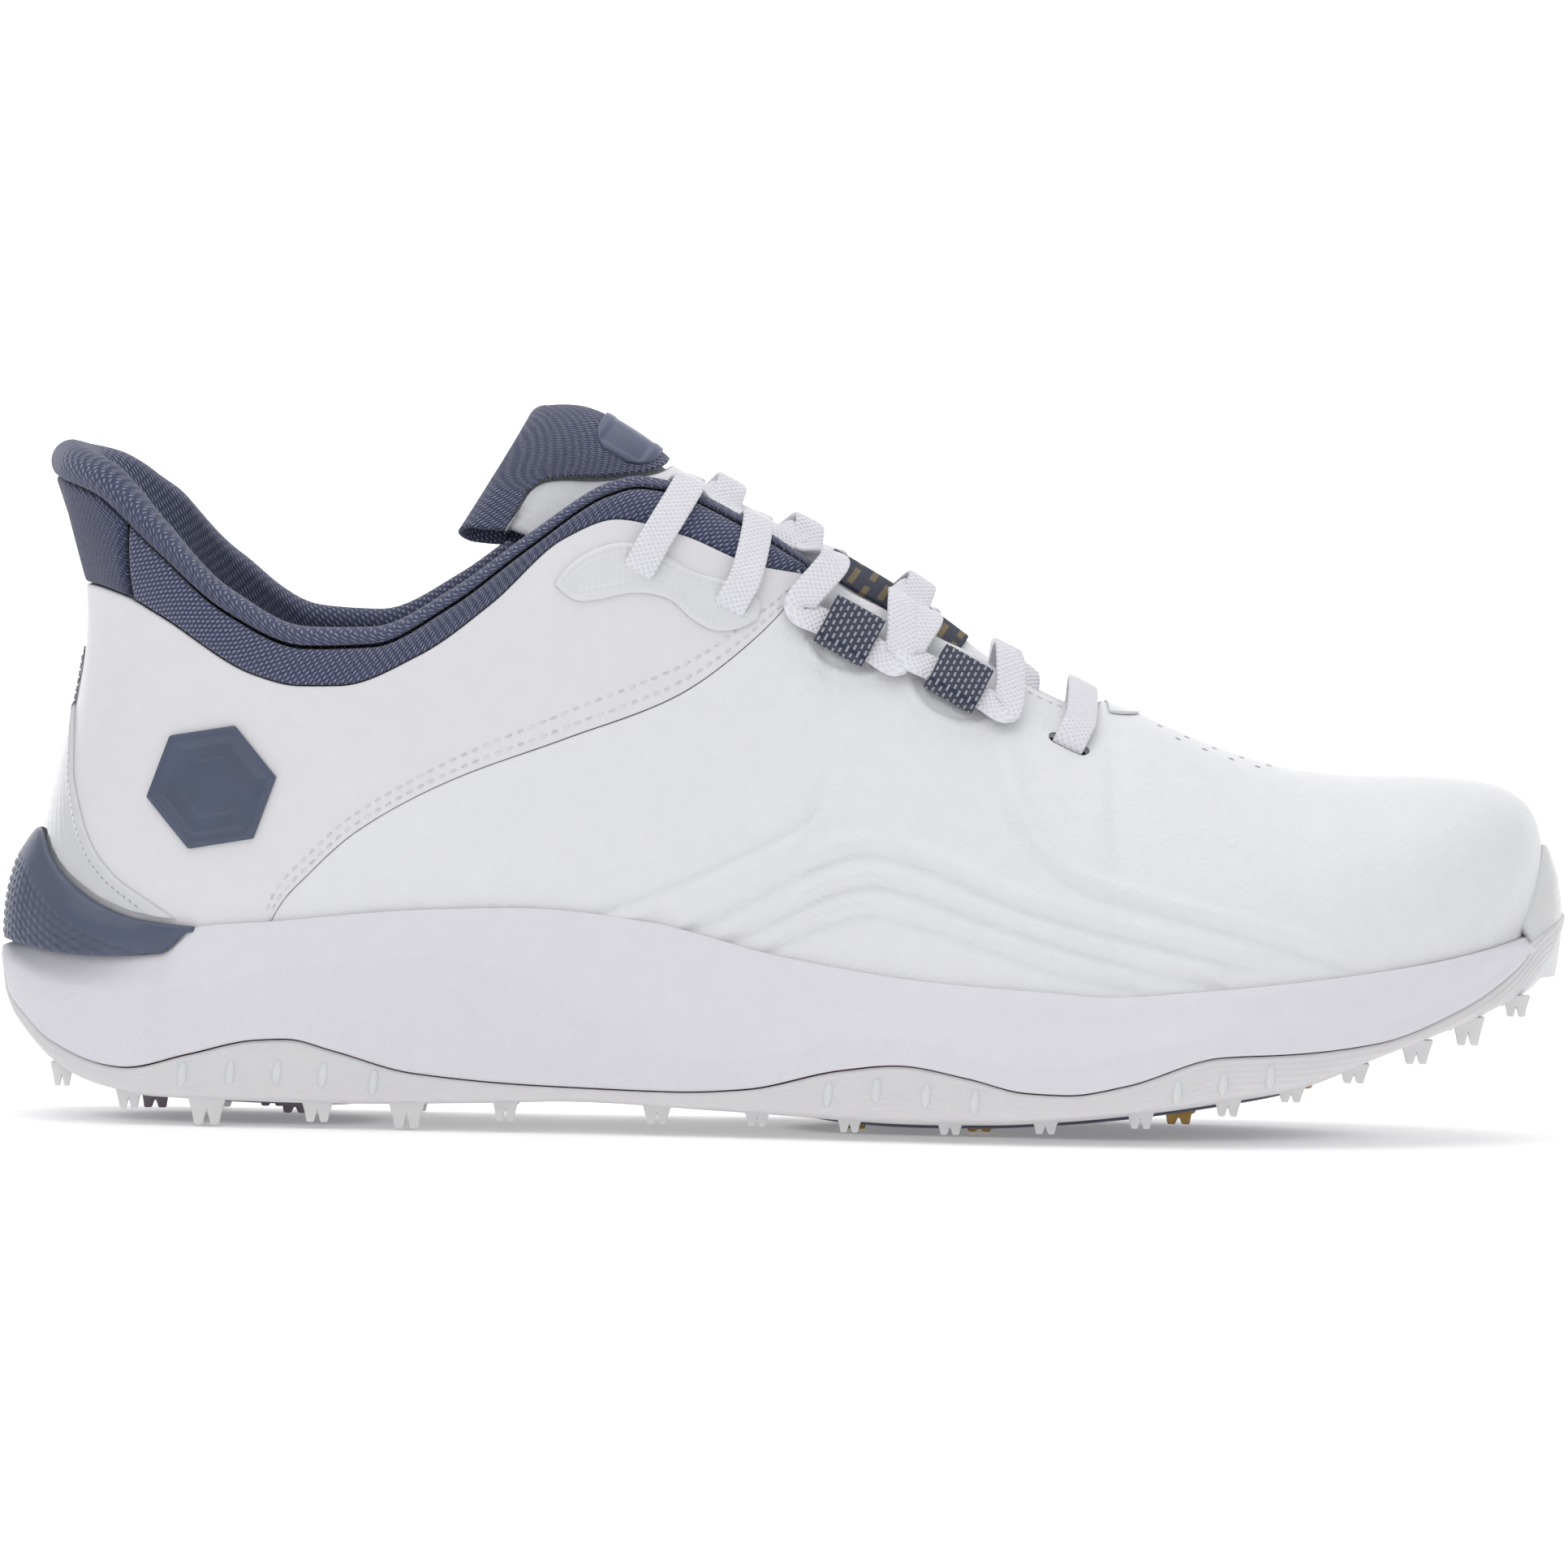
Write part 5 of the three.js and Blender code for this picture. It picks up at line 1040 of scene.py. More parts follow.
def patch_piece(name, lower, upper, side, lift, thick, radius, material, slot, replaces, relief=None,
                n=(60, 24)):
    """A film patch on one side, between a lower and an upper line seen from the side."""
    m, k = count(n[0]), count(n[1])
    low_line, high_line = resampled(lower, m), resampled(upper, m)
    s = clustered(k, 0.08)
    plan = mix(low_line[:, None, :], high_line[:, None, :], s[None, :, None])
    w, t = locate(plan[..., 0], plan[..., 1], side)
    if side < 0:
        w, t, plan = w[::-1], t[::-1], plan[::-1]
    outline = np.vstack([low_line, high_line[::-1], low_line[:1]])
    gap, _ = distance_to(outline, plan[..., 0], plan[..., 1])

    def shape(base, w, t):
        out = -round_drop(gap, radius)
        return out + (relief(base, gap) if relief else 0)

    return surface_piece(
        name, w, t, lift, thick, 0.01, material, slot, replaces, shape, sides=(False,) * 4, welded=True,
    )


def eyestay_overlays():
    lower = smooth_line([(105.2, 0, 103.5), (109.5, 0, 100.6), (121, 0, 102.2), (127, 0, 101),
                         (131.6, 0, 97.2),
                         (136, 0, 95.2), (140.6, 0, 95.7), (143.8, 0, 97.4)], 60)[:, [0, 2]]
    upper = smooth_line([(105.4, 0, 104), (107.8, 0, 107.1), (113.4, 0, 110.6), (118.5, 0, 111.6),
                         (126, 0, 109.4),
                         (131.2, 0, 106.4), (136, 0, 105), (141.2, 0, 103.3), (144.3, 0, 100.4),
                         (144, 0, 98)],
                        60)[:, [0, 2]]

    def double_edge(base, gap):
        return 0.22 * np.exp(-((gap - 0.9) / 0.35) ** 2) + 0.18 * np.exp(-((gap - 2.0) / 0.3) ** 2)

    for name, side in SIDES.items():
        ob = patch_piece(f"eyestay_film_{name}", lower, upper, side, 1.0, 0.75, 0.4, "clear_film", "film",
                         [f"eyestay_overlay_{name}"], double_edge, (90, 34))
        cut_slots(ob, side, ("top_slot", "second_slot"))


EMBLEM = {"x": 41, "z": 64, "across": 25, "lean": 0.18}


def side_emblem():
    """A plain hexagonal plate with a bevelled rim and a shallow dish."""
    r = EMBLEM["across"] / 2
    corners = [
        (EMBLEM["x"] + r * math.cos(i * math.pi / 3 + EMBLEM["lean"]),
         EMBLEM["z"] + r * math.sin(i * math.pi / 3 + EMBLEM["lean"]))
        for i in range(7)
    ]
    upper, lower = corners[:4], [corners[6 - i] for i in range(4)]

    def dish(base, gap):
        rim = 0.25 * np.exp(-((gap - 1.2) / 0.55) ** 2)
        return rim - 0.3 * smoothstep(gap, 2.0, 3.2) + 0.18 * smoothstep(gap, 5.2, 6.0)

    patch_piece("side_emblem_plate", lower, upper, LATERAL, 1.15, 0.85, 0.4, "emblem", "emblem",
                ["side_emblem"],
                dish, (80, 80))


def throat_patch():
    """A half-round reinforcement ahead of the throat's end, laid over the spine."""
    start, end, long, broad = 211, 217.3, 6.4, 8.4
    x = np.linspace(start, end, count(26))
    u = share_of_top_spine(x)
    half = broad * np.sqrt(np.clip(1 - ((x - start) / long) ** 2, 0.01, 1))
    q = np.concatenate([-clustered(count(20), 0.08)[::-1], clustered(count(20), 0.08)[1:]])
    high = halved(lambda t: across_spine(u, t, x) <= half, np.full(x.shape, 0.2), np.full(x.shape, 1.0),
                  20)[1]
    t = 1 - np.abs(q)[None, :] * (1 - high[:, None])
    w = np.sign(q)[None, :] * u[:, None]
    w = np.where(q[None, :] == 0, u[:, None], w)

    def relief(base, w, t):
        return 0.0 * t

    surface_piece("throat_patch_film", w[:, ::-1], t[:, ::-1], 0.75, 0.6, 0.3, "clear_film", "film",
                  ["throat_patch"],
                  relief)


def across_spine(w, t, x):
    """How far the upper at column w and share t is from the spine at place x, seen from above."""
    return np.abs(on_upper(w, t)[..., 1] - spine_across(x))


def share_of_top_spine(x):
    """The column whose top edge is at place x of the spine."""
    return halved(lambda u: top_along(u) >= x, np.zeros(x.shape), np.ones(x.shape), 26)[0]


def counter():
    """The moulded heel cup: smooth at its top, with pressed cells in rows below."""
    end = float(share_of(HEEL, TOE, 39))
    w = np.linspace(end, -end, count(330))
    swell = curve([(0, 0.6), (0.12, 1.9), (0.35, 3.7), (0.65, 4.6), (1, 5)])
    top = on_upper(w, share_at_line(w, counter_top))[..., 2] - GAP
    bottom = np.minimum(top - 1.2, rim_height(w) + 2 * GAP)
    r = clustered(count(84), 0.05)
    z = mix(top[:, None], bottom[:, None], r[None, ::-1])
    columns = np.broadcast_to(w[:, None], z.shape)
    t = share_at_height(columns, z)
    fade = 1 - smoothstep(np.abs(w), end * 0.5, end)
    base, normal = on_upper(columns, t), upper_normal(columns, t)
    down = top[:, None] - z
    way = mean_way(base)
    cell_x, cell_z = np.abs(way / 1.95 % 1 - 0.5) * 1.95, np.abs(down / 1.55 % 1 - 0.5) * 1.55
    cell = np.minimum(smoothstep(0.975 - cell_x, 0.12, 0.42), smoothstep(0.775 - cell_z, 0.1, 0.38))
    pressed = smoothstep(down, 4.6, 6.4) * smoothstep(np.abs(w[:, None]), end * 1.02, end * 0.93)
    relief = 0.3 * (cell - 1) * pressed
    lift = 1.4 + 0.6 + fade[:, None] * (swell(r[None, ::-1]) - 0.6)
    outer = base + normal * (lift + relief - border_drop(base, 0.7))[..., None]
    inner = base + normal * 1.3
    grid_piece("heel_counter_cup", outer, inner, "counter", ["heel_counter"])


# ---------------------------------------------------------------- slots and holes
def station_frame(place_xz, side):
    w, t = locate(np.array([place_xz[0]]), np.array([place_xz[1]]), side)
    out = upper_normal(w, t)[0]
    forward = np.array([1, 0, -0.52])
    forward = unit(forward - out * (forward @ out))
    up = unit(-side * np.cross(out, forward))
    return {"point": on_upper(w, t)[0], "out": out, "forward": forward, "up": up}


def at(f, along_line, up, out):
    return f["point"] + f["forward"] * along_line + f["up"] * up + f["out"] * out


SLOT = {"straight": 2.6, "round": 1.6, "sides": 24, "from": -12, "to": 6}


def cut_slots(ob, side, keys):
    """Cuts the punched lace slots out of a piece."""
    for key in keys:
        f = station_frame(STATION[key], side)
        outline = []
        for i in range(SLOT["sides"]):
            a = 2 * math.pi * i / SLOT["sides"]
            long = SLOT["straight"] * np.sign(math.cos(a)) + SLOT["round"] * math.cos(a)
            outline.append((long, SLOT["round"] * math.sin(a)))
        bm = bmesh.new()
        rings = [[bm.verts.new(place(at(f, a, b, depth)).tolist()) for a, b in outline]
                 for depth in (SLOT["from"], SLOT["to"])]
        for i in range(SLOT["sides"]):
            j = (i + 1) % 24
            bm.faces.new((rings[0][i], rings[0][j], rings[1][j], rings[1][i]))
        bm.faces.new(rings[0][::-1])
        bm.faces.new(rings[1])
        bmesh.ops.recalc_face_normals(bm, faces=bm.faces)
        mesh = bpy.data.meshes.new("slot_cutter")
        bm.to_mesh(mesh)
        bm.free()
        cutter = bpy.data.objects.new("slot_cutter", mesh)
        bpy.context.scene.collection.objects.link(cutter)
        modifier = ob.modifiers.new("slot", "BOOLEAN")
        modifier.operation = "DIFFERENCE"
        modifier.solver = "FAST"
        modifier.object = cutter
        apply_modifiers(ob)
        bpy.data.objects.remove(cutter)


def apply_modifiers(ob):
    graph = bpy.context.evaluated_depsgraph_get()
    made = bpy.data.meshes.new_from_object(ob.evaluated_get(graph))
    ob.modifiers.clear()
    old = ob.data
    ob.data = made
    bpy.data.meshes.remove(old)
    for polygon in ob.data.polygons:
        polygon.use_smooth = True


def perforations():
    """Small vent holes beside the toe's spine, as dark discs of painted shade in the leather."""
    rows = ((221, 241, 5), (224, 238, 4))  # first place, last place, holes
    first_row, row_pitch = 5.0, 4.2
    places = []
    for side in (LATERAL, MEDIAL):
        for row, (first, last, n) in enumerate(rows):
            for i in range(n):
                places.append((side, mix(first, last, i / (n - 1)), first_row + row_pitch * row))
    points, normals = [], []
    for side, x, across in places:
        u = share_of_top_spine(np.array([float(x)]))
        w = side * u
        high = halved(lambda t: across_spine(w, t, x) <= across, np.array([0.3]), np.array([1.0]), 18)[1]
        points.append(on_upper(w, high)[0])
        normals.append(upper_normal(w, high)[0])
    # Grey discs of painted shade where the vent holes are.
    dots("toe_perforations", np.array(points), np.array(normals), np.array([[1.0, 0, 0]]),
         (0.62, 0.62, 0.12), "hole")


def dots(name, points, normals, runs, size, material, body="shoe"):
    """Small rounded capsules at places on a surface: half sizes along the run, across it, and out of it."""
    bm = bmesh.new()
    bmesh.ops.create_icosphere(bm, subdivisions=2, radius=1)
    verts = np.array([v.co[:] for v in bm.verts])
    tris = np.array([[v.index for v in f.verts] for f in bm.faces])
    bm.free()
    runs = np.broadcast_to(runs, points.shape)
    first = unit(runs - normals * np.sum(runs * normals, axis=1)[:, None])
    second = np.cross(normals, first)
    body_points = (
        points[:, None, :]
        + first[:, None, :] * verts[None, :, :1] * size[0]
        + second[:, None, :] * verts[None, :, 1:2] * size[1]
        + normals[:, None, :] * verts[None, :, 2:] * size[2]
    )
    offsets = np.arange(len(points))[:, None, None] * len(verts)
    faces = (tris[None] + offsets).reshape(-1, 3).tolist()
    uv = np.zeros((len(points) * len(verts), 2))
    return make_object(name, body_points.reshape(-1, 3), faces, uv, body, MATERIALS[material])


def stitch_row(name, w, t, lift, spacing, size=(0.75, 0.24, 0.2), material="thread"):
    """Stitches at equal distances along a line on the upper."""
    base = on_upper(w, t)
    way = distances(base)
    stops = np.arange(spacing / 2, way[-1], spacing)
    w, t = np.interp(stops, way, w), np.interp(stops, way, t)
    points, normals = on_upper(w, t), upper_normal(w, t)
    runs = unit(np.gradient(points, axis=0))
    return dots(name, points + normals * lift, normals, runs, size, material)


def stitching():
    for name, side in SIDES.items():
        u = columns_between(52.5, 150, 0.8)
        w = side * u
        seam = seam_share(w)
        for k, gap in enumerate((0.022, 0.05)):
            inside = np.minimum(seam + gap, band_share(w) - 0.02)
            stitch_row(f"seam_stitches_{name}_{k + 1}", w, inside, 0.28, 2.3, (0.7, 0.22, 0.16), "thread")
        edge = columns_between(150, 204, 0.8)
        stitch_row(f"throat_stitches_{name}", side * edge, np.full(edge.shape, 0.955), 0.05, 2.2,
                   (0.65, 0.2, 0.16))
        z = np.linspace(41, 88, count(80))
        limit = edge_column(np.minimum(overlay_edge(z), 36), z) * 0.93
        # The heel overlay's stitch holes are grey dots of painted shade.
        stitch_row(f"heel_overlay_stitches_{name}", side * limit, share_at_height(limit, z), 1.08, 1.5,
                   (0.42, 0.2, 0.16), "hole")


# ---------------------------------------------------------------- sole
def sole_rim(w):
    u = np.abs(w)
    return vec(along(0, LENGTH, u), np.where(w < 0, lateral_sole(u), medial_sole(u)), 0)


def sole_point(u, cross, inset, z):
    left, right = lateral_sole(u), medial_sole(u)
    half = (right - left) / 2 * np.maximum(0.1, 1 - inset / 48)
    return vec(along(0, LENGTH, u), (left + right) / 2 + cross * half, z)


def underside(x, y):
    u = share_of(0, LENGTH, x)
    cross = 2 * (y - lateral_sole(u)) / (medial_sole(u) - lateral_sole(u)) - 1
    return tread_line(x) - crown(x) * np.maximum(0, 1 - cross * cross)


def lip_height(x):
    return np.maximum(parting_line(x), tread_line(x) + 1.2)


def floor_room(x):
    return np.minimum(2.6, 0.75 * (lip_height(x) - tread_line(x)))


def rim_line(x):
    return bite_line(np.maximum(0, x - 1))


def rim_height(w):
    return on_upper(w, share_at_line(w, rim_line))[..., 2]


def outline_frame(w, inset):
    """Places on the sole's outline pulled in by inset, with the outward direction there."""
    step = 0.006
    run = sole_rim(wrap(w + step)) - sole_rim(wrap(w - step))
    out = unit(vec(-run[..., 1], run[..., 0], 0))
    return sole_rim(w) - out * np.asarray(inset, float)[..., None], out


def ring_columns(n):
    """Columns all round the sole, closer at the heel's and toe's tips, where the outline turns."""
    u = np.linspace(0, 1, n)
    return np.concatenate([-u[1:][::-1], u[:-1]])


def midsole():
    """The foam cup: a scooped upper band with a soft rim, over a ribbed lower band."""
    w = ring_columns(count(300))
    rim_t = np.maximum(0.03, share_at_line(w, rim_line))
    rim = below(w, rim_t, np.full_like(w, -GAP))
    edge, out = outline_frame(w, np.zeros_like(w))
    lip_x = edge[:, 0]
    lip = lip_height(lip_x)
    top = np.minimum(lip + GAP, rim[:, 2] - 1.6)
    toe = smoothstep(np.abs(w), 0.9, 0.94)
    toe_inset = 4.4 * toe
    wide = rim + out * 1.1
    lower, _ = outline_frame(w, 0.35 + toe_inset)
    middle, _ = outline_frame(w, 0.1 + toe_inset)
    keys = [
        rim - out * 0.2 + [0, 0, 0.05],
        wide,
        replace_z(mix(rim, middle, 0.45) + out * 0.9, mix(rim[:, 2], top, 0.2)),
        replace_z(middle, mix(rim[:, 2], top, 0.62)),
        replace_z(lower, top),
    ]
    profile = smooth_profile(keys, count(64))
    z = profile[..., 2]
    scoop = scoop_line(profile[..., 0])
    rim_z = rim[:, 2][:, None]
    upper_band = np.clip((z - scoop) / np.maximum(rim_z - scoop, 1.0), 0, 1)
    scooped = -0.65 * np.sin(np.pi * upper_band) ** 1.5 * smoothstep(rim_z - scoop, 1.5, 5)
    proud = 0.3 * (1 - smoothstep(z, scoop - 0.7, scoop + 0.5))
    profile = profile + out[:, None, :] * (scooped + proud)[..., None]
    rib = (1 - smoothstep(z, scoop - 1.3, scoop - 0.6)) * smoothstep(z, top[:, None] + 0.2,
                                                                     top[:, None] + 0.7)
    under, _ = outline_frame(w, 4.5 + toe_inset)
    under = replace_z(under, top + 0.1)
    inner_t = np.linspace(1, 0, count(12))
    inner = [below(w, rim_t * s, np.full_like(w, -GAP)) for s in inner_t]
    inner = np.stack(inner + [replace_z(inner[-1] - out * 3, inner[-1][:, 2] - 1.9)], axis=1)
    outer = np.concatenate([profile, under[:, None, :]], axis=1)
    rib = np.concatenate([rib, rib[:, -1:] * 0], axis=1)
    inner = resample_rows(inner, outer.shape[1])
    way = mean_way(outer)
    uv = np.stack([way, outer[..., 2]], axis=-1) / 10
    grid_piece("midsole_foam", outer, inner, "midsole", ["midsole"], uv=uv, loop=True,
               values={"rib": rib})


def replace_z(points, z):
    out = np.array(points, float)
    out[..., 2] = z
    return out


def smooth_profile(keys, n):
    """A smooth profile through the key places of each column, keys first."""
    keys = np.stack(keys, axis=1)
    k = keys.shape[1]
    padded = np.concatenate([2 * keys[:, :1] - keys[:, 1:2], keys, 2 * keys[:, -1:] - keys[:, -2:-1]], axis=1)
    share = np.linspace(0, k - 1, n)
    i = np.clip(share.astype(int), 0, k - 2)
    s = (share - i)[None, :, None]
    a, b, c, d = (padded[:, i + j] for j in range(4))
    return 0.5 * (2 * b + (c - a) * s + (2 * a - 5 * b + 4 * c - d) * s ** 2
                  + (3 * b - a - 3 * c + d) * s ** 3)


def resample_rows(grid, n):
    share = np.linspace(0, grid.shape[1] - 1, n)
    i = np.clip(share.astype(int), 0, grid.shape[1] - 2)
    s = (share - i)[None, :, None]
    return grid[:, i] * (1 - s) + grid[:, i + 1] * s


def outsole():
    """The rubber cup: a low wall whose lip follows the parting line, and the tread below."""
    w = ring_columns(count(300))
    u = np.abs(w)
    x = along(0, LENGTH, u)
    lip, tread, dome, room = lip_height(x), tread_line(x), crown(x), floor_room(x)
    sheets = []
    for inset, rise in ((0.0, 0.0), (1.8, room)):
        high = replace_z(outline_frame(w, np.full_like(w, 0.35 + inset))[0], lip)
        middle = replace_z(outline_frame(w, np.full_like(w, 0.0 + inset))[0], mix(tread, lip, 0.5))
        low = replace_z(outline_frame(w, np.full_like(w, 0.9 + inset))[0], mix(tread, lip, 0.12) + rise * 0.5)
        corner = replace_z(outline_frame(w, np.full_like(w, 3.2 + inset))[0], tread + rise)
        wall = smooth_profile([high, middle, low, corner], count(26))
        reach = np.linspace(0, 1, count(30))[1:]
        middle_y = (lateral_sole(u) + medial_sole(u)) / 2
        floor = []
        for r in reach:
            cross = (1 - r) * (corner[:, 1] - middle_y) / np.maximum(np.abs(sole_rim(w)[:, 1] - middle_y),
                                                                     1e-6)
            point = vec(mix(corner[:, 0], x, r), mix(corner[:, 1], middle_y, r), 0)
            floor.append(replace_z(point, tread + rise - dome * np.clip(1 - cross ** 2, 0, 1)))
        sheets.append(np.concatenate([wall, np.stack(floor, axis=1)], axis=1))
    down = lip[:, None] - sheets[0][..., 2]
    uv = np.stack([mean_way(sheets[0]), down], axis=-1) / 10
    grid_piece("outsole_rubber", sheets[0], sheets[1], "outsole", ["outsole"], uv=uv, loop=True,
               far_rim=np.zeros(len(w), bool), welded=True)


BUMPER = [
    (31, 1.6, 5.6), (35, 1.0, 5.0), (40, 0.5, 3.9), (45, 0.6, 3.4), (50.3, 1.4, 3.7), (55, 3.1, 4.6),
    (56.2, 3.8, 4.6),
]  # height, inset of the outer face, inset of the inner face
BUMPER_REACH = 0.085


def toe_bumper():
    """The outsole's tongue that stands up in front of the toe."""
    offset = np.linspace(-1, 1, count(110)) * BUMPER_REACH
    w = np.where(offset < 0, -(1 + offset), 1 - offset)
    edge = np.abs(offset) / BUMPER_REACH
    low = BUMPER[0][0]
    levels = np.array(BUMPER)
    rows = np.linspace(0, len(BUMPER) - 1, count(36))
    sheets = []
    for column in (1, 2):
        z = np.interp(rows, range(len(BUMPER)), levels[:, 0])[None, :]
        first = np.interp(rows, range(len(BUMPER)), levels[:, 1])[None, :]
        wanted = np.interp(rows, range(len(BUMPER)), levels[:, column])[None, :]
        inset = wanted if column == 1 else mix(wanted, first + 1.6, edge[:, None] ** 0.7)
        inset = np.broadcast_to(inset, (len(w), len(rows)))
        height = mix(z, low + 0.4 * (z - low), edge[:, None] ** 1.7)
        rim, out = outline_frame(w, np.zeros_like(w))
        sheet = rim[:, None, :] - out[:, None, :] * inset[..., None]
        sheets.append(replace_z(sheet, height))
    grid_piece("toe_bumper", sheets[0][::-1], sheets[1][::-1], "nub")


LUG = {"base": 6.0, "tip": 3.6, "depth": 5.4}
PERIMETER = [
    (13, 6.4, 0.75), (26, 2.6, 0.9), (41, 0, 1.3), (62, 0.9, 1.1), (79, 0, 1.25), (97.7, 1.7, 0.9),
    (126.5, 1.8, 1),
    (145.5, 1.8, 0.9), (163, 1.2, 0.9), (182, 1.2, 0.95), (200, 1.7, 0.95), (218, 3, 0.95),
    (234.5, 5.5, 0.95),
    (246.5, 8.2, 0.95), (258.5, 11.8, 1), (270.5, 15.4, 1.05), (280.5, 18.8, 1.05), (290, 24, 0.9),
]  # place along the shoe, height of the tip, size


def lug_mesh(x, y, top, bottom, base, tip, depth, size=1.0):
    """A two-pronged lug with softened edges, as vertices and faces in the pattern frame."""
    b, t = base / 2 * size, tip / 2 * size
    notch = bottom + 0.42 * (top - bottom)
    outline = [
        (-b, top), (-mix(b, t, 0.7), mix(top, bottom, 0.62)), (-t, bottom), (-0.32 * t, bottom),
        (-0.12 * t, mix(bottom, notch, 0.72)), (0, notch), (0.12 * t, mix(bottom, notch, 0.72)),
        (0.32 * t, bottom), (t, bottom), (mix(b, t, 0.7), mix(top, bottom, 0.62)), (b, top),
    ]
    bm = bmesh.new()
    half = depth * size / 2
    rings = []
    for dy in (-half, half):
        rings.append([bm.verts.new((x + a, y + dy * (1 if z > notch else 0.8), z)) for a, z in outline])
    n = len(outline)
    for i in range(n):
        j = (i + 1) % n
        bm.faces.new((rings[0][i], rings[0][j], rings[1][j], rings[1][i]))
    bm.faces.new(rings[0][::-1])
    bm.faces.new(rings[1])
    bmesh.ops.recalc_face_normals(bm, faces=bm.faces)
    sharp = [e for e in bm.edges if e.calc_face_angle(0) > 0.4]
    bmesh.ops.bevel(bm, geom=sharp, offset=0.32 * size, segments=3, affect="EDGES", profile=0.5,
                    clamp_overlap=True)
    bmesh.ops.triangulate(bm, faces=[f for f in bm.faces if len(f.verts) > 4])
    bm.verts.index_update()
    verts = [v.co[:] for v in bm.verts]
    faces = [[v.index for v in f.verts] for f in bm.faces]
    bm.free()
    return verts, faces


def joined(parts):
    verts, faces = [], []
    for part_verts, part_faces in parts:
        start = len(verts)
        verts += part_verts
        faces += [[start + i for i in face] for face in part_faces]
    return verts, faces


def perimeter_lugs():
    parts = []
    for x, tip, size in PERIMETER:
        for side in (-1, 1):
            y = float(sole_point(share_of(0, LENGTH, x), side, 7.5, 0)[1])
            top = float(underside(x, y)) + 0.6 * float(floor_room(x))
            parts.append(lug_mesh(x, y, top, tip, **LUG, size=size))
    verts, faces = joined(parts)
    make_object("perimeter_lugs", verts, faces, np.zeros((len(verts), 2)), "shoe", MATERIALS["nub"])


NUBS = [(36.3, 9.5), (45.4, 10.2), (54.3, 10.4), (63, 10), (72.6, 8.8), (158.8, 8.6), (167.9, 9.5),
        (177.3, 8.8),
        (186.5, 7.8), (224.7, 10.3), (233.4, 12), (242.4, 13.4)]  # place and height of the wall's small ribs


def side_nubs():
    """Short upright ribs on the outsole's wall, two to three abreast over its lugs."""
    points, normals, runs = [], [], []
    for side in (-1, 1):
        for x, z in NUBS:
            u = share_of(0, LENGTH, np.array([float(x)]))
            rim, out = outline_frame(side * u, np.array([0.15]))
            points.append(replace_z(rim, z)[0])
            normals.append(out[0])
            runs.append((0.12, 0, 1.0))
    dots("side_nubs", np.array(points), np.array(normals), np.array(runs), (2.5, 0.95, 0.75), "nub")


TRACTION_LUG = {"base": 5.6, "tip": 4.2, "depth": 3.9}
TRACTION = [
    ("fore", 164, -9), ("fore", 188, -12), ("fore", 226, -14), ("fore", 176, 18), ("fore", 204, 22),
    ("fore", 249, 8),
    ("heel", 30, -3), ("heel", 57, -10), ("heel", 52, 12),
]
TIP_HEIGHT = {"fore": curve([(160, 0), (200, 0), (226, 2.2), (249, 8.6)]),
              "heel": curve([(30, 1.4), (57, 1.2)])}


def traction_inserts():
    counts = {"fore": 0, "heel": 0}
    for where, x, y in TRACTION:
        counts[where] += 1
        name = f"{where}_insert_{counts[where]}"
        face = float(underside(x, y))
        collar = disc_mesh(x, y, face + 0.8, face - 0.95, 3.3)
        body = lug_mesh(x, y, face + 0.4, float(TIP_HEIGHT[where](x)), **TRACTION_LUG)
        verts, faces = joined([body, collar])
        make_object(f"{name}_lug", verts, faces, np.zeros((len(verts), 2)), "shoe",
                    MATERIALS["gold" if where == "fore" else "mauve"], [name])


def disc_mesh(x, y, top, bottom, radius):
    """A short stem with a softened rim."""
    profile = [(0.001, top), (radius, top), (radius, mix(bottom, top, 0.3)),
               (radius - 0.15, mix(bottom, top, 0.1)),
               (radius - 0.45, bottom), (0.001, bottom)]
    n = 32
    angle = [2 * math.pi * i / n for i in range(n)]
    verts = [(x + r * math.cos(a), y + r * math.sin(a), z) for r, z in profile for a in angle]
    faces = []
    for k in range(len(profile) - 1):
        for i in range(n):
            j = (i + 1) % n
            faces.append([k * n + i, k * n + j, (k + 1) * n + j, (k + 1) * n + i][::-1])
    faces.append([i for i in range(n)])
    faces.append([(len(profile) - 1) * n + i for i in range(n)][::-1])
    return verts, faces


PLATES = {
    "fore": [(152, -3), (160, -18), (188, -24), (222, -26), (244, -15), (258, 4), (254, 20), (236, 30),
             (208, 34),
             (178, 28), (158, 13)],
    "heel": [(20, 0), (26, -13), (44, -20), (66, -18), (73, -4), (70, 12), (56, 20), (38, 18), (25, 11)],
}


def plates():
    """Thin moulded plates in the tread, each with a raised border and faint rings."""
    for name, points in PLATES.items():
        outline = smooth_line([(x, y, 0) for x, y in points], count(140), closed=True)[:, :2]
        middle = outline.mean(axis=0)
        r = np.concatenate([np.linspace(0.0, 0.93, count(26)), [0.95, 0.97, 0.985, 0.995, 1.0]])
        plan = middle + (outline - middle)[:, None, :] * r[None, :, None]
        gap = (1 - r) * 20
        relief = 0.42 + 0.25 * np.exp(-((gap - 1.4) / 0.6) ** 2) + 0.07 * np.sin(gap * 2.6) * (gap > 3)
        relief = relief - round_drop(gap, 0.3)
        z = underside(plan[..., 0], plan[..., 1])
        outer = np.concatenate([plan, (z - relief[None, :])[..., None]], axis=-1)
        inner = np.concatenate([plan, (z + 0.9)[..., None]], axis=-1)
        grid_piece(f"{name}_plate_panel", outer[::-1], inner[::-1], "plate", [f"{name}_plate"],
                   loop=True,
                   welded=True)


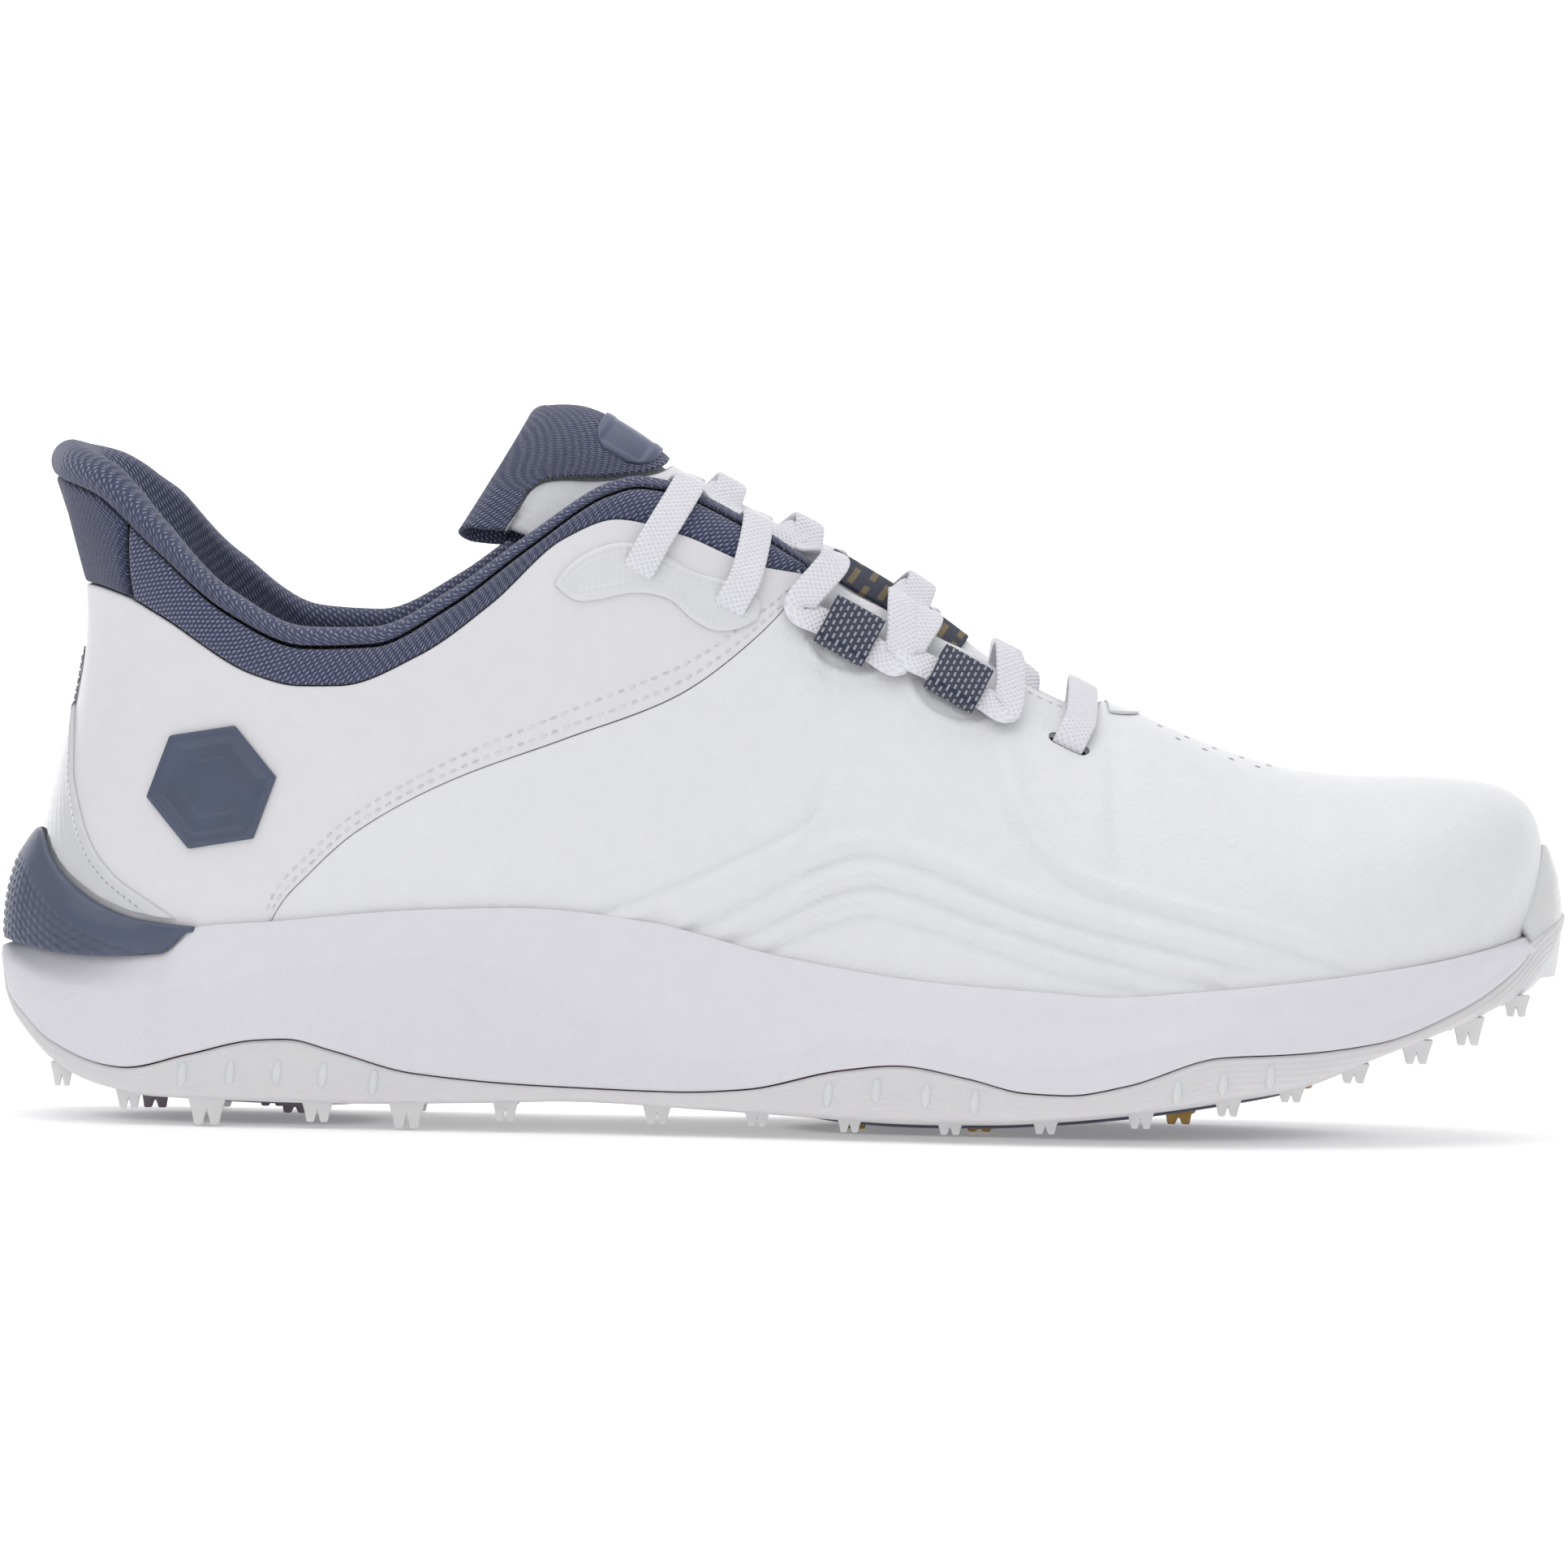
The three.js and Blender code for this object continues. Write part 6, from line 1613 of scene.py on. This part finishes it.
# ---------------------------------------------------------------- insole
def sockliner():
    def sheet(lift, inset, cup):
        u = clustered(count(150), 0.02) * 0.92 + 0.04
        sides = []
        for s in (-1, 1):
            w = s * u
            run = feather(wrap(w + 0.01)) - feather(wrap(w - 0.01))
            inward = unit(vec(run[:, 1], -run[:, 0], 0))
            sides.append(feather(w) + inward * inset)
        c = 2 * clustered(count(50), 0.05) - 1
        p = mix(sides[0][:, None, :], sides[1][:, None, :], ((c + 1) / 2)[None, :, None])
        x = p[..., 0]
        dish = cup * c[None, :] ** 4 * (1 - smoothstep(x, 60, 150))
        return replace_z(p, floor_line(x) + lift + dish - 0.6 * (1 - c[None, :] ** 2))
    inset = LINING_DEPTH + 1.6
    high, low = sheet(GAP + 4.2, inset, 2.4), sheet(GAP, inset, 2.4)
    high[..., 2] -= border_drop(high, 1.4)
    ob = grid_piece("sockliner_pad", high, low, "sockliner", ["sockliner"], body="insole")


# ---------------------------------------------------------------- tongue
TONGUE_LINE = [(217, 72.2), (207, 76.5), (196, 84.6), (176, 99.3), (163, 107.2), (150, 114.2), (138, 120),
               (127.5, 126), (118, 131.4), (110, 135.4), (103, 136.6)]
tongue_points = smooth_line([(x, 0, z) for x, z in TONGUE_LINE], 1200)
tongue_way = np.concatenate([[0], np.cumsum(np.linalg.norm(np.diff(tongue_points, axis=0), axis=1))])
TONGUE_LENGTH = tongue_way[-1]
tongue_runs = unit(np.gradient(tongue_points, axis=0))
tongue_half = curve([(0, 15), (0.2, 15.5), (0.5, 17), (0.75, 18.4), (1, 22)])
tongue_drop = curve([(0, 11), (0.25, 15), (0.5, 19), (0.75, 21), (1, 23)])
tongue_sweep = curve([(0, 0), (0.6, 0), (0.85, 5), (1, 9)])


def on_tongue(v, q, depth):
    """v from the tongue's foot to its top, q from -1 to 1 across, depth below its outside."""
    v, q, depth = np.broadcast_arrays(*(np.asarray(a, float) for a in (v, q, depth)))
    way = np.clip(v, 0, 1) * TONGUE_LENGTH
    middle = np.stack([np.interp(way, tongue_way, tongue_points[:, i]) for i in range(3)], axis=-1)
    run = unit(np.stack([np.interp(way, tongue_way, tongue_runs[:, i]) for i in range(3)], axis=-1))
    up = unit(vec(-run[..., 2], 0, run[..., 0]) * np.where(run[..., 0] < 0, -1.0, 1.0)[..., None])
    across = np.abs(q)
    slope = 1.8 * tongue_drop(v) * across ** 0.8 * np.sign(q) / tongue_half(v)
    out = unit(up + vec(0, slope, 0))
    side = vec(-tongue_sweep(v) * q * q, q * tongue_half(v) + spine_across(middle[..., 0]), 0)
    return middle - up * (tongue_drop(v) * across ** 1.8)[..., None] + side - out * depth[..., None]


def tongue_share(x):
    return float(np.interp(-x, -tongue_points[:, 0], tongue_way / TONGUE_LENGTH))


def tongue_sheet(v_low, v_high, reach, rows, across, outer, inner, radius, name, material, replaces,
                 sides=(True,) * 4):
    """A sheet on the tongue: v over the rows between two lines over q, q across."""
    q = (2 * clustered(count(across), 0.05) - 1)[:, None]
    s = clustered(count(rows), 0.06)[None, :]
    v = mix(v_low(q), v_high(q), s)
    q = np.broadcast_to(q, v.shape)
    base = on_tongue(v, q * reach, 0.0)
    drop = border_drop(base, radius, sides)
    top = on_tongue(v, q * reach, np.broadcast_to(outer(v, q), v.shape) + drop)
    low = on_tongue(v, q * reach, np.broadcast_to(inner(v, q), v.shape))
    return grid_piece(name, top, low, material, replaces, "tongue")


def flat(value):
    return lambda *given: np.full(np.broadcast(*given).shape, float(value))


HEAD_FOOT = tongue_share(126.5)


def head_line(q):
    return mix(HEAD_FOOT, 0.968, np.minimum(1, np.abs(q) / 0.8) ** 3)


def head_puff(v, q):
    share = np.clip((v - HEAD_FOOT) / (1 - HEAD_FOOT), 0, 1)
    return 0.7 + 1.3 * np.sin(np.pi * share) ** 0.7 * np.clip(1 - q ** 2, 0, 1)


def under_head(v):
    """Share of the padding's full thickness, thinner where the knit head closes round it."""
    return 1 - 0.45 * smoothstep(v, 0.8, 0.87)


def tongue():
    padding = tongue_sheet(
        flat(0), flat(0.985), 0.96, 70, 50, flat(1.3),
        lambda v, q: 1.3 + mix(6.0, 1.6, np.abs(q) ** 3) * mix(0.4, 1, smoothstep(v, 0, 0.5)) * under_head(v),
        0.8, "tongue_pad", "inner_cloth", ["tongue_padding"],
    )

    def quilted(v, q):
        return -0.35 * np.cos(q * np.pi / 2) * np.sin(v * 40) ** 2 * (v > 0.3)

    tongue_sheet(flat(0.015), lambda q: head_line(q) - 0.003, 1, 110, 70, quilted, flat(1.0), 0.5,
                 "tongue_leather", "tongue_face", ["tongue_face"])
    head = tongue_head()
    foot = tongue_share(124.5)
    top = foot + 13 / TONGUE_LENGTH
    corner = 0.3 * (top - foot)
    tongue_sheet(
        lambda q: foot + corner * np.abs(q) ** 6, lambda q: top - corner * np.abs(q) ** 6, 0.42, 40, 60,
        lambda v, q: -(head_puff(v, q * 0.42) + 0.55) + 0.25 * badge_dish(v, q, foot, top),
        lambda v, q: -(head_puff(v, q * 0.42) - 0.3), 0.4, "tongue_badge_plate", "badge",
        ["tongue_badge"],
    )
    tongue_sheet(flat(tongue_share(184)), flat(tongue_share(158)), 0.45, 50, 30, flat(-0.95), flat(-0.25),
                 0.3,
                 "tongue_strap_webbing", "strap", ["tongue_strap"])


def badge_dish(v, q, foot, top):
    share = (v - foot) / (top - foot)
    inside = smoothstep(np.minimum(share, 1 - share), 0.12, 0.2) * smoothstep(1 - np.abs(q), 0.08, 0.14)
    return inside


def tongue_head():
    """The knit head: puffed on the outside, rolled over the tongue's top and down its inside."""
    q = (2 * clustered(count(80), 0.05) - 1)[:, None]
    s = clustered(count(50), 0.05)[None, :]
    v = mix(head_line(q) + 0.003, 1.0, s)
    wide = np.broadcast_to(q, v.shape)
    radius = 3.4
    sheets = []
    for inset in (0.0, 0.9):
        face = on_tongue(v, wide, -head_puff(v, wide) + inset)
        turn = np.linspace(0, np.pi, count(14))[None, 1:]
        run = tongue_runs[-1]
        end_q = np.broadcast_to(q, (len(q), turn.shape[1]))
        reach = radius - inset
        roll = on_tongue(np.ones_like(end_q), end_q, -0.7 + radius - reach * np.cos(turn))
        roll = roll + run * (reach * np.sin(turn))[..., None]
        back_v = np.linspace(1.0, 0.88, count(14))[None, 1:]
        back_q = np.broadcast_to(q, (len(q), back_v.shape[1]))
        back = on_tongue(np.broadcast_to(back_v, back_q.shape), back_q, -0.7 + 2 * radius - inset)
        sheets.append(np.concatenate([face, roll, back], axis=1))
    return grid_piece("tongue_head_knit", sheets[0], sheets[1], "knit", ["tongue_head"], "tongue")


# ---------------------------------------------------------------- lace and loops
LACE = {"width": 6.2, "thickness": 1.3}
LOOP = {"width": 10.4, "length": 11.0, "height": 3.7, "webbing": 0.6, "lift": 0.5}
STRAP_THICKNESS, OVERLAY, LEATHER, PUFF = 0.6, 0.8, 1.4, 0.8
CLEAR = LACE["thickness"] / 2 + GAP
CROSSING_SPREAD = 5.5


def stop(point, face):
    return np.asarray(point, float), unit(np.asarray(face, float))


def slot_stops(key, side, inner, climb):
    f = station_frame(STATION[key], side)
    out, up = f["out"], f["up"]
    deep, proud = inner + CLEAR + 0.7, OVERLAY + GAP + CLEAR + 0.2
    return [
        stop(at(f, 0, climb, -deep), out), stop(at(f, 0, 3.4, -deep), out),
        stop(at(f, 0, 0.1, -deep * 0.84), out + up),
        stop(at(f, 0, -0.5, -deep / 2 + 0.6), up), stop(at(f, 0, -0.2, 1.1), up - out),
        stop(at(f, 0, 2.8, proud), out), stop(at(f, 0, 6, proud), out),
    ]


def roll_stops(x, side):
    u = share_of_top_spine(np.array([float(x)]))
    axis, out, up, radius = (a[0] for a in roll_axis(side * u))
    reach = radius + CLEAR + 0.7
    faces = [out * math.cos(a * math.pi) + up * math.sin(a * math.pi) for a in (0.22, 0.5)]
    return [stop(axis + face * reach, face) for face in faces]


def edge_stop(x, side, lift, inward=0.0):
    w = side * share_of_top_spine(np.array([float(x)]))
    out = upper_normal(w, np.ones(1))[0]
    edge = on_upper(w, np.ones(1))[0]
    up = unit(edge - on_upper(w, np.full(1, 0.97))[0])
    return stop(edge + out * lift + up * inward, out)


def loop_stops(key, side):
    f = station_frame(STATION[key], side)
    level, reach = LOOP["lift"] + LOOP["height"] / 2, LOOP["width"] / 2 + 5.2
    sag = {0: -0.6, 0.6: -1.3, 1: -1.2}
    return [stop(at(f, a * reach, sag[abs(a)], level), f["out"]) for a in (-1, -0.6, 0, 0.6, 1)]


def tongue_stop(x, y, lift):
    v = tongue_share(x)
    q = (y - float(spine_across(x))) / float(tongue_half(v))
    point = on_tongue(v, q, -lift)
    return stop(point, point - on_tongue(v, q, 2.0))


def crossing(x, far, run, over, strapped):
    lift = CLEAR + 0.35 + (STRAP_THICKNESS + 2 * GAP if strapped else 0)
    stops = []
    for i in (-1, 0, 1):
        spot = x + i * run
        hump = LACE["thickness"] + 0.6 if over and i == 0 else 0
        stops.append(tongue_stop(spot, float(spine_across(spot)) + i * far * CROSSING_SPREAD, lift + hump))
    return stops


def tail_stops(key, side, inner):
    f = station_frame(STATION[key], side)
    deep = inner + CLEAR + 0.7
    return [
        stop(at(f, 0, -1, -deep * 0.84), f["out"] - f["up"]), stop(at(f, 0.5, -4.5, -deep - 0.5), f["out"]),
        stop(at(f, 2, -12, -deep - 2.6), f["out"]), stop(at(f, 3, -20, -deep - 6), f["out"]),
    ]


def lace_stops():
    deep_roll, thin = ROLL_TAPER + 1.6, LEATHER + PUFF + LINING + 2 * GAP

    def climb(start, over):
        far = -start
        return [
            *slot_stops("toe_slot", start, thin, 5)[:4][::-1],
            edge_stop(199, start, -(thin + CLEAR + 0.9), 0.6),
            *crossing(193.5, far, -2.5, over, False),
            edge_stop(190, far, 4.2, 1),
            *loop_stops("front_loop", far)[::-1],
            edge_stop(175, far, 3.6),
            *crossing(173, start, -1.2, not over, True),
            edge_stop(170, start, 3.8),
            *loop_stops("rear_loop", start)[::-1],
            edge_stop(156, start, 5.6),
            *crossing(152, far, -2, over, False),
            tongue_stop(147, float(spine_across(150)) + far * 10, CLEAR + 0.5),
            *slot_stops("second_slot", far, deep_roll, 10),
            *roll_stops(143, far),
            *crossing(137, start, -1.5, not over, False),
            *roll_stops(130, start)[::-1],
            *slot_stops("top_slot", start, deep_roll, 6)[3:][::-1],
            *tail_stops("top_slot", start, deep_roll),
        ]

    over = stop((206.5, float(spine_across(206)), float(spine_line(211)) + 3.6), (0.5, 0, 1))
    return [
        *climb(LATERAL, True)[::-1], *slot_stops("toe_slot", LATERAL, thin, 5)[4:], over,
        *slot_stops("toe_slot", MEDIAL, thin, 5)[4:][::-1], *climb(MEDIAL, False),
    ]


def lace():
    """One flat braided lace from end to end, its edges rounded."""
    stops = lace_stops()
    points = np.array([p for p, _ in stops])
    faces = np.array([f for _, f in stops])
    for i in range(1, len(faces)):
        if faces[i] @ faces[i - 1] < 0:
            faces[i] = -faces[i]
    steps_per_stop = 10
    steps = (len(stops) - 1) * steps_per_stop + 1
    line = smooth_line(points, steps)
    share = np.linspace(0, len(stops) - 1, steps)
    face = np.stack([np.interp(share, range(len(stops)), faces[:, i]) for i in range(3)], axis=1)
    run = unit(np.gradient(line, axis=0))
    for _ in range(4):
        face[1:-1] = (face[:-2] + 2 * face[1:-1] + face[2:]) / 4
    face = unit(face - run * np.sum(face * run, axis=1)[:, None])
    across = np.cross(run, face)
    n = 20  # vertices round the lace
    a = np.linspace(0, 2 * np.pi, n, endpoint=False)
    wide = LACE["width"] / 2 * np.sign(np.cos(a)) * np.abs(np.cos(a)) ** 0.5
    high = LACE["thickness"] / 2 * np.sign(np.sin(a)) * np.abs(np.sin(a)) ** 0.8
    crown_of_braid = 1 + 0.12 * np.cos(a * 2)
    ring = (
        line[:, None, :] + across[:, None, :] * wide[None, :, None]
        + face[:, None, :] * (high * crown_of_braid)[None, :, None]
    )
    faces_out = []
    for i in range(steps - 1):
        for j in range(n):
            k = (j + 1) % n
            faces_out.append((i * n + j, i * n + k, (i + 1) * n + k, (i + 1) * n + j))
    faces_out.append(tuple(range(n))[::-1])
    faces_out.append(tuple((steps - 1) * n + j for j in range(n)))
    way = distances(line)
    uv = np.stack(np.broadcast_arrays(way[:, None], wide[None, :]), axis=-1).reshape(-1, 2) / 10
    make_object("lace_braid", ring.reshape(-1, 3), faces_out, uv, "shoe", MATERIALS["lace"], ["lace"])
    return way[-1]


def lace_loops():
    """Webbing bands sewn down at both ends, standing over the lace."""
    for name, side in SIDES.items():
        for key in ("rear_loop", "front_loop"):
            f = station_frame(STATION[key], side)
            length, tall, thick = LOOP["length"], LOOP["height"], LOOP["webbing"]
            corner = 1.25
            outline = []
            for cx, cz, start in ((length / 2 - corner, corner, -0.5),
                                  (length / 2 - corner, tall - corner, 0),
                                  (-length / 2 + corner, tall - corner, 0.5),
                                  (-length / 2 + corner, corner, 1)):
                for i in range(7):
                    a = (start + i / 12) * math.pi
                    outline.append((cx, cz, math.cos(a), math.sin(a)))
            outline = np.array(outline)
            s = clustered(count(22), 0.05)
            wide = (s - 0.5) * LOOP["width"]
            drop = round_drop(np.minimum(s, 1 - s) * LOOP["width"], 0.25)
            grids = []
            for grow in (0.0, -thick):
                r = corner + grow
                up = outline[:, 0] + outline[:, 2] * r
                out = outline[:, 1] + outline[:, 3] * r + LOOP["lift"]
                up, out = up[:, None], out[:, None]
                if grow == 0:
                    up = up - outline[:, 2][:, None] * drop[None, :]
                    out = out - outline[:, 3][:, None] * drop[None, :]
                grid = (
                    f["point"] + f["up"] * np.broadcast_to(up, (len(outline), len(s)))[..., None]
                    + f["out"] * np.broadcast_to(out, (len(outline), len(s)))[..., None]
                    + f["forward"] * np.broadcast_to(wide[None, :], (len(outline), len(s)))[..., None]
                )
                grids.append(grid)
            way = lengths_along(grids[0], 0)[:, :1] / 10
            uv = np.stack(np.broadcast_arrays(way, s[None, :]), axis=-1)
            if side > 0:
                grids = [g[::-1] for g in grids]
                uv = uv[::-1]
            grid_piece(f"{key}_{name}_webbing", grids[0], grids[1], "webbing",
                       [f"lace_{key}_{name}"],
                       uv=uv, loop=True)


# ---------------------------------------------------------------- what stays from the CAD model
def keep_cad_nodes():
    kept = {
        "collar_foam": "padding", "heel_foam_core": "padding", "toe_puff": "board", "heel_stiffener": "board",
        "strobel_board": "board", "core_web": "inner_cloth", "vamp_lining": "inner_cloth",
        "shank_plate": "plate",
        "aglet_lateral": "aglet", "aglet_medial": "aglet",
    }
    for node, material in kept.items():
        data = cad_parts[node].data
        data.materials.clear()
        data.materials.append(MATERIALS[material])


# ---------------------------------------------------------------- stage
STAGE_HALF, WALL_AT, WALL_TOP, BEND_RADIUS = 6.0, 5.4, 4.0, 0.6
FLOOR_END = 0.5  # where the near floor ends, behind the shoe
FLOOR_DROP = 0.0004  # keeps the floor clear of the lugs' tips
FLOOR_GLOW, BACKDROP_GLOW = 0.2, 0.9
WORLD_LIGHT = 0.53
LAMPS = {
    "key": ((-0.35, -0.9, 1.15), 1.1, 3.9),
    "fill": ((0.9, -1.0, 0.55), 1.0, 0.35),
    "top": ((0.0, 0.15, 1.3), 1.4, 7.5),
}  # place, width, power
SHOE_MIDDLE = (0, 0, 0.06)


def set_stage():
    """A plain floor that bends up into a backdrop, an even sky and three soft lamps, all in metres."""
    bend_start = WALL_AT - BEND_RADIUS
    bend = [
        (bend_start + BEND_RADIUS * math.sin(a), BEND_RADIUS - BEND_RADIUS * math.cos(a))
        for a in np.linspace(0, math.pi / 2, 16)
    ]
    for name, line, glow in (
        ("floor", [(-STAGE_HALF, 0.0), (FLOOR_END, 0.0)], FLOOR_GLOW),
        ("far_floor", [(FLOOR_END, 0.0), (bend_start, 0.0)], BACKDROP_GLOW),
        ("backdrop", bend + [(WALL_AT, WALL_TOP)], BACKDROP_GLOW),
    ):
        material = Nodes(
            f"studio_{name}", (0.93, 0.93, 0.935, 1), 0.9, Specular_IOR_Level=0.1,
            Emission_Color=(1, 1, 1, 1), Emission_Strength=glow,
        ).material
        mesh = bpy.data.meshes.new(name)
        verts = [(x, y, z - FLOOR_DROP) for y, z in line for x in (-STAGE_HALF, STAGE_HALF)]
        faces = [(2 * i, 2 * i + 1, 2 * i + 3, 2 * i + 2) for i in range(len(line) - 1)]
        mesh.from_pydata(verts, [], faces)
        for polygon in mesh.polygons:
            polygon.use_smooth = True
        mesh.materials.append(material)
        floor = bpy.data.objects.new(name, mesh)
        bpy.context.scene.collection.objects.link(floor)
    world = bpy.data.worlds.new("studio")
    bpy.context.scene.world = world
    world.use_nodes = True
    world.node_tree.nodes["Background"].inputs["Color"].default_value = (0.97, 0.98, 1.0, 1)
    world.node_tree.nodes["Background"].inputs["Strength"].default_value = WORLD_LIGHT
    for name, (where, size, power) in LAMPS.items():
        add_light(name, where, size, power)
    bpy.context.scene.view_settings.view_transform = "Standard"




def add_light(name, where, size, power):
    light = bpy.data.lights.new(name, "AREA")
    light.energy = power
    light.size = size
    ob = bpy.data.objects.new(name, light)
    ob.location = where
    ob.rotation_euler = (Vector(SHOE_MIDDLE) - Vector(where)).to_track_quat("-Z", "Y").to_euler()
    bpy.context.scene.collection.objects.link(ob)


PICTURE_MIDDLE = [149.5, 0, 65.4]  # the place at the picture's middle, in the pattern's frame
CAMERA_DISTANCE, PICTURE_WIDTH, SENSOR_WIDTH = 3.0, 0.3009, 36
CAMERA_FAR = 20


def set_camera():
    """Square to the lateral side from a long way off, a little above it and turned by one degree."""
    elevation, roll = math.radians(2.0), math.radians(1.0)
    aim = Vector(place(PICTURE_MIDDLE).tolist())
    back = Vector((0, -math.cos(elevation), math.sin(elevation)))
    level = Vector((1, 0, 0))
    up = back.cross(level)
    right = level * math.cos(roll) + up * math.sin(roll)
    up = back.cross(right)
    camera = bpy.data.cameras.new("camera")
    camera.sensor_width = SENSOR_WIDTH
    camera.lens = SENSOR_WIDTH * CAMERA_DISTANCE / PICTURE_WIDTH
    camera.clip_end = CAMERA_FAR
    ob = bpy.data.objects.new("camera", camera)
    ob.matrix_world = Matrix((
        (right.x, up.x, back.x, aim.x + back.x * CAMERA_DISTANCE),
        (right.y, up.y, back.y, aim.y + back.y * CAMERA_DISTANCE),
        (right.z, up.z, back.z, aim.z + back.z * CAMERA_DISTANCE),
        (0, 0, 0, 1),
    ))
    bpy.context.scene.collection.objects.link(ob)
    bpy.context.scene.camera = ob


def build():
    set_camera()
    set_stage()
    upper = vamp()
    for side in SIDES.values():
        cut_slots(upper, side, ("toe_slot",))
    quarters()
    collar_bands()
    collar()
    heel_overlay()
    eyestay_overlays()
    side_emblem()
    throat_patch()
    counter()
    perforations()
    stitching()
    midsole()
    outsole()
    toe_bumper()
    perimeter_lugs()
    side_nubs()
    traction_inserts()
    plates()
    sockliner()
    tongue()
    lace_loops()
    print("lace length, mm:", round(lace()))
    keep_cad_nodes()


build()
